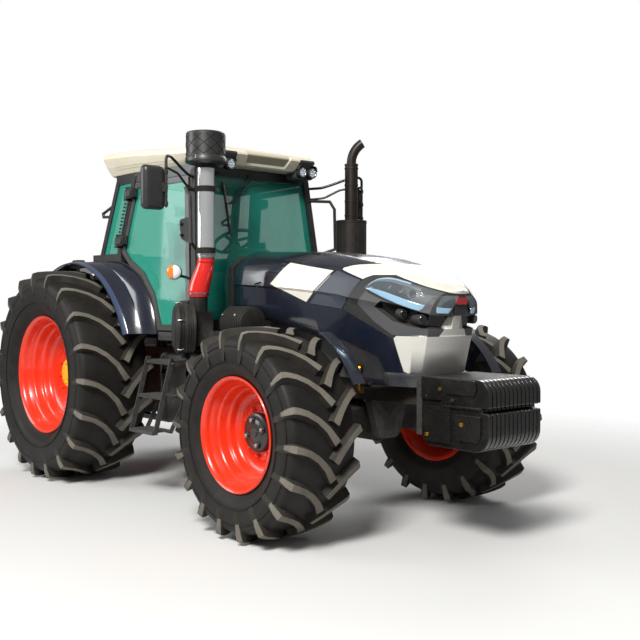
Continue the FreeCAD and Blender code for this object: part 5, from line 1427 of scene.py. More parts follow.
@dataclass
class Bonnet:
    """Bonnet shell with its colour panels, meshes, lamp recess and nose.

    Attributes:
        sections: From back to front, x at the top and foot, then half width and height of deck, shoulder,
            side crease and foot; the crown's height comes third. Metres, x from the rear axle.
        bulge: How far the nose is rounded out in front of the last section.
    """

    sections: tuple[tuple[float, ...], ...] = (
        (1.890, 1.890, 1.962, 0.240, 1.950, 0.400, 1.872, 0.448, 1.700, 0.440, 1.490),
        (2.600, 2.600, 1.935, 0.240, 1.918, 0.385, 1.828, 0.436, 1.660, 0.415, 1.362),
        (3.020, 2.950, 1.888, 0.235, 1.869, 0.362, 1.780, 0.412, 1.620, 0.385, 1.258),
        (3.190, 3.120, 1.855, 0.230, 1.836, 0.350, 1.748, 0.396, 1.590, 0.340, 1.012),
        (3.500, 3.440, 1.782, 0.200, 1.762, 0.305, 1.676, 0.340, 1.540, 0.300, 1.000),
        (3.660, 3.560, 1.715, 0.165, 1.700, 0.268, 1.622, 0.300, 1.505, 0.270, 1.085),
        (3.775, 3.640, 1.640, 0.110, 1.628, 0.205, 1.570, 0.240, 1.490, 0.222, 1.083))
    bulge: float = 0.036

    def row(self, section: Sequence[float]) -> list[Point]:
        """One cross section, from the right foot over the crown to the left foot.

        Args:
            section: Values as in the table.

        Returns:
            Points of the section.
        """
        x_top, x_foot, crown, deck, deck_z, shoulder, shoulder_z, side, side_z, foot, foot_z = section
        line = [(v.x, v.y) for v in smooth_line([(0, crown, 0), (deck * 0.55, crown - 0.004, 0),
                                                 (deck, deck_z, 0), (shoulder, shoulder_z, 0),
                                                 (side, side_z, 0)], 5)]
        for share in (0.06, 0.3, 0.6, 1.0):
            tuck = 0.010 if share < 1.0 else 0.006
            line.append((side + (foot - side) * share - tuck * min(share / 0.06, 1.0),
                         side_z + (foot_z - side_z) * share))
        half = [(x_top + (x_foot - x_top) * (crown - z) / (crown - foot_z), y, z) for y, z in line]
        return [(x, -y, z) for x, y, z in reversed(half[1:])] + half

    def shell(self) -> Form:
        """The bare skin, closed at the nose."""
        columns = list(zip(*self.sections))
        fine = [smooth_line([(v, 0, 0) for v in column], 7) for column in columns]
        rows = [self.row([column[k].x for column in fine]) for k in range(len(fine[0]))]
        last = rows[-1]
        for share in (0.86, 0.70, 0.52, 0.34, 0.16, 0.0):
            rows.append([(x + self.bulge * (1 - share * share), y * share, z) for x, y, z in last])
        return Form().grid(rows, Paint.NAVY)

    def paint(self, target: bpy.types.Object) -> None:
        """Let in the colour panels and meshes.

        Args:
            target: The shell, still drawn from the rear axle.
        """
        side = Axis.Y
        inlay(target, [(3.03, 1.784), (3.24, 1.712), (3.85, 1.55), (3.85, 1.95), (3.03, 1.95)], Paint.CREAM,
              Paint.SEAM, side, 0.003)
        inlay(target, [(2.80, -0.36), (3.034, -0.342), (3.27, -0.215), (3.33, -0.10), (3.33, 0.10),
                       (3.27, 0.215), (3.034, 0.342), (2.80, 0.36)], Paint.NAVY, Paint.SEAM, Axis.Z, 0.003,
              lambda c: c.z > 1.74)
        inlay(target, [(3.07, 1.512), (3.24, 1.722), (3.30, 1.744), (3.452, 1.742), (3.586, 1.696),
                       (3.85, 1.598), (3.85, 1.29), (3.474, 1.315)], Paint.CHEEK, Paint.SEAM, side, 0.003)
        inlay(target, [(3.274, 1.648), (3.198, 1.550), (3.331, 1.426), (3.470, 1.340), (3.85, 1.30),
                       (3.85, 1.60)], Paint.NOSE_FRAME, Paint.CHEEK, side, 0.006, lambda c: c.x > 3.1)
        inlay(target, [(2.499, 1.851), (2.97, 1.782), (2.722, 1.557), (2.327, 1.694)], Paint.CREAM,
              Paint.SEAM, side, 0.004, None, 0.003)
        inlay(target, [(2.990, 1.786), (3.222, 1.712), (3.062, 1.512), (2.746, 1.550)], Paint.BAND,
              Paint.SEAM, side, 0.003)
        # Painted shade: the small handle dent on the bonnet side is painted near-black for the shade inside
        # it.
        inlay(target, [(2.14, 1.700), (2.22, 1.714), (2.25, 1.690), (2.17, 1.664)], Paint.RECESS_BLACK_AND_SHADE,
              Paint.NAVY, side, 0.006, None, -0.008)
        inlay(target, [(2.98, 1.292), (3.03, 1.312), (3.35, 1.195), (3.418, 1.062), (3.402, 1.036),
                       (3.13, 1.056)], Paint.MESH_DARK, Paint.NAVY_SIDE, side, 0.010, None, -0.004)
        inlay(target, [(3.478, 1.322), (3.505, 1.345), (3.85, 1.340), (3.85, 1.06), (3.60, 1.072),
                       (3.539, 1.10)], Paint.MESH_WHITE, Paint.NAVY_SIDE, side, 0.006, None, 0.004)
        inlay(target, [(-0.145, 1.322), (0.145, 1.322), (0.034, 1.472), (-0.034, 1.472)], Paint.MESH_WHITE,
              Paint.MESH_WHITE, Axis.X, 0.0, lambda c: c.x > 3.6)
        inlay(target, [(3.345, 1.53), (3.482, 1.438), (3.608, 1.402), (3.85, 1.366), (3.85, 1.482),
                       (3.575, 1.536), (3.428, 1.588)], Paint.RECESS_BLACK_AND_SHADE, Paint.CHEEK, side, 0.004,
              lambda c: abs(c.y) > 0.034 + (1.470 - c.z) * 0.74, -0.045)

    def apron(self) -> Form:
        """Low corner piece under the mesh."""
        line = [(3.40, 0.312), (3.46, 0.306), (3.56, 0.276), (3.625, 0.246), (3.655, 0.225),
                (3.672, 0.12), (3.676, 0.0)]
        form = Form()
        rows = []
        for z, out in ((1.000, -0.020), (1.003, 0.002), (1.060, 0.012), (1.082, 0.010), (1.094, -0.006),
                       (1.094, -0.040)):
            half = [(x + out * (x - 3.3) * 2.6, y + out, z) for x, y in line]
            rows.append([(x, -y, z) for x, y, z in half] + [(x, y, z) for x, y, z in reversed(half[:-1])])
        return form.grid(rows, Paint.NAVY_SIDE)

    def build(self) -> set[str]:
        """Make the bonnet and return the CAD nodes that it replaces."""
        form = self.shell()
        made = mesh_object("bonnet_shell", form.points, form.faces, Paint.NAVY.material())
        mesh = made.data
        tidy = bmesh.new()
        tidy.from_mesh(mesh)
        bmesh.ops.remove_doubles(tidy, verts=tidy.verts, dist=1e-5)
        bmesh.ops.dissolve_degenerate(tidy, edges=tidy.edges, dist=1e-5)
        bmesh.ops.recalc_face_normals(tidy, faces=tidy.faces)
        tidy.to_mesh(mesh)
        tidy.free()
        self.paint(made)
        mesh.transform(SHIFT)
        sheet = made.modifiers.new("sheet", "SOLIDIFY")
        sheet.thickness, sheet.offset = 0.010, -1.0
        soften(made, 0.0, angle=24)
        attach(made, "bonnet")
        LOG.info("bonnet_shell: %d points", len(mesh.vertices))
        apron = self.apron().moved(SHIFT).build("bonnet_apron", "bonnet", "hood_paint", angle=30, thick=0.010)
        return replace(made, "hood", "nose_grille", "side_grilles") | replace(apron, "hood")


@dataclass
class Headlamps:
    """The two lamps that wrap round the nose, with the work lamps in the recess under them.

    Attributes:
        upper: Upper edge of the right lamp, from its tip to the middle of the nose.
        lower: Lower edge.
        bulge: How far the lens stands out.
    """

    upper: tuple[Point, ...] = ((3.285, -0.378, 1.664), (3.352, -0.334, 1.712), (3.450, -0.300, 1.718),
                                (3.545, -0.272, 1.696), (3.634, -0.240, 1.668), (3.715, -0.190, 1.640),
                                (3.768, -0.115, 1.616), (3.796, -0.028, 1.602))
    lower: tuple[Point, ...] = ((3.292, -0.381, 1.652), (3.360, -0.372, 1.624), (3.428, -0.360, 1.596),
                                (3.505, -0.341, 1.565), (3.585, -0.318, 1.536), (3.668, -0.274, 1.508),
                                (3.738, -0.202, 1.492), (3.780, -0.112, 1.487), (3.798, -0.028, 1.486))
    bulge: float = 0.016

    def spot(self, along: float, down: float, out: float = 0.0) -> Vector:
        """A place on the right lamp.

        Args:
            along: 0 at the tip to 1 at the middle of the nose.
            down: 0 at the upper edge to 1 at the lower.
            out: Distance out of the face.

        Returns:
            The place, measured from the rear axle.
        """
        top, low = smooth_line(self.upper, 8), smooth_line(self.lower, 8)
        at = along * (len(top) - 1)
        k = min(int(at), len(top) - 2)
        a, b = top[k].lerp(top[k + 1], at - k), low[k].lerp(low[k + 1], at - k)
        middle = a.lerp(b, down)
        away = Vector((0.35 + along * 0.9, -1.0 + along * 0.75, 0.12)).normalized()
        ease = min(along / 0.12, 1.0)
        return middle + away * (out + self.bulge * 4 * down * (1 - down) * ease)

    def sheet(self, form: Form, low: float, high: float, out: float, finish: Finish, start: float = 0.0,
              end: float = 1.0) -> None:
        """Add a strip of the lamp's face.

        Args:
            form: Form that takes the strip.
            low: Upper limit of the strip, as down in spot.
            high: Lower limit.
            out: Distance out of the face.
            finish: Its finish.
            start: Start along the lamp.
            end: End along the lamp.
        """
        rows = [[self.spot(start + (end - start) * i / 40, low + (high - low) * j / 6, out)
                 for j in range(7)] for i in range(41)]
        form.grid(rows, finish)

    def build(self) -> set[str]:
        """Make lamps, reflectors and recess lamps."""
        inner = Form()
        self.sheet(inner, 0.0, 1.0, -0.004, Paint.RECESS_BLACK_AND_SHADE)
        for along, size in ((0.30, 0.020), (0.43, 0.024), (0.57, 0.024)):
            centre = self.spot(along, 0.42, 0.001)
            way = Vector((0.6, -0.75, 0.1)).normalized()
            for r0, r1, d0, d1, finish in ((size, size * 0.55, 0.010, -0.008, Paint.REFLECTOR),
                                           (size * 0.55, size * 0.5, -0.008, 0.004, Paint.LENS)):
                inner.rod(centre + way * d0, centre + way * d1, r0, finish, 28, taper=r1 / r0)
        for k in range(34):
            inner.rod(self.spot(0.16 + 0.018 * k, 0.80, 0.0), self.spot(0.16 + 0.018 * k, 0.80, 0.004),
                      0.0042, Paint.REFLECTOR, 10)
        self.sheet(inner, 0.06, 0.20, 0.002, Paint.REFLECTOR, 0.10, 0.62)
        inner.mirror().moved(SHIFT)
        made = inner.build("headlamp_insides", "bonnet", "lamp_lens", angle=30)
        names = replace(made, "headlamps")
        rim = Form()
        self.sheet(rim, 0.74, 1.03, 0.006, Paint.LENS_BLUE)
        self.sheet(rim, -0.03, 0.04, 0.004, Paint.LENS_BLUE, 0.03, 0.5)
        rim.mirror().moved(SHIFT)
        names |= replace(rim.build("headlamp_rims", "bonnet", "lamp_lens", thick=0.006), "headlamps")
        glass = Form()
        self.sheet(glass, 0.0, 0.76, 0.008, Paint.LAMP_GLASS)
        glass.mirror().moved(SHIFT)
        names |= replace(glass.build("headlamp_glasses", "bonnet", "lamp_lens"), "headlamps")
        work = Form()
        for start, end, radius in (((3.510, -0.288, 1.488), (3.566, -0.300, 1.483), 0.032),
                                   ((3.600, -0.235, 1.452), (3.700, -0.262, 1.446), 0.033)):
            a, b = Vector(start), Vector(end)
            work.rod(a, b, radius, Paint.PLASTIC, 28, edge=0.004)
            work.rod(b, b + (b - a).normalized() * 0.006, radius * 0.86, Paint.SCREEN, 28, edge=0.002)
            work.rod(a.lerp(b, 0.5), a.lerp(b, 0.5) + Vector((-0.02, 0.04, -0.03)), 0.009, Paint.STEEL, 12)
        work.mirror().moved(SHIFT)
        names |= replace(work.build("recess_work_lamps", "bonnet", "lamp_lens", angle=30), "headlamps")
        plate = Form()
        plate.prism(rounded_ring([(-0.050, 1.546), (0.050, 1.546), (0.060, 1.590), (-0.060, 1.590)], 0.008),
                    3.780, 3.806, Axis.X, Paint.RED_LENS)
        plate.prism(rounded_ring([(-0.046, 1.480), (0.046, 1.480), (0.066, 1.598), (-0.066, 1.598)], 0.012),
                    3.770, 3.792, Axis.X, Paint.CHEEK)
        made = plate.moved(SHIFT).build("nose_blank_plate", "bonnet", "signal_lens", 0.002)
        return names | replace(made, "headlamps")


@dataclass
class BonnetCatch:
    """Brass over-centre catch at the foot of the bonnet, one a side."""

    x: float = 3.205
    y: float = 0.352

    def build(self) -> set[str]:
        """Make both catches."""
        form = Form()
        x, y = self.x, -self.y
        loop = [(x - 0.012, y - 0.010, 1.070), (x - 0.017, y - 0.014, 1.105), (x, y - 0.014, 1.130),
                (x + 0.017, y - 0.014, 1.105), (x + 0.012, y - 0.012, 1.070), (x + 0.004, y - 0.016, 1.030),
                (x - 0.006, y - 0.016, 1.000), (x - 0.002, y - 0.014, 0.965)]
        form.tube(rounded_line(loop, 0.012), 0.0055, Paint.BRASS, 12)
        form.box((x - 0.020, y - 0.012, 1.112), (x + 0.020, y + 0.006, 1.142), Paint.BRASS)
        form.box((x - 0.018, y - 0.020, 0.940), (x + 0.018, y + 0.020, 0.976), Paint.BRASS)
        form.tube(rounded_line([(x - 0.006, y - 0.018, 0.985), (x + 0.020, y - 0.024, 1.010),
                                (x + 0.016, y - 0.026, 0.960)], 0.01), 0.006, Paint.BRASS, 12)
        form.mirror().moved(SHIFT)
        form.build("bonnet_catches", "tractor", "bright_steel", 0.002)
        return set()


@dataclass
class FrontWeights:
    """Plate weights side by side on the front carrier."""

    count: int = 13
    half: float = 0.268
    gap: float = 0.009
    back: float = 3.692
    front: float = 4.238

    def plate(self) -> list[Plan]:
        """Side view of one plate with its grip slot and rounded nose."""
        x0, x1 = self.back, self.front
        corner = [(x1 - 0.105 + 0.105 * math.sin(t), 0.745 - 0.105 * math.cos(t))
                  for t in (math.pi / 2 * k / 8 for k in range(9))]
        brow = [(x1 - 0.095 + 0.095 * math.cos(t), 0.991 + 0.095 * math.sin(t))
                for t in (math.pi / 2 * k / 8 for k in range(9))]
        return ([(x0, 0.705), (x0 + 0.050, 0.642), (x0 + 0.060, 0.640)] + corner
                + [(x1, 0.876), (x1 - 0.006, 0.882), (x1 - 0.055, 0.884), (x1 - 0.060, 0.892),
                   (x1 - 0.060, 0.904), (x1 - 0.055, 0.912), (x1 - 0.006, 0.914),
                   (x1, 0.920)] + brow + [(x0, 1.086)])

    def build(self) -> set[str]:
        """Make the weights."""
        form = Form()
        pitch = 2 * self.half / self.count
        ring = self.plate()
        for k in range(self.count):
            low = -self.half + k * pitch
            form.prism(ring, low + self.gap / 2, low + pitch - self.gap / 2, Axis.Y, Paint.WEIGHT)
        form.prism([(x * 0.97 + 0.118, z * 0.94 + 0.052) for x, z in ring], -self.half + 0.01,
                   self.half - 0.01, Axis.Y, Paint.SEAM)
        made = form.moved(SHIFT).build("front_weight_plates", "tractor", "cast_black",
                                       fine(0.007), 3, 30)
        names = replace(made, "front_weights")
        face = Form()
        for y in (-self.half - 0.002, self.half + 0.002):
            sign = 1 if y > 0 else -1
            def plate(points: Sequence[Plan], rise: float, finish: Finish = Paint.WEIGHT,
                      turn: float = 0.012) -> None:
                """Raise an outline on the outer plate's face.

                Args:
                    points: Corners in x and z.
                    rise: Height above the face.
                    finish: Finish of the raised part.
                    turn: Radius of the corners.
                """
                ends = sorted((y - 0.004 * sign, y + rise * sign))
                face.prism(rounded_ring(points, turn), ends[0], ends[1], Axis.Y, finish)
            plate([(3.70, 0.94), (3.86, 0.94), (3.90, 0.985), (4.13, 0.985), (4.15, 1.03), (4.13, 1.078),
                   (3.70, 1.078)], 0.008)
            plate([(3.98, 0.70), (4.16, 0.70), (4.18, 0.74), (4.18, 0.86), (3.98, 0.86)], 0.006)
            plate([(3.72, 0.67), (3.94, 0.67), (3.94, 0.90), (3.72, 0.90)], 0.006)
            plate([(3.88, 0.902), (4.178, 0.902), (4.178, 0.912), (3.88, 0.912)], 0.010, Paint.WEIGHT, 0.003)
            plate([(3.90, 1.030), (4.04, 1.030), (4.04, 1.052), (3.90, 1.052)], 0.0095, Paint.SEAM, 0.008)
            out = (0, sign, 0)
            face.bolts([(3.86, y, 1.010), (4.03, y, 0.800), (3.745, y, 0.715)], out, 0.011,
                       0.020, Paint.BRASS)
            face.bolts([(3.745, y, 0.96), (3.96, y, 0.945)], out, 0.009, 0.014, Paint.STEEL)
        names |= replace(face.moved(SHIFT).build("front_weight_faces", "tractor", "cast_black", 0.002),
                         "front_weights")
        return names


# Cab, roof, turn lamps, intake and exhaust


def hinge_x(z: float) -> float:
    """Door hinge line, from the rear axle.

    Args:
        z: Height.

    Returns:
        Place ahead of the rear axle.
    """
    return HINGE_TOP - HINGE_LEAN * (ROOF_LINE - z)


@dataclass
class Roof:
    """Faceted roof moulding with its front facet painted grey as shade, lamp pods and work lamps.

    Attributes:
        front: Front edge, from the rear axle.
        rear: Rear edge.
        half: Half width over the doors.
        front_half: Half width at the front.
        lamps: Work lamps from the middle of the roof.
    """

    front: float = 1.775
    rear: float = 0.215
    half: float = 0.735
    front_half: float = 0.545
    lamps: tuple[float, float] = (0.372, 0.481)

    def level(self, z: float, inset: float, rise: float) -> list[Point]:
        """Outline of the moulding at one height.

        Args:
            z: Height at the front.
            inset: Distance from the widest outline.
            rise: Rise towards the rear.

        Returns:
            Ring of points.
        """
        fh, side = self.front_half - inset, self.half - inset
        right = [(self.front - inset, 0.0), (self.front - inset, fh - 0.060),
                 (self.front - 0.070 - inset, fh), (0.805, side), (self.rear + 0.130 + inset * 0.6, side),
                 (self.rear + inset, side - 0.110), (self.rear - 0.040 + inset, 0.0)]
        ring = right + [(x, -y) for x, y in reversed(right[1:-1])]
        return [(x, y, z + (self.front - x) * rise) for x, y in ring]

    def moulding(self) -> set[str]:
        """Cream shell with a panel let into its front, painted grey as the front facet's shade."""
        form = Form()
        levels = [(2.655, 0.090, 0.0), (2.662, 0.066, 0.0), (2.700, 0.030, 0.02), (2.738, 0.0, 0.05),
                  (2.752, 0.002, 0.05), (2.784, 0.030, 0.05), (2.792, 0.060, 0.05), (2.794, 0.170, 0.05),
                  (2.806, 0.190, 0.05)]
        form.grid([self.level(*level) for level in levels], Paint.ROOF, closed=True, caps=True, smooth=False)
        made = mesh_object("roof_moulding", form.points, form.faces, Paint.ROOF.material())
        # Painted shade: the front facet is let in 10 mm and painted grey where the cream roof is in shade.
        inlay(made, [(-0.205, 2.668), (0.205, 2.668), (0.235, 2.772), (-0.235, 2.772)], Paint.ROOF_SHADE_GREY,
              Paint.ROOF, Axis.X, 0.012, lambda c: c.x > 1.6, -0.010)
        for side in (-1, 1):
            inlay(made, [(0.300 * side, 2.60), (0.560 * side, 2.60), (0.560 * side, 2.755),
                         (0.330 * side, 2.755)], Paint.TRIM_DARK, Paint.SEAM, Axis.X, 0.004,
                  lambda c: c.x > 1.6)
        # Painted shade: a thin grey line round a band along each roof side.
        inlay(made, [(0.50, 2.70), (1.30, 2.69), (1.30, 2.712), (0.50, 2.725)], Paint.ROOF, Paint.ROOF_SHADE_GREY,
              Axis.Y, 0.003, lambda c: abs(c.y) > 0.5)
        made.data.transform(SHIFT)
        soften(made, fine(0.010), 3, 12)
        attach(made, "tractor")
        return replace(made, "cab_roof")

    def pods(self) -> set[str]:
        """Black pods with two round work lamps each."""
        shell, lamp = Form(), Form()
        ring = rounded_ring([(0.318, 2.602), (0.500, 2.600), (0.536, 2.650), (0.522, 2.715), (0.372, 2.728),
                             (0.322, 2.700)], 0.022)
        shell.prism(ring, 1.600, 1.722, Axis.X, Paint.TRIM_DARK)
        shell.prism([((y - 0.43) * 0.93 + 0.43, (z - 2.66) * 0.90 + 2.66) for y, z in ring], 1.716, 1.726,
                    Axis.X, Paint.RECESS_BLACK_AND_SHADE)
        brow = [(y, z) for y, z in ring if z > 2.668]
        shell.grid([[(x, (y - 0.43) * k + 0.43, (z - 2.66) * k + 2.66) for y, z in brow]
                    for x, k in ((1.70, 1.01), (1.762, 1.01), (1.764, 0.97), (1.70, 0.97))], Paint.TRIM_DARK)
        for y in self.lamps:
            centre = (1.722, y, 2.655)
            lamp.turned([(0.0, 0.030), (0.004, 0.044), (0.030, 0.045), (0.036, 0.043), (0.037, 0.039),
                         (0.032, 0.037)], centre, Axis.X, Paint.PLASTIC, 40)
            lamp.turned([(0.030, 0.038), (0.018, 0.030), (0.010, 0.014), (0.009, 0.0)], centre, Axis.X,
                        Paint.REFLECTOR, 40)
            lamp.turned([(0.012, 0.010), (0.026, 0.009), (0.028, 0.0)], centre, Axis.X, Paint.LENS, 20)
            for k in range(8):
                a = 2 * math.pi * k / 8
                lamp.rod((centre[0] + 0.018, y + 0.024 * math.cos(a), 2.655 + 0.024 * math.sin(a)),
                         (centre[0] + 0.030, y + 0.024 * math.cos(a), 2.655 + 0.024 * math.sin(a)), 0.006,
                         Paint.LENS, 10)
            lamp.turned([(0.034, 0.040), (0.037, 0.024), (0.038, 0.0)], centre, Axis.X, Paint.LAMP_GLASS, 40)
        shell.mirror().moved(SHIFT)
        lamp.mirror().moved(SHIFT)
        names = replace(shell.build("roof_lamp_pods", "tractor", "black_plastic", 0.003), "work_lamps")
        return names | replace(lamp.build("roof_work_lamps", "tractor", "lamp_lens", angle=30), "work_lamps")

    def build(self) -> set[str]:
        """Make the roof and its lamps."""
        return self.moulding() | self.pods()


@dataclass
class CabTrim:
    """Hinge blocks, post covers, handles, striker plates and the wiper on the cab."""

    hinge_levels: tuple[float, float] = (2.480, 2.080)

    @staticmethod
    def leaning(corners: Sequence[Plan], z: float) -> list[Plan]:
        """Rounded outline that follows the hinge line.

        Args:
            corners: Distances ahead of the line and above the hinge's middle.
            z: Height of the hinge's middle.

        Returns:
            The outline in x and z.
        """
        return rounded_ring([(hinge_x(z + rise) + ahead, z + rise) for ahead, rise in corners], 0.008)

    def hinges(self) -> None:
        """Chunky hinges outside the rear posts: a fixed half with the pin, and a moving half on the door."""
        fixed = Form()
        for z in self.hinge_levels:
            y = cab_side(hinge_x(z), z)
            ring = self.leaning([(-0.052, -0.030), (-0.020, -0.047), (0.008, -0.046), (0.008, 0.049),
                                 (-0.010, 0.050), (-0.052, 0.034)], z)
            fixed.prism(ring, y + 0.012, y + 0.034, Axis.Y, Paint.PLASTIC)
            fixed.rod((hinge_x(z - 0.056), y + 0.026, z - 0.056),
                      (hinge_x(z + 0.058), y + 0.026, z + 0.058), 0.012, Paint.STEEL, 20, edge=0.003)
        fixed.mirror().moved(SHIFT).build("door_hinge_posts", "tractor", "black_plastic", 0.003)
        for side in (Side.RIGHT, Side.LEFT):
            out = side.value
            form = Form()
            for z in self.hinge_levels:
                x, y = hinge_x(z), cab_side(hinge_x(z), z)
                ring = self.leaning([(0.030, -0.046), (0.105, -0.040), (0.120, 0.0), (0.105, 0.044),
                                     (0.030, 0.048)], z)
                form.prism(ring, (y + 0.012) * out, (y + 0.052) * out, Axis.Y, Paint.PLASTIC)
                inner = [((u - x - 0.070) * 0.72 + x + 0.070, (v - z) * 0.66 + z) for u, v in ring]
                form.prism(inner, (y + 0.050) * out, (y + 0.060) * out, Axis.Y, Paint.PLASTIC)
            form.moved(SHIFT).build("door_hinge_covers_" + side.word, side.door, "black_plastic", 0.003)

    def posts(self) -> None:
        """Ribbed covers on the hinge posts and door handles."""
        form = Form()
        for k in range(9):
            z = 2.40 - 0.030 * k
            x, y = hinge_x(z) - 0.030, cab_side(hinge_x(z), z) + 0.014
            form.box((x - 0.012, -y - 0.008, z - 0.008), (x + 0.012, -y + 0.004, z + 0.008), Paint.PLASTIC)
        form.mirror().moved(SHIFT)
        form.build("post_covers", "tractor", "cab_black", 0.002)
        for side in (Side.RIGHT, Side.LEFT):
            out = side.value
            grip = Form()
            z = 1.53
            x = 1.60
            y = cab_side(x, z) + 0.010
            ring = rounded_ring([(x - 0.135, z - 0.055), (x - 0.120, z - 0.075), (x + 0.060, z - 0.040),
                                 (x + 0.085, z + 0.045), (x - 0.040, z + 0.035),
                                 (x - 0.125, z - 0.010)], 0.016)
            grip.prism(ring, y * out, (y + 0.045) * out, Axis.Y, Paint.PLASTIC)
            grip.prism([((a - x) * 0.6 + x - 0.02, (b - z) * 0.4 + z - 0.012) for a, b in ring],
                       (y + 0.045) * out, (y + 0.050) * out, Axis.Y, Paint.RECESS_BLACK_AND_SHADE)
            grip.rod((x + 0.02, (y + 0.046) * out, z - 0.005), (x + 0.02, (y + 0.054) * out, z - 0.005),
                     0.012, Paint.BRIGHT, 20)
            grip.moved(SHIFT).build("door_handle_" + side.word, side.door, "black_plastic", 0.004)

    def panes(self) -> None:
        """Black borders printed on the side glass, with the striker plate and its two knobs."""
        for side in (Side.RIGHT, Side.LEFT):
            out = side.value
            form = Form()
            corners = [(1.430, 2.215), (1.560, 2.235), (1.590, 2.020), (1.470, 2.060)]
            rows = []
            for push in (0.004, 0.010):
                rows.append([(x, (cab_side(x, z) + push) * out, z) for x, z in rounded_ring(corners, 0.02)])
            form.grid(rows, Paint.PLASTIC, closed=True, caps=True)
            for x, z in ((1.465, 2.180), (1.480, 2.090)):
                y = cab_side(x, z)
                form.rod((x, (y + 0.008) * out, z), (x, (y + 0.026) * out, z), 0.014, Paint.PLASTIC,
                         24, edge=0.003)
            form.moved(SHIFT).build("striker_plate_" + side.word, side.door, "black_plastic", 0.001)

    def wiper(self) -> None:
        """Windscreen wiper with its twin arm."""
        form = Form()
        glass = 0.020
        def on_screen(y: float, z: float, out: float = glass) -> Point:
            """A place in front of the windscreen.

            Args:
                y: Place to the left.
                z: Height.
                out: Distance in front of the glass.

            Returns:
                The place.
            """
            return (screen_x(z) + out, y, z)
        form.tube([on_screen(-0.318, 2.535), on_screen(-0.300, 2.34), on_screen(-0.285, 2.110)], 0.0075,
                  Paint.PLASTIC, 10)
        form.tube([on_screen(-0.318, 2.535, 0.012), on_screen(-0.285, 2.110, 0.012)], 0.006, Paint.SEAL, 8)
        # Painted highlight: a tan strip in front of the arm's upper part.
        form.tube([on_screen(-0.318, 2.540, 0.026), on_screen(-0.303, 2.370, 0.028)], 0.0045,
                  Paint.WIPER_HIGHLIGHT, 8)
        for shift in (0.0, 0.042):
            form.tube([on_screen(-0.300 + shift * 0.6, 2.355, 0.03),
                       on_screen(-0.262 + shift, 2.370, 0.034), on_screen(-0.066 + shift, 2.590, 0.03)],
                      0.0055, Paint.STEEL, 10)
        form.rod(on_screen(-0.045, 2.600, -0.01), on_screen(-0.045, 2.600, 0.045), 0.022, Paint.PLASTIC,
                 24, edge=0.004)
        form.moved(SHIFT).build("windscreen_wiper", "tractor", "black_plastic")

    def build(self) -> set[str]:
        """Make the trim; it takes no node's place."""
        self.hinges()
        self.posts()
        self.panes()
        self.wiper()
        return set()


@dataclass
class TurnLamps:
    """Round lamps on the front posts, half amber and half clear, and small lamps on the fenders."""

    x: float = 1.665
    y: float = 0.850
    z: float = 1.790

    def build(self) -> set[str]:
        """Make the lamps of both sides."""
        form = Form()
        way = Vector((0.72, -0.69, 0.0)).normalized()
        across = way.cross(Vector((0, 0, 1)))
        centre = Vector((self.x, -self.y, self.z))
        up = Vector((0, 0, 1))
        for half, finish in ((-1, Paint.LENS), (1, Paint.AMBER)):
            rows = []
            for out, radius in ((-0.010, 0.055), (0.010, 0.056), (0.022, 0.047), (0.029, 0.026),
                                (0.031, 0.0)):
                rows.append([centre + way * out + (across * math.cos(t) * half + up * math.sin(t)) * radius
                             for t in (math.pi * (k / 16 - 0.5) for k in range(17))])
            form.grid(rows, finish)
        form.rod(centre - way * 0.034, centre - way * 0.008, 0.058, Paint.PLASTIC, 36, edge=0.004)
        form.tube(rounded_line([tuple(centre - way * 0.03), (self.x - 0.03, -self.y + 0.05, self.z - 0.02),
                                (self.x - 0.02, -0.640, self.z - 0.06)], 0.04), 0.011, Paint.PLASTIC, 14)
        form.mirror().moved(SHIFT)
        names = replace(form.build("turn_lamps", "tractor", "signal_lens", 0.001, angle=35), "signal_lamps")
        rear = Form()
        rear.prism(rounded_ring([(-0.070, 1.862), (0.190, 1.868), (0.170, 1.906), (-0.060, 1.902)], 0.012),
                   -0.850, -0.760, Axis.Y, Paint.PLASTIC)
        rear.prism(rounded_ring([(-0.060, 1.900), (0.080, 1.902), (0.060, 1.936), (-0.050, 1.934)], 0.010),
                   -0.838, -0.772, Axis.Y, Paint.PLASTIC)
        rear.box((-0.0745, -0.842, 1.868), (-0.066, -0.768, 1.897), Paint.RED_LENS)
        rear.mirror().moved(SHIFT)
        rear.build("fender_lamps", "tractor", "signal_lens", 0.003)
        return names


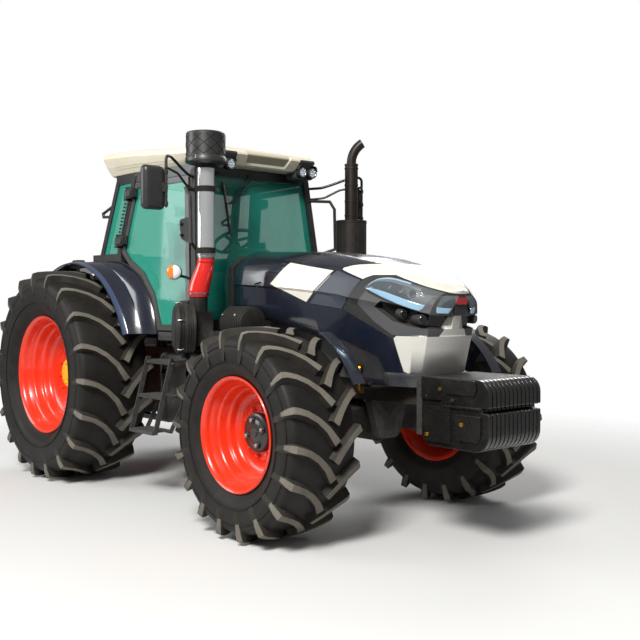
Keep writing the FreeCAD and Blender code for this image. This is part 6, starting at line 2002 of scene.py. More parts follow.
@dataclass
class Intake:
    """Pre-cleaner bowl, bright tube with its black bands and the red hose below.

    Attributes:
        x: Axis of the stack, from the rear axle.
        y: Axis, to the left.
        bands: Middles of the black bands.
    """

    x: float = 1.950
    y: float = -0.750
    bands: tuple[float, ...] = (2.582, 2.406, 1.946)

    def build(self) -> set[str]:
        """Make bowl, tube and hose."""
        at = (self.x, self.y, 0.0)
        bowl = Form()
        bowl.turned([(2.588, 0.070), (2.590, 0.120), (2.600, 0.150), (2.606, 0.154), (2.632, 0.154),
                     (2.640, 0.150), (2.644, 0.147), (2.648, 0.1465), (2.806, 0.1475), (2.818, 0.1465),
                     (2.826, 0.140), (2.829, 0.128), (2.829, 0.0)], at, Axis.Z, Paint.BOWL, 96)
        for turn in (-1, 1):
            for k in range(9):
                line = []
                for j in range(13):
                    a = 2 * math.pi * (k / 9) + turn * j * 0.105
                    line.append((self.x + 0.1472 * math.cos(a), self.y + 0.1472 * math.sin(a),
                                 2.652 + j * 0.0124))
                bowl.tube(line, 0.0022, Paint.SEAM, 6)
        bowl.bolts([(self.x + 0.154 * math.cos(a), self.y + 0.154 * math.sin(a), 2.619)
                    for a in (5.2, 3.1, 1.0)], (0, 0, 1), 0.006, 0.024, Paint.ZINC)
        names = replace(bowl.moved(SHIFT).build("intake_bowl", "tractor", "black_plastic", angle=30),
                        "intake_stack")
        tube = Form()
        tube.turned([(1.898, 0.060), (1.900, 0.066), (2.600, 0.066), (2.602, 0.060)], at, Axis.Z,
                    Paint.CHROME, 72)
        for z in self.bands:
            tube.turned([(z - 0.022, 0.066), (z - 0.020, 0.0715), (z + 0.020, 0.0715), (z + 0.022, 0.066)],
                        at, Axis.Z, Paint.SEAL, 72)
        tube.turned([(1.905, 0.066), (1.907, 0.071), (1.921, 0.071), (1.923, 0.066)], at, Axis.Z,
                    Paint.BRIGHT, 72)
        tube.box((self.x - 0.035, self.y + 0.055, 2.392),
                 (self.x + 0.035, self.y + 0.100, 2.420), Paint.STEEL)
        tube.tube(rounded_line([(self.x, self.y + 0.09, 2.406), (self.x - 0.10, self.y + 0.11, 2.406),
                                (self.x - 0.24, self.y + 0.08, 2.42)], 0.05), 0.012, Paint.STEEL, 12)
        names |= replace(tube.moved(SHIFT).build("intake_tube", "tractor", "bright_steel", angle=30),
                         "intake_stack")
        hose = Form()
        path = smooth_line([(1.950, -0.750, 1.908), (1.950, -0.752, 1.850), (1.944, -0.766, 1.780),
                            (1.932, -0.788, 1.700), (1.926, -0.800, 1.640), (1.925, -0.800, 1.600)], 6)
        radii = [between(((1.59, 0.074), (1.64, 0.078), (1.70, 0.077), (1.78, 0.071), (1.85, 0.062),
                          (1.91, 0.061)), p.z) for p in path]
        hose.tube(path, radii, Paint.HOSE, 40)
        for z, y, x, r in ((1.893, -0.750, 1.950, 0.0625), (1.862, -0.752, 1.950, 0.0635),
                           (1.622, -0.800, 1.925, 0.0785)):
            hose.turned([(z - 0.007, r), (z - 0.006, r + 0.003), (z + 0.006, r + 0.003), (z + 0.007, r)],
                        (x, y, 0.0), Axis.Z, Paint.HOSE if z == 1.862 else Paint.BRIGHT, 48)
        names |= replace(hose.moved(SHIFT).build("intake_red_hose", "tractor", "hose_red"), "intake_hose")
        return names


@dataclass
class AirCleaner:
    """Ribs, cover and clips of the air cleaner's can, over its CAD solid."""

    place: Point = (1.895, -0.905, 1.362)
    radius: float = 0.172
    turn: float = 27.0

    def build(self) -> set[str]:
        """Make the ribs and the cover; they take no node's place."""
        form = Form()
        profile = [(-0.074, 0.160)]
        for k in range(6):
            d = -0.066 + 0.0175 * k
            profile += [(d, self.radius + 0.002), (d + 0.004, self.radius + 0.009),
                        (d + 0.009, self.radius + 0.009), (d + 0.013, self.radius + 0.002)]
        profile += [(0.044, 0.176), (0.048, 0.184), (0.058, 0.184), (0.064, 0.178), (0.074, 0.168),
                    (0.080, 0.150), (0.080, 0.122), (0.074, 0.118), (0.074, 0.060), (0.080, 0.055),
                    (0.083, 0.030), (0.083, 0.0)]
        form.turned(profile, (0, 0, 0), Axis.Y, Paint.PLASTIC, 84, -1)
        for k in range(12):
            a = 2 * math.pi * k / 12
            form.rod((0.066 * math.cos(a), -0.078, 0.066 * math.sin(a)),
                     (0.112 * math.cos(a), -0.078, 0.112 * math.sin(a)), 0.004, Paint.PLASTIC, 8)
        for k in range(5):
            a = 2 * math.pi * k / 5 + 0.35
            c, s = math.cos(a), math.sin(a)
            form.tube(rounded_line([(0.187 * c, -0.020, 0.187 * s), (0.196 * c, -0.040, 0.196 * s),
                                    (0.190 * c, -0.066, 0.190 * s)], 0.01), 0.005, Paint.ZINC, 8)
        change = Matrix.Translation(self.place) @ Matrix.Rotation(math.radians(-self.turn), 4, "Z")
        form.moved(change).moved(SHIFT).build("air_cleaner_can", "tractor", "black_plastic", angle=28)
        return set()


@dataclass
class Exhaust:
    """Bands and clamps on the silencer and its pipe."""

    x: float = 1.950
    y: float = 0.750

    def build(self) -> set[str]:
        """Make the bands; they take no node's place."""
        form = Form()
        at = (self.x, self.y, 0.0)
        for z, r in ((2.235, 0.130), (2.250, 0.130), (1.90, 0.130), (1.62, 0.130)):
            form.turned([(z - 0.005, r), (z - 0.004, r + 0.003), (z + 0.004, r + 0.003), (z + 0.005, r)],
                        at, Axis.Z, Paint.EXHAUST, 72)
        for z in (2.30, 2.42, 2.56, 2.70, 2.732):
            form.turned([(z - 0.006, 0.056), (z - 0.005, 0.0595), (z + 0.005, 0.0595), (z + 0.006, 0.056)],
                        at, Axis.Z, Paint.EXHAUST, 48)
        form.moved(SHIFT).build("exhaust_bands", "tractor", "exhaust_metal")
        return set()


# Fenders, steps, mirrors, seat and what shows below


@dataclass
class Fenders:
    """Rear fenders as smooth shells: a fold beside the wheel house, a crease and a lip painted light blue as
    a highlight.

    Attributes:
        house: Middle and radius of the arc that the door follows, from the rear axle.
        lip: Middle and radius of the outer lip.
        rear: Where the lip ends, in degrees from the front.
        tip: Height of the front tip.
        crown: Part of the way at which the inner edge reaches its top.
        stations: Sections along the fender.
        under: Size of the underside beside the top, about the lip's middle.
    """

    house: Point = (0.500, 1.190, 0.715)
    lip: Point = (0.085, 0.918, 1.000)
    rear: float = 128.0
    tip: float = 1.300
    crown: float = 0.55
    stations: int = 40
    under: float = 0.99

    def section(self, t: float) -> list[Vector]:
        """Line of points across the fender.

        Args:
            t: 0 at the front tip, 1 at the rear.

        Returns:
            Points from the cab outward.
        """
        hx, hz, hr = self.house
        lx, lz, lr = self.lip
        start = math.degrees(math.asin((self.tip - hz) / hr))
        first = math.degrees(math.asin((self.tip - lz) / lr))

        def on_lip(part: float) -> Plan:
            """Place on the lip's arc.

            Args:
                part: 0 at the front tip, 1 at the rear.

            Returns:
                Its x and z.
            """
            a = math.radians(first + (self.rear - first) * part)
            return lx + lr * math.cos(a), lz + lr * math.sin(a)

        out_x, out_z = on_lip(t)
        if t <= self.crown:
            a = math.radians(start + (90.0 - start) * t / self.crown)
            in_x, in_z = hx + hr * math.cos(a), hz + hr * math.sin(a)
        else:
            in_x = out_x + (hx - on_lip(self.crown)[0]) * (1 - t) / (1 - self.crown)
            in_z = min(out_z, hz + hr)
        edge = min(cab_side(in_x, in_z) - 0.002, 0.770)
        inner, fold = Vector((in_x, 0.5353, in_z)), Vector((in_x, edge, in_z))
        crease = Vector((in_x * 0.4 + out_x * 0.6, 0.800, in_z * 0.4 + out_z * 0.6))
        out = Vector((out_x, 0.880, out_z))
        end = Vector((out_x - 0.006, 0.920, out_z - 0.012))
        push = Vector((0.0, 0.006, 0.0))
        return [inner, fold - (fold - inner).normalized() * 0.014, fold.lerp(crease, 0.07),
                fold.lerp(crease, 0.5) + push, fold.lerp(crease, 0.93), crease - push * 0.5,
                crease.lerp(out, 0.07), crease.lerp(out, 0.5) + push * 0.6, crease.lerp(out, 0.93), out, end]

    def build(self) -> set[str]:
        """Make both fenders with their inner trim strip."""
        form = Form()
        rows = []
        trim = []
        for k in range(self.stations + 1):
            line = self.section(k / self.stations)
            middle = self.lip[1]
            under = [Vector((p.x * self.under, p.y, middle + (p.z - middle) * self.under)) for p in line]
            rows.append(line + under[::-1])
            trim.append(line[1] + Vector((0.004, 0.010, 0.004)))
        shell = len(rows[0]) // 2
        form.grid(rows, Paint.FENDER, closed=True, caps=True)
        # Painted highlight: the lip's strip of faces takes a lighter blue for the bright reflection along the
        # rolled lip.
        for index in range(len(form.faces) - 2):
            if index % (2 * shell) == shell - 2:
                form.finish[index] = Paint.FENDER_LIP_HIGHLIGHT
        form.tube(trim[:30], 0.0085, Paint.SEAL, 8)
        form.mirror().moved(SHIFT)
        return replace(form.build("rear_fenders", "tractor", "black_plastic", angle=38), "fenders")


@dataclass
class Steps:
    """Open ladder of three thin treads on each side.

    Attributes:
        x0: Rear edge, from the rear axle.
        length: Length of the treads.
        treads: Outer edge and top of each tread.
        depth: Depth of a tread.
    """

    x0: float = 1.170
    length: float = 0.350
    treads: tuple[Plan, ...] = ((0.800, 1.090), (0.880, 0.820), (0.960, 0.550))
    depth: float = 0.180

    def build(self) -> set[str]:
        """Make the steps of both sides."""
        form = Form()
        x1 = self.x0 + self.length
        for y, z in self.treads:
            for edge in (y - 0.008, y - self.depth):
                form.box((self.x0, edge, z - 0.026), (x1, edge + 0.008, z + 0.003), Paint.STEEL)
            for k in range(8):
                bar = y - 0.022 - 0.020 * k
                form.box((self.x0, bar - 0.0045, z - 0.010), (x1, bar + 0.0045, z), Paint.STEEL)
                for j in range(15):
                    tooth = self.x0 + 0.016 + j * 0.0225
                    form.box((tooth, bar - 0.0045, z - 0.001), (tooth + 0.009, bar + 0.0045, z + 0.004),
                             Paint.BRIGHT_WORN)
            for cross in (self.x0 + 0.09, self.x0 + 0.25):
                form.box((cross, y - self.depth + 0.004, z - 0.016),
                         (cross + 0.010, y - 0.004, z - 0.008), Paint.STEEL)
        bars = [[(0.800, 1.120), (0.960, 0.525), (0.915, 0.525), (0.755, 1.120)],
                [(0.620, 1.120), (0.655, 1.120), (0.655, 0.830), (0.812, 0.540), (0.800, 0.525),
                 (0.780, 0.525), (0.620, 0.820)]]
        for x in (self.x0 - 0.008, x1):
            for bar in bars:
                form.prism(bar, x, x + 0.008, Axis.X, Paint.STEEL)
            form.box((x, 0.600, 1.050), (x + 0.008, 0.790, 1.098), Paint.STEEL)
            form.box((x, 0.600, 0.970), (x + 0.008, 0.660, 1.010), Paint.STEEL)
            form.bolts([(x + 0.008, 0.635, 1.074), (x + 0.008, 0.775, 1.074)], (1, 0, 0), 0.009,
                       0.008, Paint.ZINC)
        form.mirror().moved(SHIFT)
        return replace(form.build("access_steps", "tractor", "black_steel", 0.0015, 1), "steps")


@dataclass
class Mirrors:
    """Mirror heads with rounded shells on bent tubes; the left one is folded.

    Attributes:
        x: Turning axis of the heads, from the rear axle.
        z: Middle of the heads.
        half: Half width and half height.
    """

    x: float = 1.830
    z: float = 2.410
    half: Plan = (0.095, 0.165)

    def head(self) -> Form:
        """The left head before it is folded, about its turning axis."""
        form = Form()
        w, h = self.half
        rows = []
        for x, inset in ((-0.090, 0.010), (-0.086, 0.003), (-0.072, 0.0), (-0.050, 0.004), (-0.034, 0.012),
                         (-0.025, 0.026), (-0.021, 0.048)):
            ring = rounded_ring([(-w + inset, -h + inset), (w - inset, -h + inset), (w - inset, h - inset),
                                 (-w + inset, h - inset)], 0.040, 5)
            rows.append([(x, y, z) for y, z in ring])
        form.grid(rows, Paint.MIRROR_SHELL, closed=True, caps=True)
        glass = rounded_ring([(-w + 0.016, -h + 0.016), (w - 0.016, -h + 0.016), (w - 0.016, h - 0.016),
                              (-w + 0.016, h - 0.016)], 0.030, 4)
        form.prism(glass, -0.0925, -0.088, Axis.X, Paint.MIRROR_GLASS)
        form.prism(rounded_ring([(-w + 0.010, -0.034), (-w + 0.045, -0.034), (-w + 0.045, 0.034),
                                 (-w + 0.010, 0.034)], 0.008), -0.036, -0.002, Axis.X, Paint.PLASTIC)
        form.rod((-0.012, -w + 0.014, -0.148), (-0.012, -w + 0.014, 0.150), 0.011, Paint.STEEL,
                 16, edge=0.003)
        for level in (-0.120, 0.0, 0.115):
            form.rod((-0.012, -w + 0.014, level - 0.014), (-0.012, -w + 0.014, level + 0.014), 0.016,
                     Paint.PLASTIC, 20, edge=0.002)
        return form

    def build(self) -> set[str]:
        """Make both mirrors."""
        form = Form()
        for side, out, fold in ((-1, 1.095, 0.0), (1, 1.000, 48.0)):
            turn = Matrix.Translation((self.x, out, self.z)) @ Matrix.Rotation(math.radians(fold), 4, "Z")
            one = Form().merge(self.head(), turn)
            top = turn @ Vector((-0.012, -self.half[0] + 0.014, 0.150))
            base_x, base_y = screen_x(2.55) + 0.02, cab_side(screen_x(2.55), 2.55) - 0.01
            reach = Vector((top.x - base_x, top.y - base_y, 0.0))
            last = [Vector((top.x, top.y, 2.640)), top]
            for start, stops, ends, radius in (
                    (2.548, ((2.556, 0.25), (2.585, 0.45), (2.655, 0.86)), last, 0.0115),
                    (2.455, ((2.468, 0.30), (2.540, 0.60), (2.560, 0.98)), [], 0.0095)):
                way = [Vector((base_x - 0.02, base_y - 0.01, start))]
                way += [Vector((base_x, base_y, z)) + reach * share for z, share in stops] + ends
                one.tube(rounded_line([tuple(p) for p in way], 0.03), radius, Paint.STEEL, 14)
            one.box((base_x - 0.030, base_y - 0.030, 2.430), (base_x - 0.008, base_y + 0.012, 2.575),
                    Paint.PLASTIC)
            form.merge(one, Matrix.Scale(side, 4, (0, 1, 0)))
        form.moved(SHIFT)
        return replace(form.build("door_mirrors", "tractor", "black_plastic", 0.001, 1, angle=35), "mirrors")


@dataclass
class Seat:
    """Cushion, back rest and head rest: covers swelled by cloth simulation, with sewn channels, on a plate.

    Attributes:
        cell: Size of the cover's mesh cells.
        reach: Farthest that a point of the cover may move.
        steps: Frames of the simulation.
        pressure: Pressure inside the covers.
        stiffness: Resistance of the cover to stretching.
        channel: Half width and depth of a sewn channel.
        piping: Where the edge seam lies, 0 in the middle to 1 at the edge, then half width and depth.
    """

    cell: float = 0.006
    reach: float = 0.022
    steps: int = 20
    pressure: float = 4.0
    stiffness: float = 12.0
    channel: Plan = (0.010, 0.008)
    piping: Point = (0.86, 0.03, 0.005)

    def cover(self, name: str, size: Point, place: Matrix, seams: Sequence[float],
              body: str = "tractor") -> bpy.types.Object:
        """One pad.

        Args:
            name: Piece name.
            size: Width along Y, length along the pad and thickness, at rest.
            place: Where the pad's middle goes and how it leans.
            seams: Sewn channels across the pad, as places from its middle.
            body: Body that it rides on.

        Returns:
            The pad.
        """
        width, length, thick = size
        form = Form()
        rows = []
        for part, inset in ((-0.5, 0.034), (-0.42, 0.012), (-0.22, 0.0), (0.22, 0.0), (0.42, 0.012),
                            (0.5, 0.034)):
            a, b = length / 2 - inset, width / 2 - inset
            pull = 0.010
            corners = [(-a, -b), (0.0, -b + pull), (a, -b), (a - pull, 0.0), (a, b), (0.0, b - pull),
                       (-a, b), (-a + pull, 0.0)]
            rows.append([(x, y, part * thick) for x, y in rounded_ring(corners, 0.045, 4)])
        form.grid(rows, Paint.SEAT, closed=True, caps=True)
        form.moved(place).moved(SHIFT)
        pad = form.build(name, body, "seat_fabric", angle=60)
        self.swell(pad)
        inverse = (SHIFT @ place).inverted()
        forward = SHIFT @ place
        for vertex in pad.data.vertices:
            p = inverse @ vertex.co
            dip = sum(math.exp(-((p.x - seam) / self.channel[0]) ** 2) for seam in seams) * self.channel[1]
            rim = max(abs(p.x) / (length / 2), abs(p.y) / (width / 2))
            dip += self.piping[2] * math.exp(-((rim - self.piping[0]) / self.piping[1]) ** 2)
            if p.z > 0:
                p.z -= dip
            vertex.co = forward @ p
        pad.data.polygons.foreach_set("use_smooth", [True] * len(pad.data.polygons))
        return pad

    def swell(self, pad: bpy.types.Object) -> None:
        """Swell a closed cover with a cloth simulation and keep its result.

        Args:
            pad: Closed cover; it gets the swelled mesh.
        """
        scene = bpy.context.scene
        remesh = pad.modifiers.new("cells", "REMESH")
        remesh.mode, remesh.voxel_size = "VOXEL", self.cell
        self.keep(pad)
        rest = [v.co.copy() for v in pad.data.vertices]
        cloth = pad.modifiers.new("swell", "CLOTH")
        cloth.settings.quality = 5
        cloth.settings.mass = 0.3
        cloth.settings.tension_stiffness = self.stiffness
        cloth.settings.compression_stiffness = self.stiffness
        cloth.settings.bending_stiffness = 0.6
        cloth.settings.use_pressure = True
        cloth.settings.uniform_pressure_force = self.pressure
        cloth.settings.effector_weights.gravity = 0.0
        cloth.point_cache.frame_start, cloth.point_cache.frame_end = 1, self.steps
        for step in range(1, self.steps + 1):
            scene.frame_set(step)
        self.keep(pad)
        scene.frame_set(1)
        farthest = 0.0
        for vertex, start in zip(pad.data.vertices, rest):
            move = vertex.co - start
            farthest = max(farthest, move.length)
            if move.length > self.reach:
                vertex.co = start + move.normalized() * self.reach
        LOG.info("%s: cloth moved a point by up to %.0f mm", pad.name, farthest * 1000)
        round_off = pad.modifiers.new("round", "SUBSURF")
        round_off.levels = round_off.render_levels = 1
        self.keep(pad)

    @staticmethod
    def upright(x: float, z: float) -> Matrix:
        """Place of a pad that stands up and leans back like the back rest.

        Args:
            x: Middle of the pad, from the rear axle.
            z: Height of its middle.

        Returns:
            The matrix.
        """
        lean = math.atan2(0.055, 0.560)
        place = Matrix.Translation((x, 0.0, z)) @ Matrix.Rotation(-(math.pi / 2 + lean), 4, "Y")
        return place @ Matrix.Rotation(math.pi, 4, "Z") @ Matrix.Rotation(math.pi, 4, "X")

    @staticmethod
    def keep(pad: bpy.types.Object) -> None:
        """Make what the modifiers give the pad's own mesh, and take them off.

        Args:
            pad: Object with modifiers.
        """
        depsgraph = bpy.context.evaluated_depsgraph_get()
        mesh = bpy.data.meshes.new_from_object(pad.evaluated_get(depsgraph))
        finish = Paint.SEAT.material()
        pad.modifiers.clear()
        pad.data = mesh
        if not mesh.materials:
            mesh.materials.append(finish)

    def build(self) -> set[str]:
        """Make pads and base."""
        names: set[str] = set()
        cushion = Matrix.Translation((0.735, 0.0, 1.762))
        names |= replace(self.cover("seat_cushion", (0.478, 0.430, 0.080), cushion, (-0.07, 0.05)), "seat")
        back = self.upright(0.530, 2.050)
        names |= replace(self.cover("seat_back", (0.420, 0.500, 0.050), back, (-0.12, 0.0, 0.12)), "seat")
        head = self.upright(0.503, 2.388)
        names |= replace(self.cover("seat_head_rest", (0.220, 0.120, 0.034), head, ()), "seat")
        base = Form()
        base.prism(rounded_ring([(0.520, -0.210), (0.940, -0.210), (0.940, 0.210), (0.520, 0.210)], 0.03),
                   1.702, 1.722, Axis.Z, Paint.PLASTIC)
        for y in (-0.060, 0.060):
            base.rod((0.530, y, 2.290), (0.506, y, 2.360), 0.007, Paint.BRIGHT, 12)
        base.moved(SHIFT)
        return names | replace(base.build("seat_base", "tractor", "black_plastic", 0.002), "seat")


@dataclass
class CabControls:
    """Instrument hood, levers, screen and pedals inside the cab."""

    def build(self) -> set[str]:
        """Make the controls; they take no node's place."""
        form = Form()
        hood = [(1.405, 1.930), (1.500, 2.008), (1.555, 2.000), (1.560, 1.950), (1.480, 1.880)]
        form.prism(rounded_ring(hood, 0.016), -0.170, 0.170, Axis.Y, Paint.PLASTIC)
        form.box((1.398, -0.120, 1.880), (1.404, 0.120, 1.925), Paint.SCREEN)
        for y, x in ((-0.360, 0.720), (-0.395, 0.780), (-0.340, 0.820)):
            form.rod((x, y, 1.925), (x + 0.02, y, 1.995), 0.007, Paint.BRIGHT, 12)
            form.rod((x + 0.018, y, 1.985), (x + 0.026, y, 2.030), 0.016, Paint.PLASTIC, 20, edge=0.005)
        for y in (-0.110, 0.090):
            form.rod((1.330, y, 1.500), (1.300, y, 1.330), 0.010, Paint.STEEL, 12)
            form.box((1.285, y - 0.035, 1.315), (1.315, y + 0.035, 1.345), Paint.PLASTIC)
        form.moved(SHIFT).build("cab_controls", "tractor", "black_plastic", 0.002)
        return set()


@dataclass
class DriveDetails:
    """Cap and straps on the right-hand box, two hydraulic lines, the ribbed housing and its drain valve."""

    def build(self) -> set[str]:
        """Make the details; they take no node's place."""
        form = Form()
        form.rod((1.300, -0.450, 1.135), (1.300, -0.450, 1.160), 0.042, Paint.PLASTIC, 32, edge=0.004)
        for x in (1.140, 1.560, 1.900):
            strap = rounded_ring([(0.298, 0.558), (0.602, 0.558), (0.602, 1.142), (0.298, 1.142)], 0.050, 4)
            rows = [[(x + shift, -y, z) for y, z in strap] for shift in (0.0, 0.024)]
            form.grid(rows, Paint.STEEL, closed=True, smooth=False)
        for y in (-0.20, 0.20):
            line = [(2.35, y, 0.86), (2.60, y * 0.8, 0.90), (2.86, y * 0.8, 0.93), (3.00, y * 0.5, 0.96)]
            form.tube(smooth_line(line, 6), 0.010, Paint.SEAL, 10)
        form.moved(SHIFT).build("frame_details", "tractor", "black_steel", 0.0)
        drum = Form()
        profile = [(0.0, 0.0), (0.0, 0.112), (0.006, 0.122)]
        for k in range(11):
            profile += [(0.012 + 0.022 * k, 0.124), (0.016 + 0.022 * k, 0.133), (0.024 + 0.022 * k, 0.133),
                        (0.028 + 0.022 * k, 0.124)]
        profile += [(0.262, 0.122), (0.268, 0.105), (0.268, 0.0)]
        drum.turned(profile, (1.985, -0.530, 1.395), Axis.X, Paint.PLASTIC, 56)
        drum.turned([(1.200, 0.034), (1.170, 0.030), (1.145, 0.017), (1.118, 0.016), (1.112, 0.024),
                     (1.098, 0.025), (1.096, 0.0)], (1.885, -0.870, 0.0), Axis.Z, Paint.PLASTIC, 28)
        drum.bolts([(2.02, -0.648, 1.462), (2.18, -0.648, 1.462)], (0.0, -1.0, 0.25), 0.008,
                   0.010, Paint.ZINC)
        drum.moved(SHIFT).build("ribbed_housing", "tractor", "black_plastic", angle=28)
        return set()


PARTS = ([Wheel(front, side) for front in (True, False) for side in Side]
         + [Bonnet(), Headlamps(), BonnetCatch(), FrontWeights(), Roof(), CabTrim(), TurnLamps(), Fenders(),
            Steps(), Mirrors(), Seat(), CabControls(), DriveDetails(), Intake(), AirCleaner(), Exhaust()])


# Carried-over CAD nodes


NODE_PAINT: dict[str, tuple[Finish, float]] = {
    "front_axle": (Paint.CAST, 0.006), "rear_axle": (Paint.CAST, 0.006), "front_frame": (Paint.CAST, 0.005),
    "engine": (Paint.CAST, 0.010), "radiator": (Paint.PLASTIC, 0.004), "transmission": (Paint.CAST, 0.012),
    "knuckle_right": (Paint.CAST, 0.006), "knuckle_left": (Paint.CAST, 0.006),
    "hitch_frame": (Paint.STEEL, 0.004), "drawbar": (Paint.STEEL, 0.004), "lift_arms": (Paint.STEEL, 0.005),
    "lift_rods": (Paint.STEEL, 0.002), "lower_links": (Paint.STEEL, 0.004),
    "top_link": (Paint.STEEL, 0.002),
    "pto_shaft": (Paint.BRIGHT, 0.001), "cab_frame": (Paint.CAB, 0.006), "cab_floor": (Paint.CAB, 0.006),
    "windscreen": (Paint.GLASS_CLEAR, 0.0), "rear_glass": (Paint.GLASS, 0.0),
    "door_right": (Paint.CAB, 0.006), "door_left": (Paint.CAB, 0.006),
    "door_glass_right": (Paint.GLASS, 0.0), "door_glass_left": (Paint.GLASS, 0.0),
    "console": (Paint.TRIM, 0.02), "steering_wheel": (Paint.WHEEL, 0.003), "seat": (Paint.SEAT, 0.03),
    "cab_roof": (Paint.ROOF, 0.012), "fenders": (Paint.FENDER, 0.004), "hood": (Paint.NAVY, 0.0),
    "nose_grille": (Paint.MESH_WHITE, 0.0), "side_grilles": (Paint.MESH_DARK, 0.0),
    "headlamps": (Paint.LENS, 0.0),
    "front_weights": (Paint.WEIGHT, 0.006), "intake_stack": (Paint.CHROME, 0.002),
    "intake_hose": (Paint.HOSE, 0.0),
    "air_cleaner": (Paint.PLASTIC, 0.004), "exhaust": (Paint.EXHAUST, 0.003),
    "fuel_tank": (Paint.PLASTIC, 0.0),
    "battery_box": (Paint.PLASTIC, 0.0), "steps": (Paint.STEEL, 0.003), "mirrors": (Paint.PLASTIC, 0.004),
    "handrails": (Paint.STEEL, 0.0), "work_lamps": (Paint.PLASTIC, 0.004),
    "signal_lamps": (Paint.AMBER, 0.003),
    "wing_right": (Paint.FENDER, 0.004), "wing_left": (Paint.FENDER, 0.004),
    "front_tyre_right": (Paint.RUBBER, 0.0), "front_tyre_left": (Paint.RUBBER, 0.0),
    "rear_tyre_right": (Paint.RUBBER, 0.0), "rear_tyre_left": (Paint.RUBBER, 0.0),
    "front_rim_right": (Paint.RIM, 0.0), "front_rim_left": (Paint.RIM, 0.0),
    "rear_rim_right": (Paint.RIM, 0.0), "rear_rim_left": (Paint.RIM, 0.0),
    "front_hub_right": (Paint.HUB_BLACK, 0.003), "front_hub_left": (Paint.HUB_BLACK, 0.003),
    "rear_hub_right": (Paint.HUB_YELLOW, 0.003), "rear_hub_left": (Paint.HUB_YELLOW, 0.003),
}


def dress_all_nodes(replaced: set[str]) -> None:
    """Give every CAD node its finish, also those that a piece of the scene takes the place of.

    Args:
        replaced: Nodes that are not shown, and so get no soft edges.
    """
    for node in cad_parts:
        finish, bevel = NODE_PAINT[node]
        dress_node(node, finish, 0.0 if node in replaced else fine(bevel))


# Stage, light and camera


@dataclass(frozen=True)
class View:
    """Camera of the photograph, in the row frame.

    Attributes:
        place: Camera position in metres.
        azimuth: Degrees from +Y towards -X.
        pitch: Degrees up.
        roll: Degrees, clockwise.
        lens: Focal length in millimetres on a 36 mm sensor.
    """

    place: Point = (6.244, -4.730, 1.568)
    azimuth: float = 48.616
    pitch: float = -1.172
    roll: float = 0.031
    lens: float = 52.29

    def build(self) -> bpy.types.Object:
        """Add the camera and make it the scene's."""
        a, e = math.radians(self.azimuth), math.radians(self.pitch)
        ahead = Vector((-math.sin(a) * math.cos(e), math.cos(a) * math.cos(e), math.sin(e)))
        right = Vector((math.cos(a), math.sin(a), 0.0))
        up = right.cross(ahead)
        turn = Matrix((right, up, -ahead)).transposed()
        data = bpy.data.cameras.new("photo view")
        data.lens, data.sensor_width, data.clip_end = self.lens, 36.0, 200.0
        camera = bpy.data.objects.new("photo view", data)
        roll = Matrix.Rotation(math.radians(self.roll), 3, "Z")
        camera.matrix_world = Matrix.Translation(self.place) @ (turn @ roll).to_4x4()
        bpy.context.scene.collection.objects.link(camera)
        bpy.context.scene.camera = camera
        LOG.info("camera at %s", self.place)
        return camera


@dataclass(frozen=True)
class SoftLight:
    """One area light that looks at the tractor.

    Attributes:
        name: Light name.
        place: Position in metres.
        size: Edge of the square in metres.
        power: Watts.
        colour: Light colour.
    """

    name: str
    place: Point
    size: float
    power: float
    colour: tuple[float, float, float] = (1.0, 1.0, 1.0)

    def build(self) -> None:
        """Add the light."""
        data = bpy.data.lights.new(self.name, "AREA")
        data.size, data.energy, data.color = self.size, self.power, self.colour
        lamp = bpy.data.objects.new(self.name, data)
        lamp.location = self.place
        lamp.rotation_euler = (Vector((0, 0, 1.3)) - Vector(self.place)).to_track_quat("-Z", "Y").to_euler()
        bpy.context.scene.collection.objects.link(lamp)


LIGHTS = [
    SoftLight("key", (5.5, -7.5, 9.0), 3.0, 1750.0, (1.0, 0.985, 0.96)),
    SoftLight("side", (-6.0, -8.5, 5.0), 5.0, 450.0, (0.96, 0.98, 1.0)),
    SoftLight("back", (-4.0, 8.0, 8.0), 6.0, 600.0),
]
AMBIENT = 0.25
FLOOR_RADIUS, FLOOR_SIDES = 9.0, 48
FADE_END, FADE_WIDTH = 6.5, 3.0
BACKDROP = (1.0, 1.0, 1.0, 1.0)


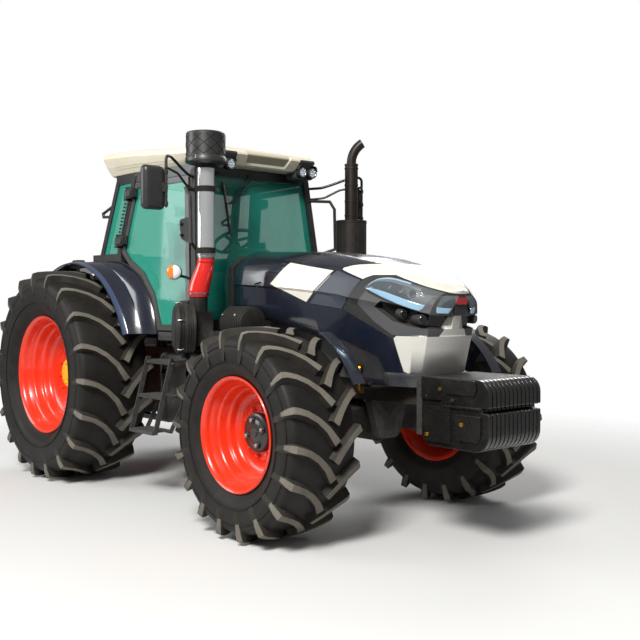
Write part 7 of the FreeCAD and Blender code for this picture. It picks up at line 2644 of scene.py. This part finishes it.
def build_world() -> None:
    """White where the camera or a pane looks past the tractor, and an even softer light."""
    world = bpy.data.worlds.new("studio")
    world.use_nodes = True
    world.node_tree.nodes.clear()
    n = Nodes(world.node_tree)
    light = n.add("Background", {"Color": (0.97, 0.98, 1.0, 1.0), "Strength": AMBIENT})
    seen = n.add("Background", {"Color": BACKDROP, "Strength": 1.0})
    path = n.add("LightPath").outputs
    mixed = n.add("MixShader", {0: n.math("MAXIMUM", path["Is Camera Ray"], path["Is Transmission Ray"])})
    world.node_tree.links.new(light.outputs[0], mixed.inputs[1])
    world.node_tree.links.new(seen.outputs[0], mixed.inputs[2])
    out = n.add("OutputWorld")
    world.node_tree.links.new(mixed.outputs[0], out.inputs["Surface"])
    bpy.context.scene.world = world


def build_floor() -> None:
    """Pale floor under the tractor that fades out into the backdrop."""
    made, n = fresh_material("studio floor")
    place = n.add("SeparateXYZ", {0: n.add("TexCoord").outputs["Object"]}).outputs
    reach = n.math("SQRT", n.math("ADD", n.math("POWER", place["X"], 2.0), n.math("POWER", place["Y"], 2.0)))
    fade = n.math("DIVIDE", n.math("SUBTRACT", FADE_END, reach), FADE_WIDTH, clamp=True)
    shader = n.add("BsdfPrincipled", {"Base Color": srgb("d8d8d6"), "Roughness": 0.85})
    made.node_tree.links.new(fade, shader.inputs["Alpha"])
    out = n.add("OutputMaterial")
    made.node_tree.links.new(shader.outputs[0], out.inputs["Surface"])
    turns = [2 * math.pi * k / FLOOR_SIDES for k in range(FLOOR_SIDES)]
    ring = [(FLOOR_RADIUS * math.cos(t), FLOOR_RADIUS * math.sin(t), 0.0) for t in turns]
    floor = mesh_object("floor", ring, [tuple(range(FLOOR_SIDES))], made)


def main() -> None:
    """Build the tractor's looks, the stage and the camera."""
    logging.basicConfig(level=logging.INFO, format="%(message)s")
    replaced: set[str] = set()
    for part in PARTS:
        replaced |= part.build()
    dress_all_nodes(replaced)
    build_floor()
    for light in LIGHTS:
        light.build()
    build_world()
    bpy.context.scene.view_settings.view_transform = "Standard"
    View().build()


if __name__ == "__main__":
    main()
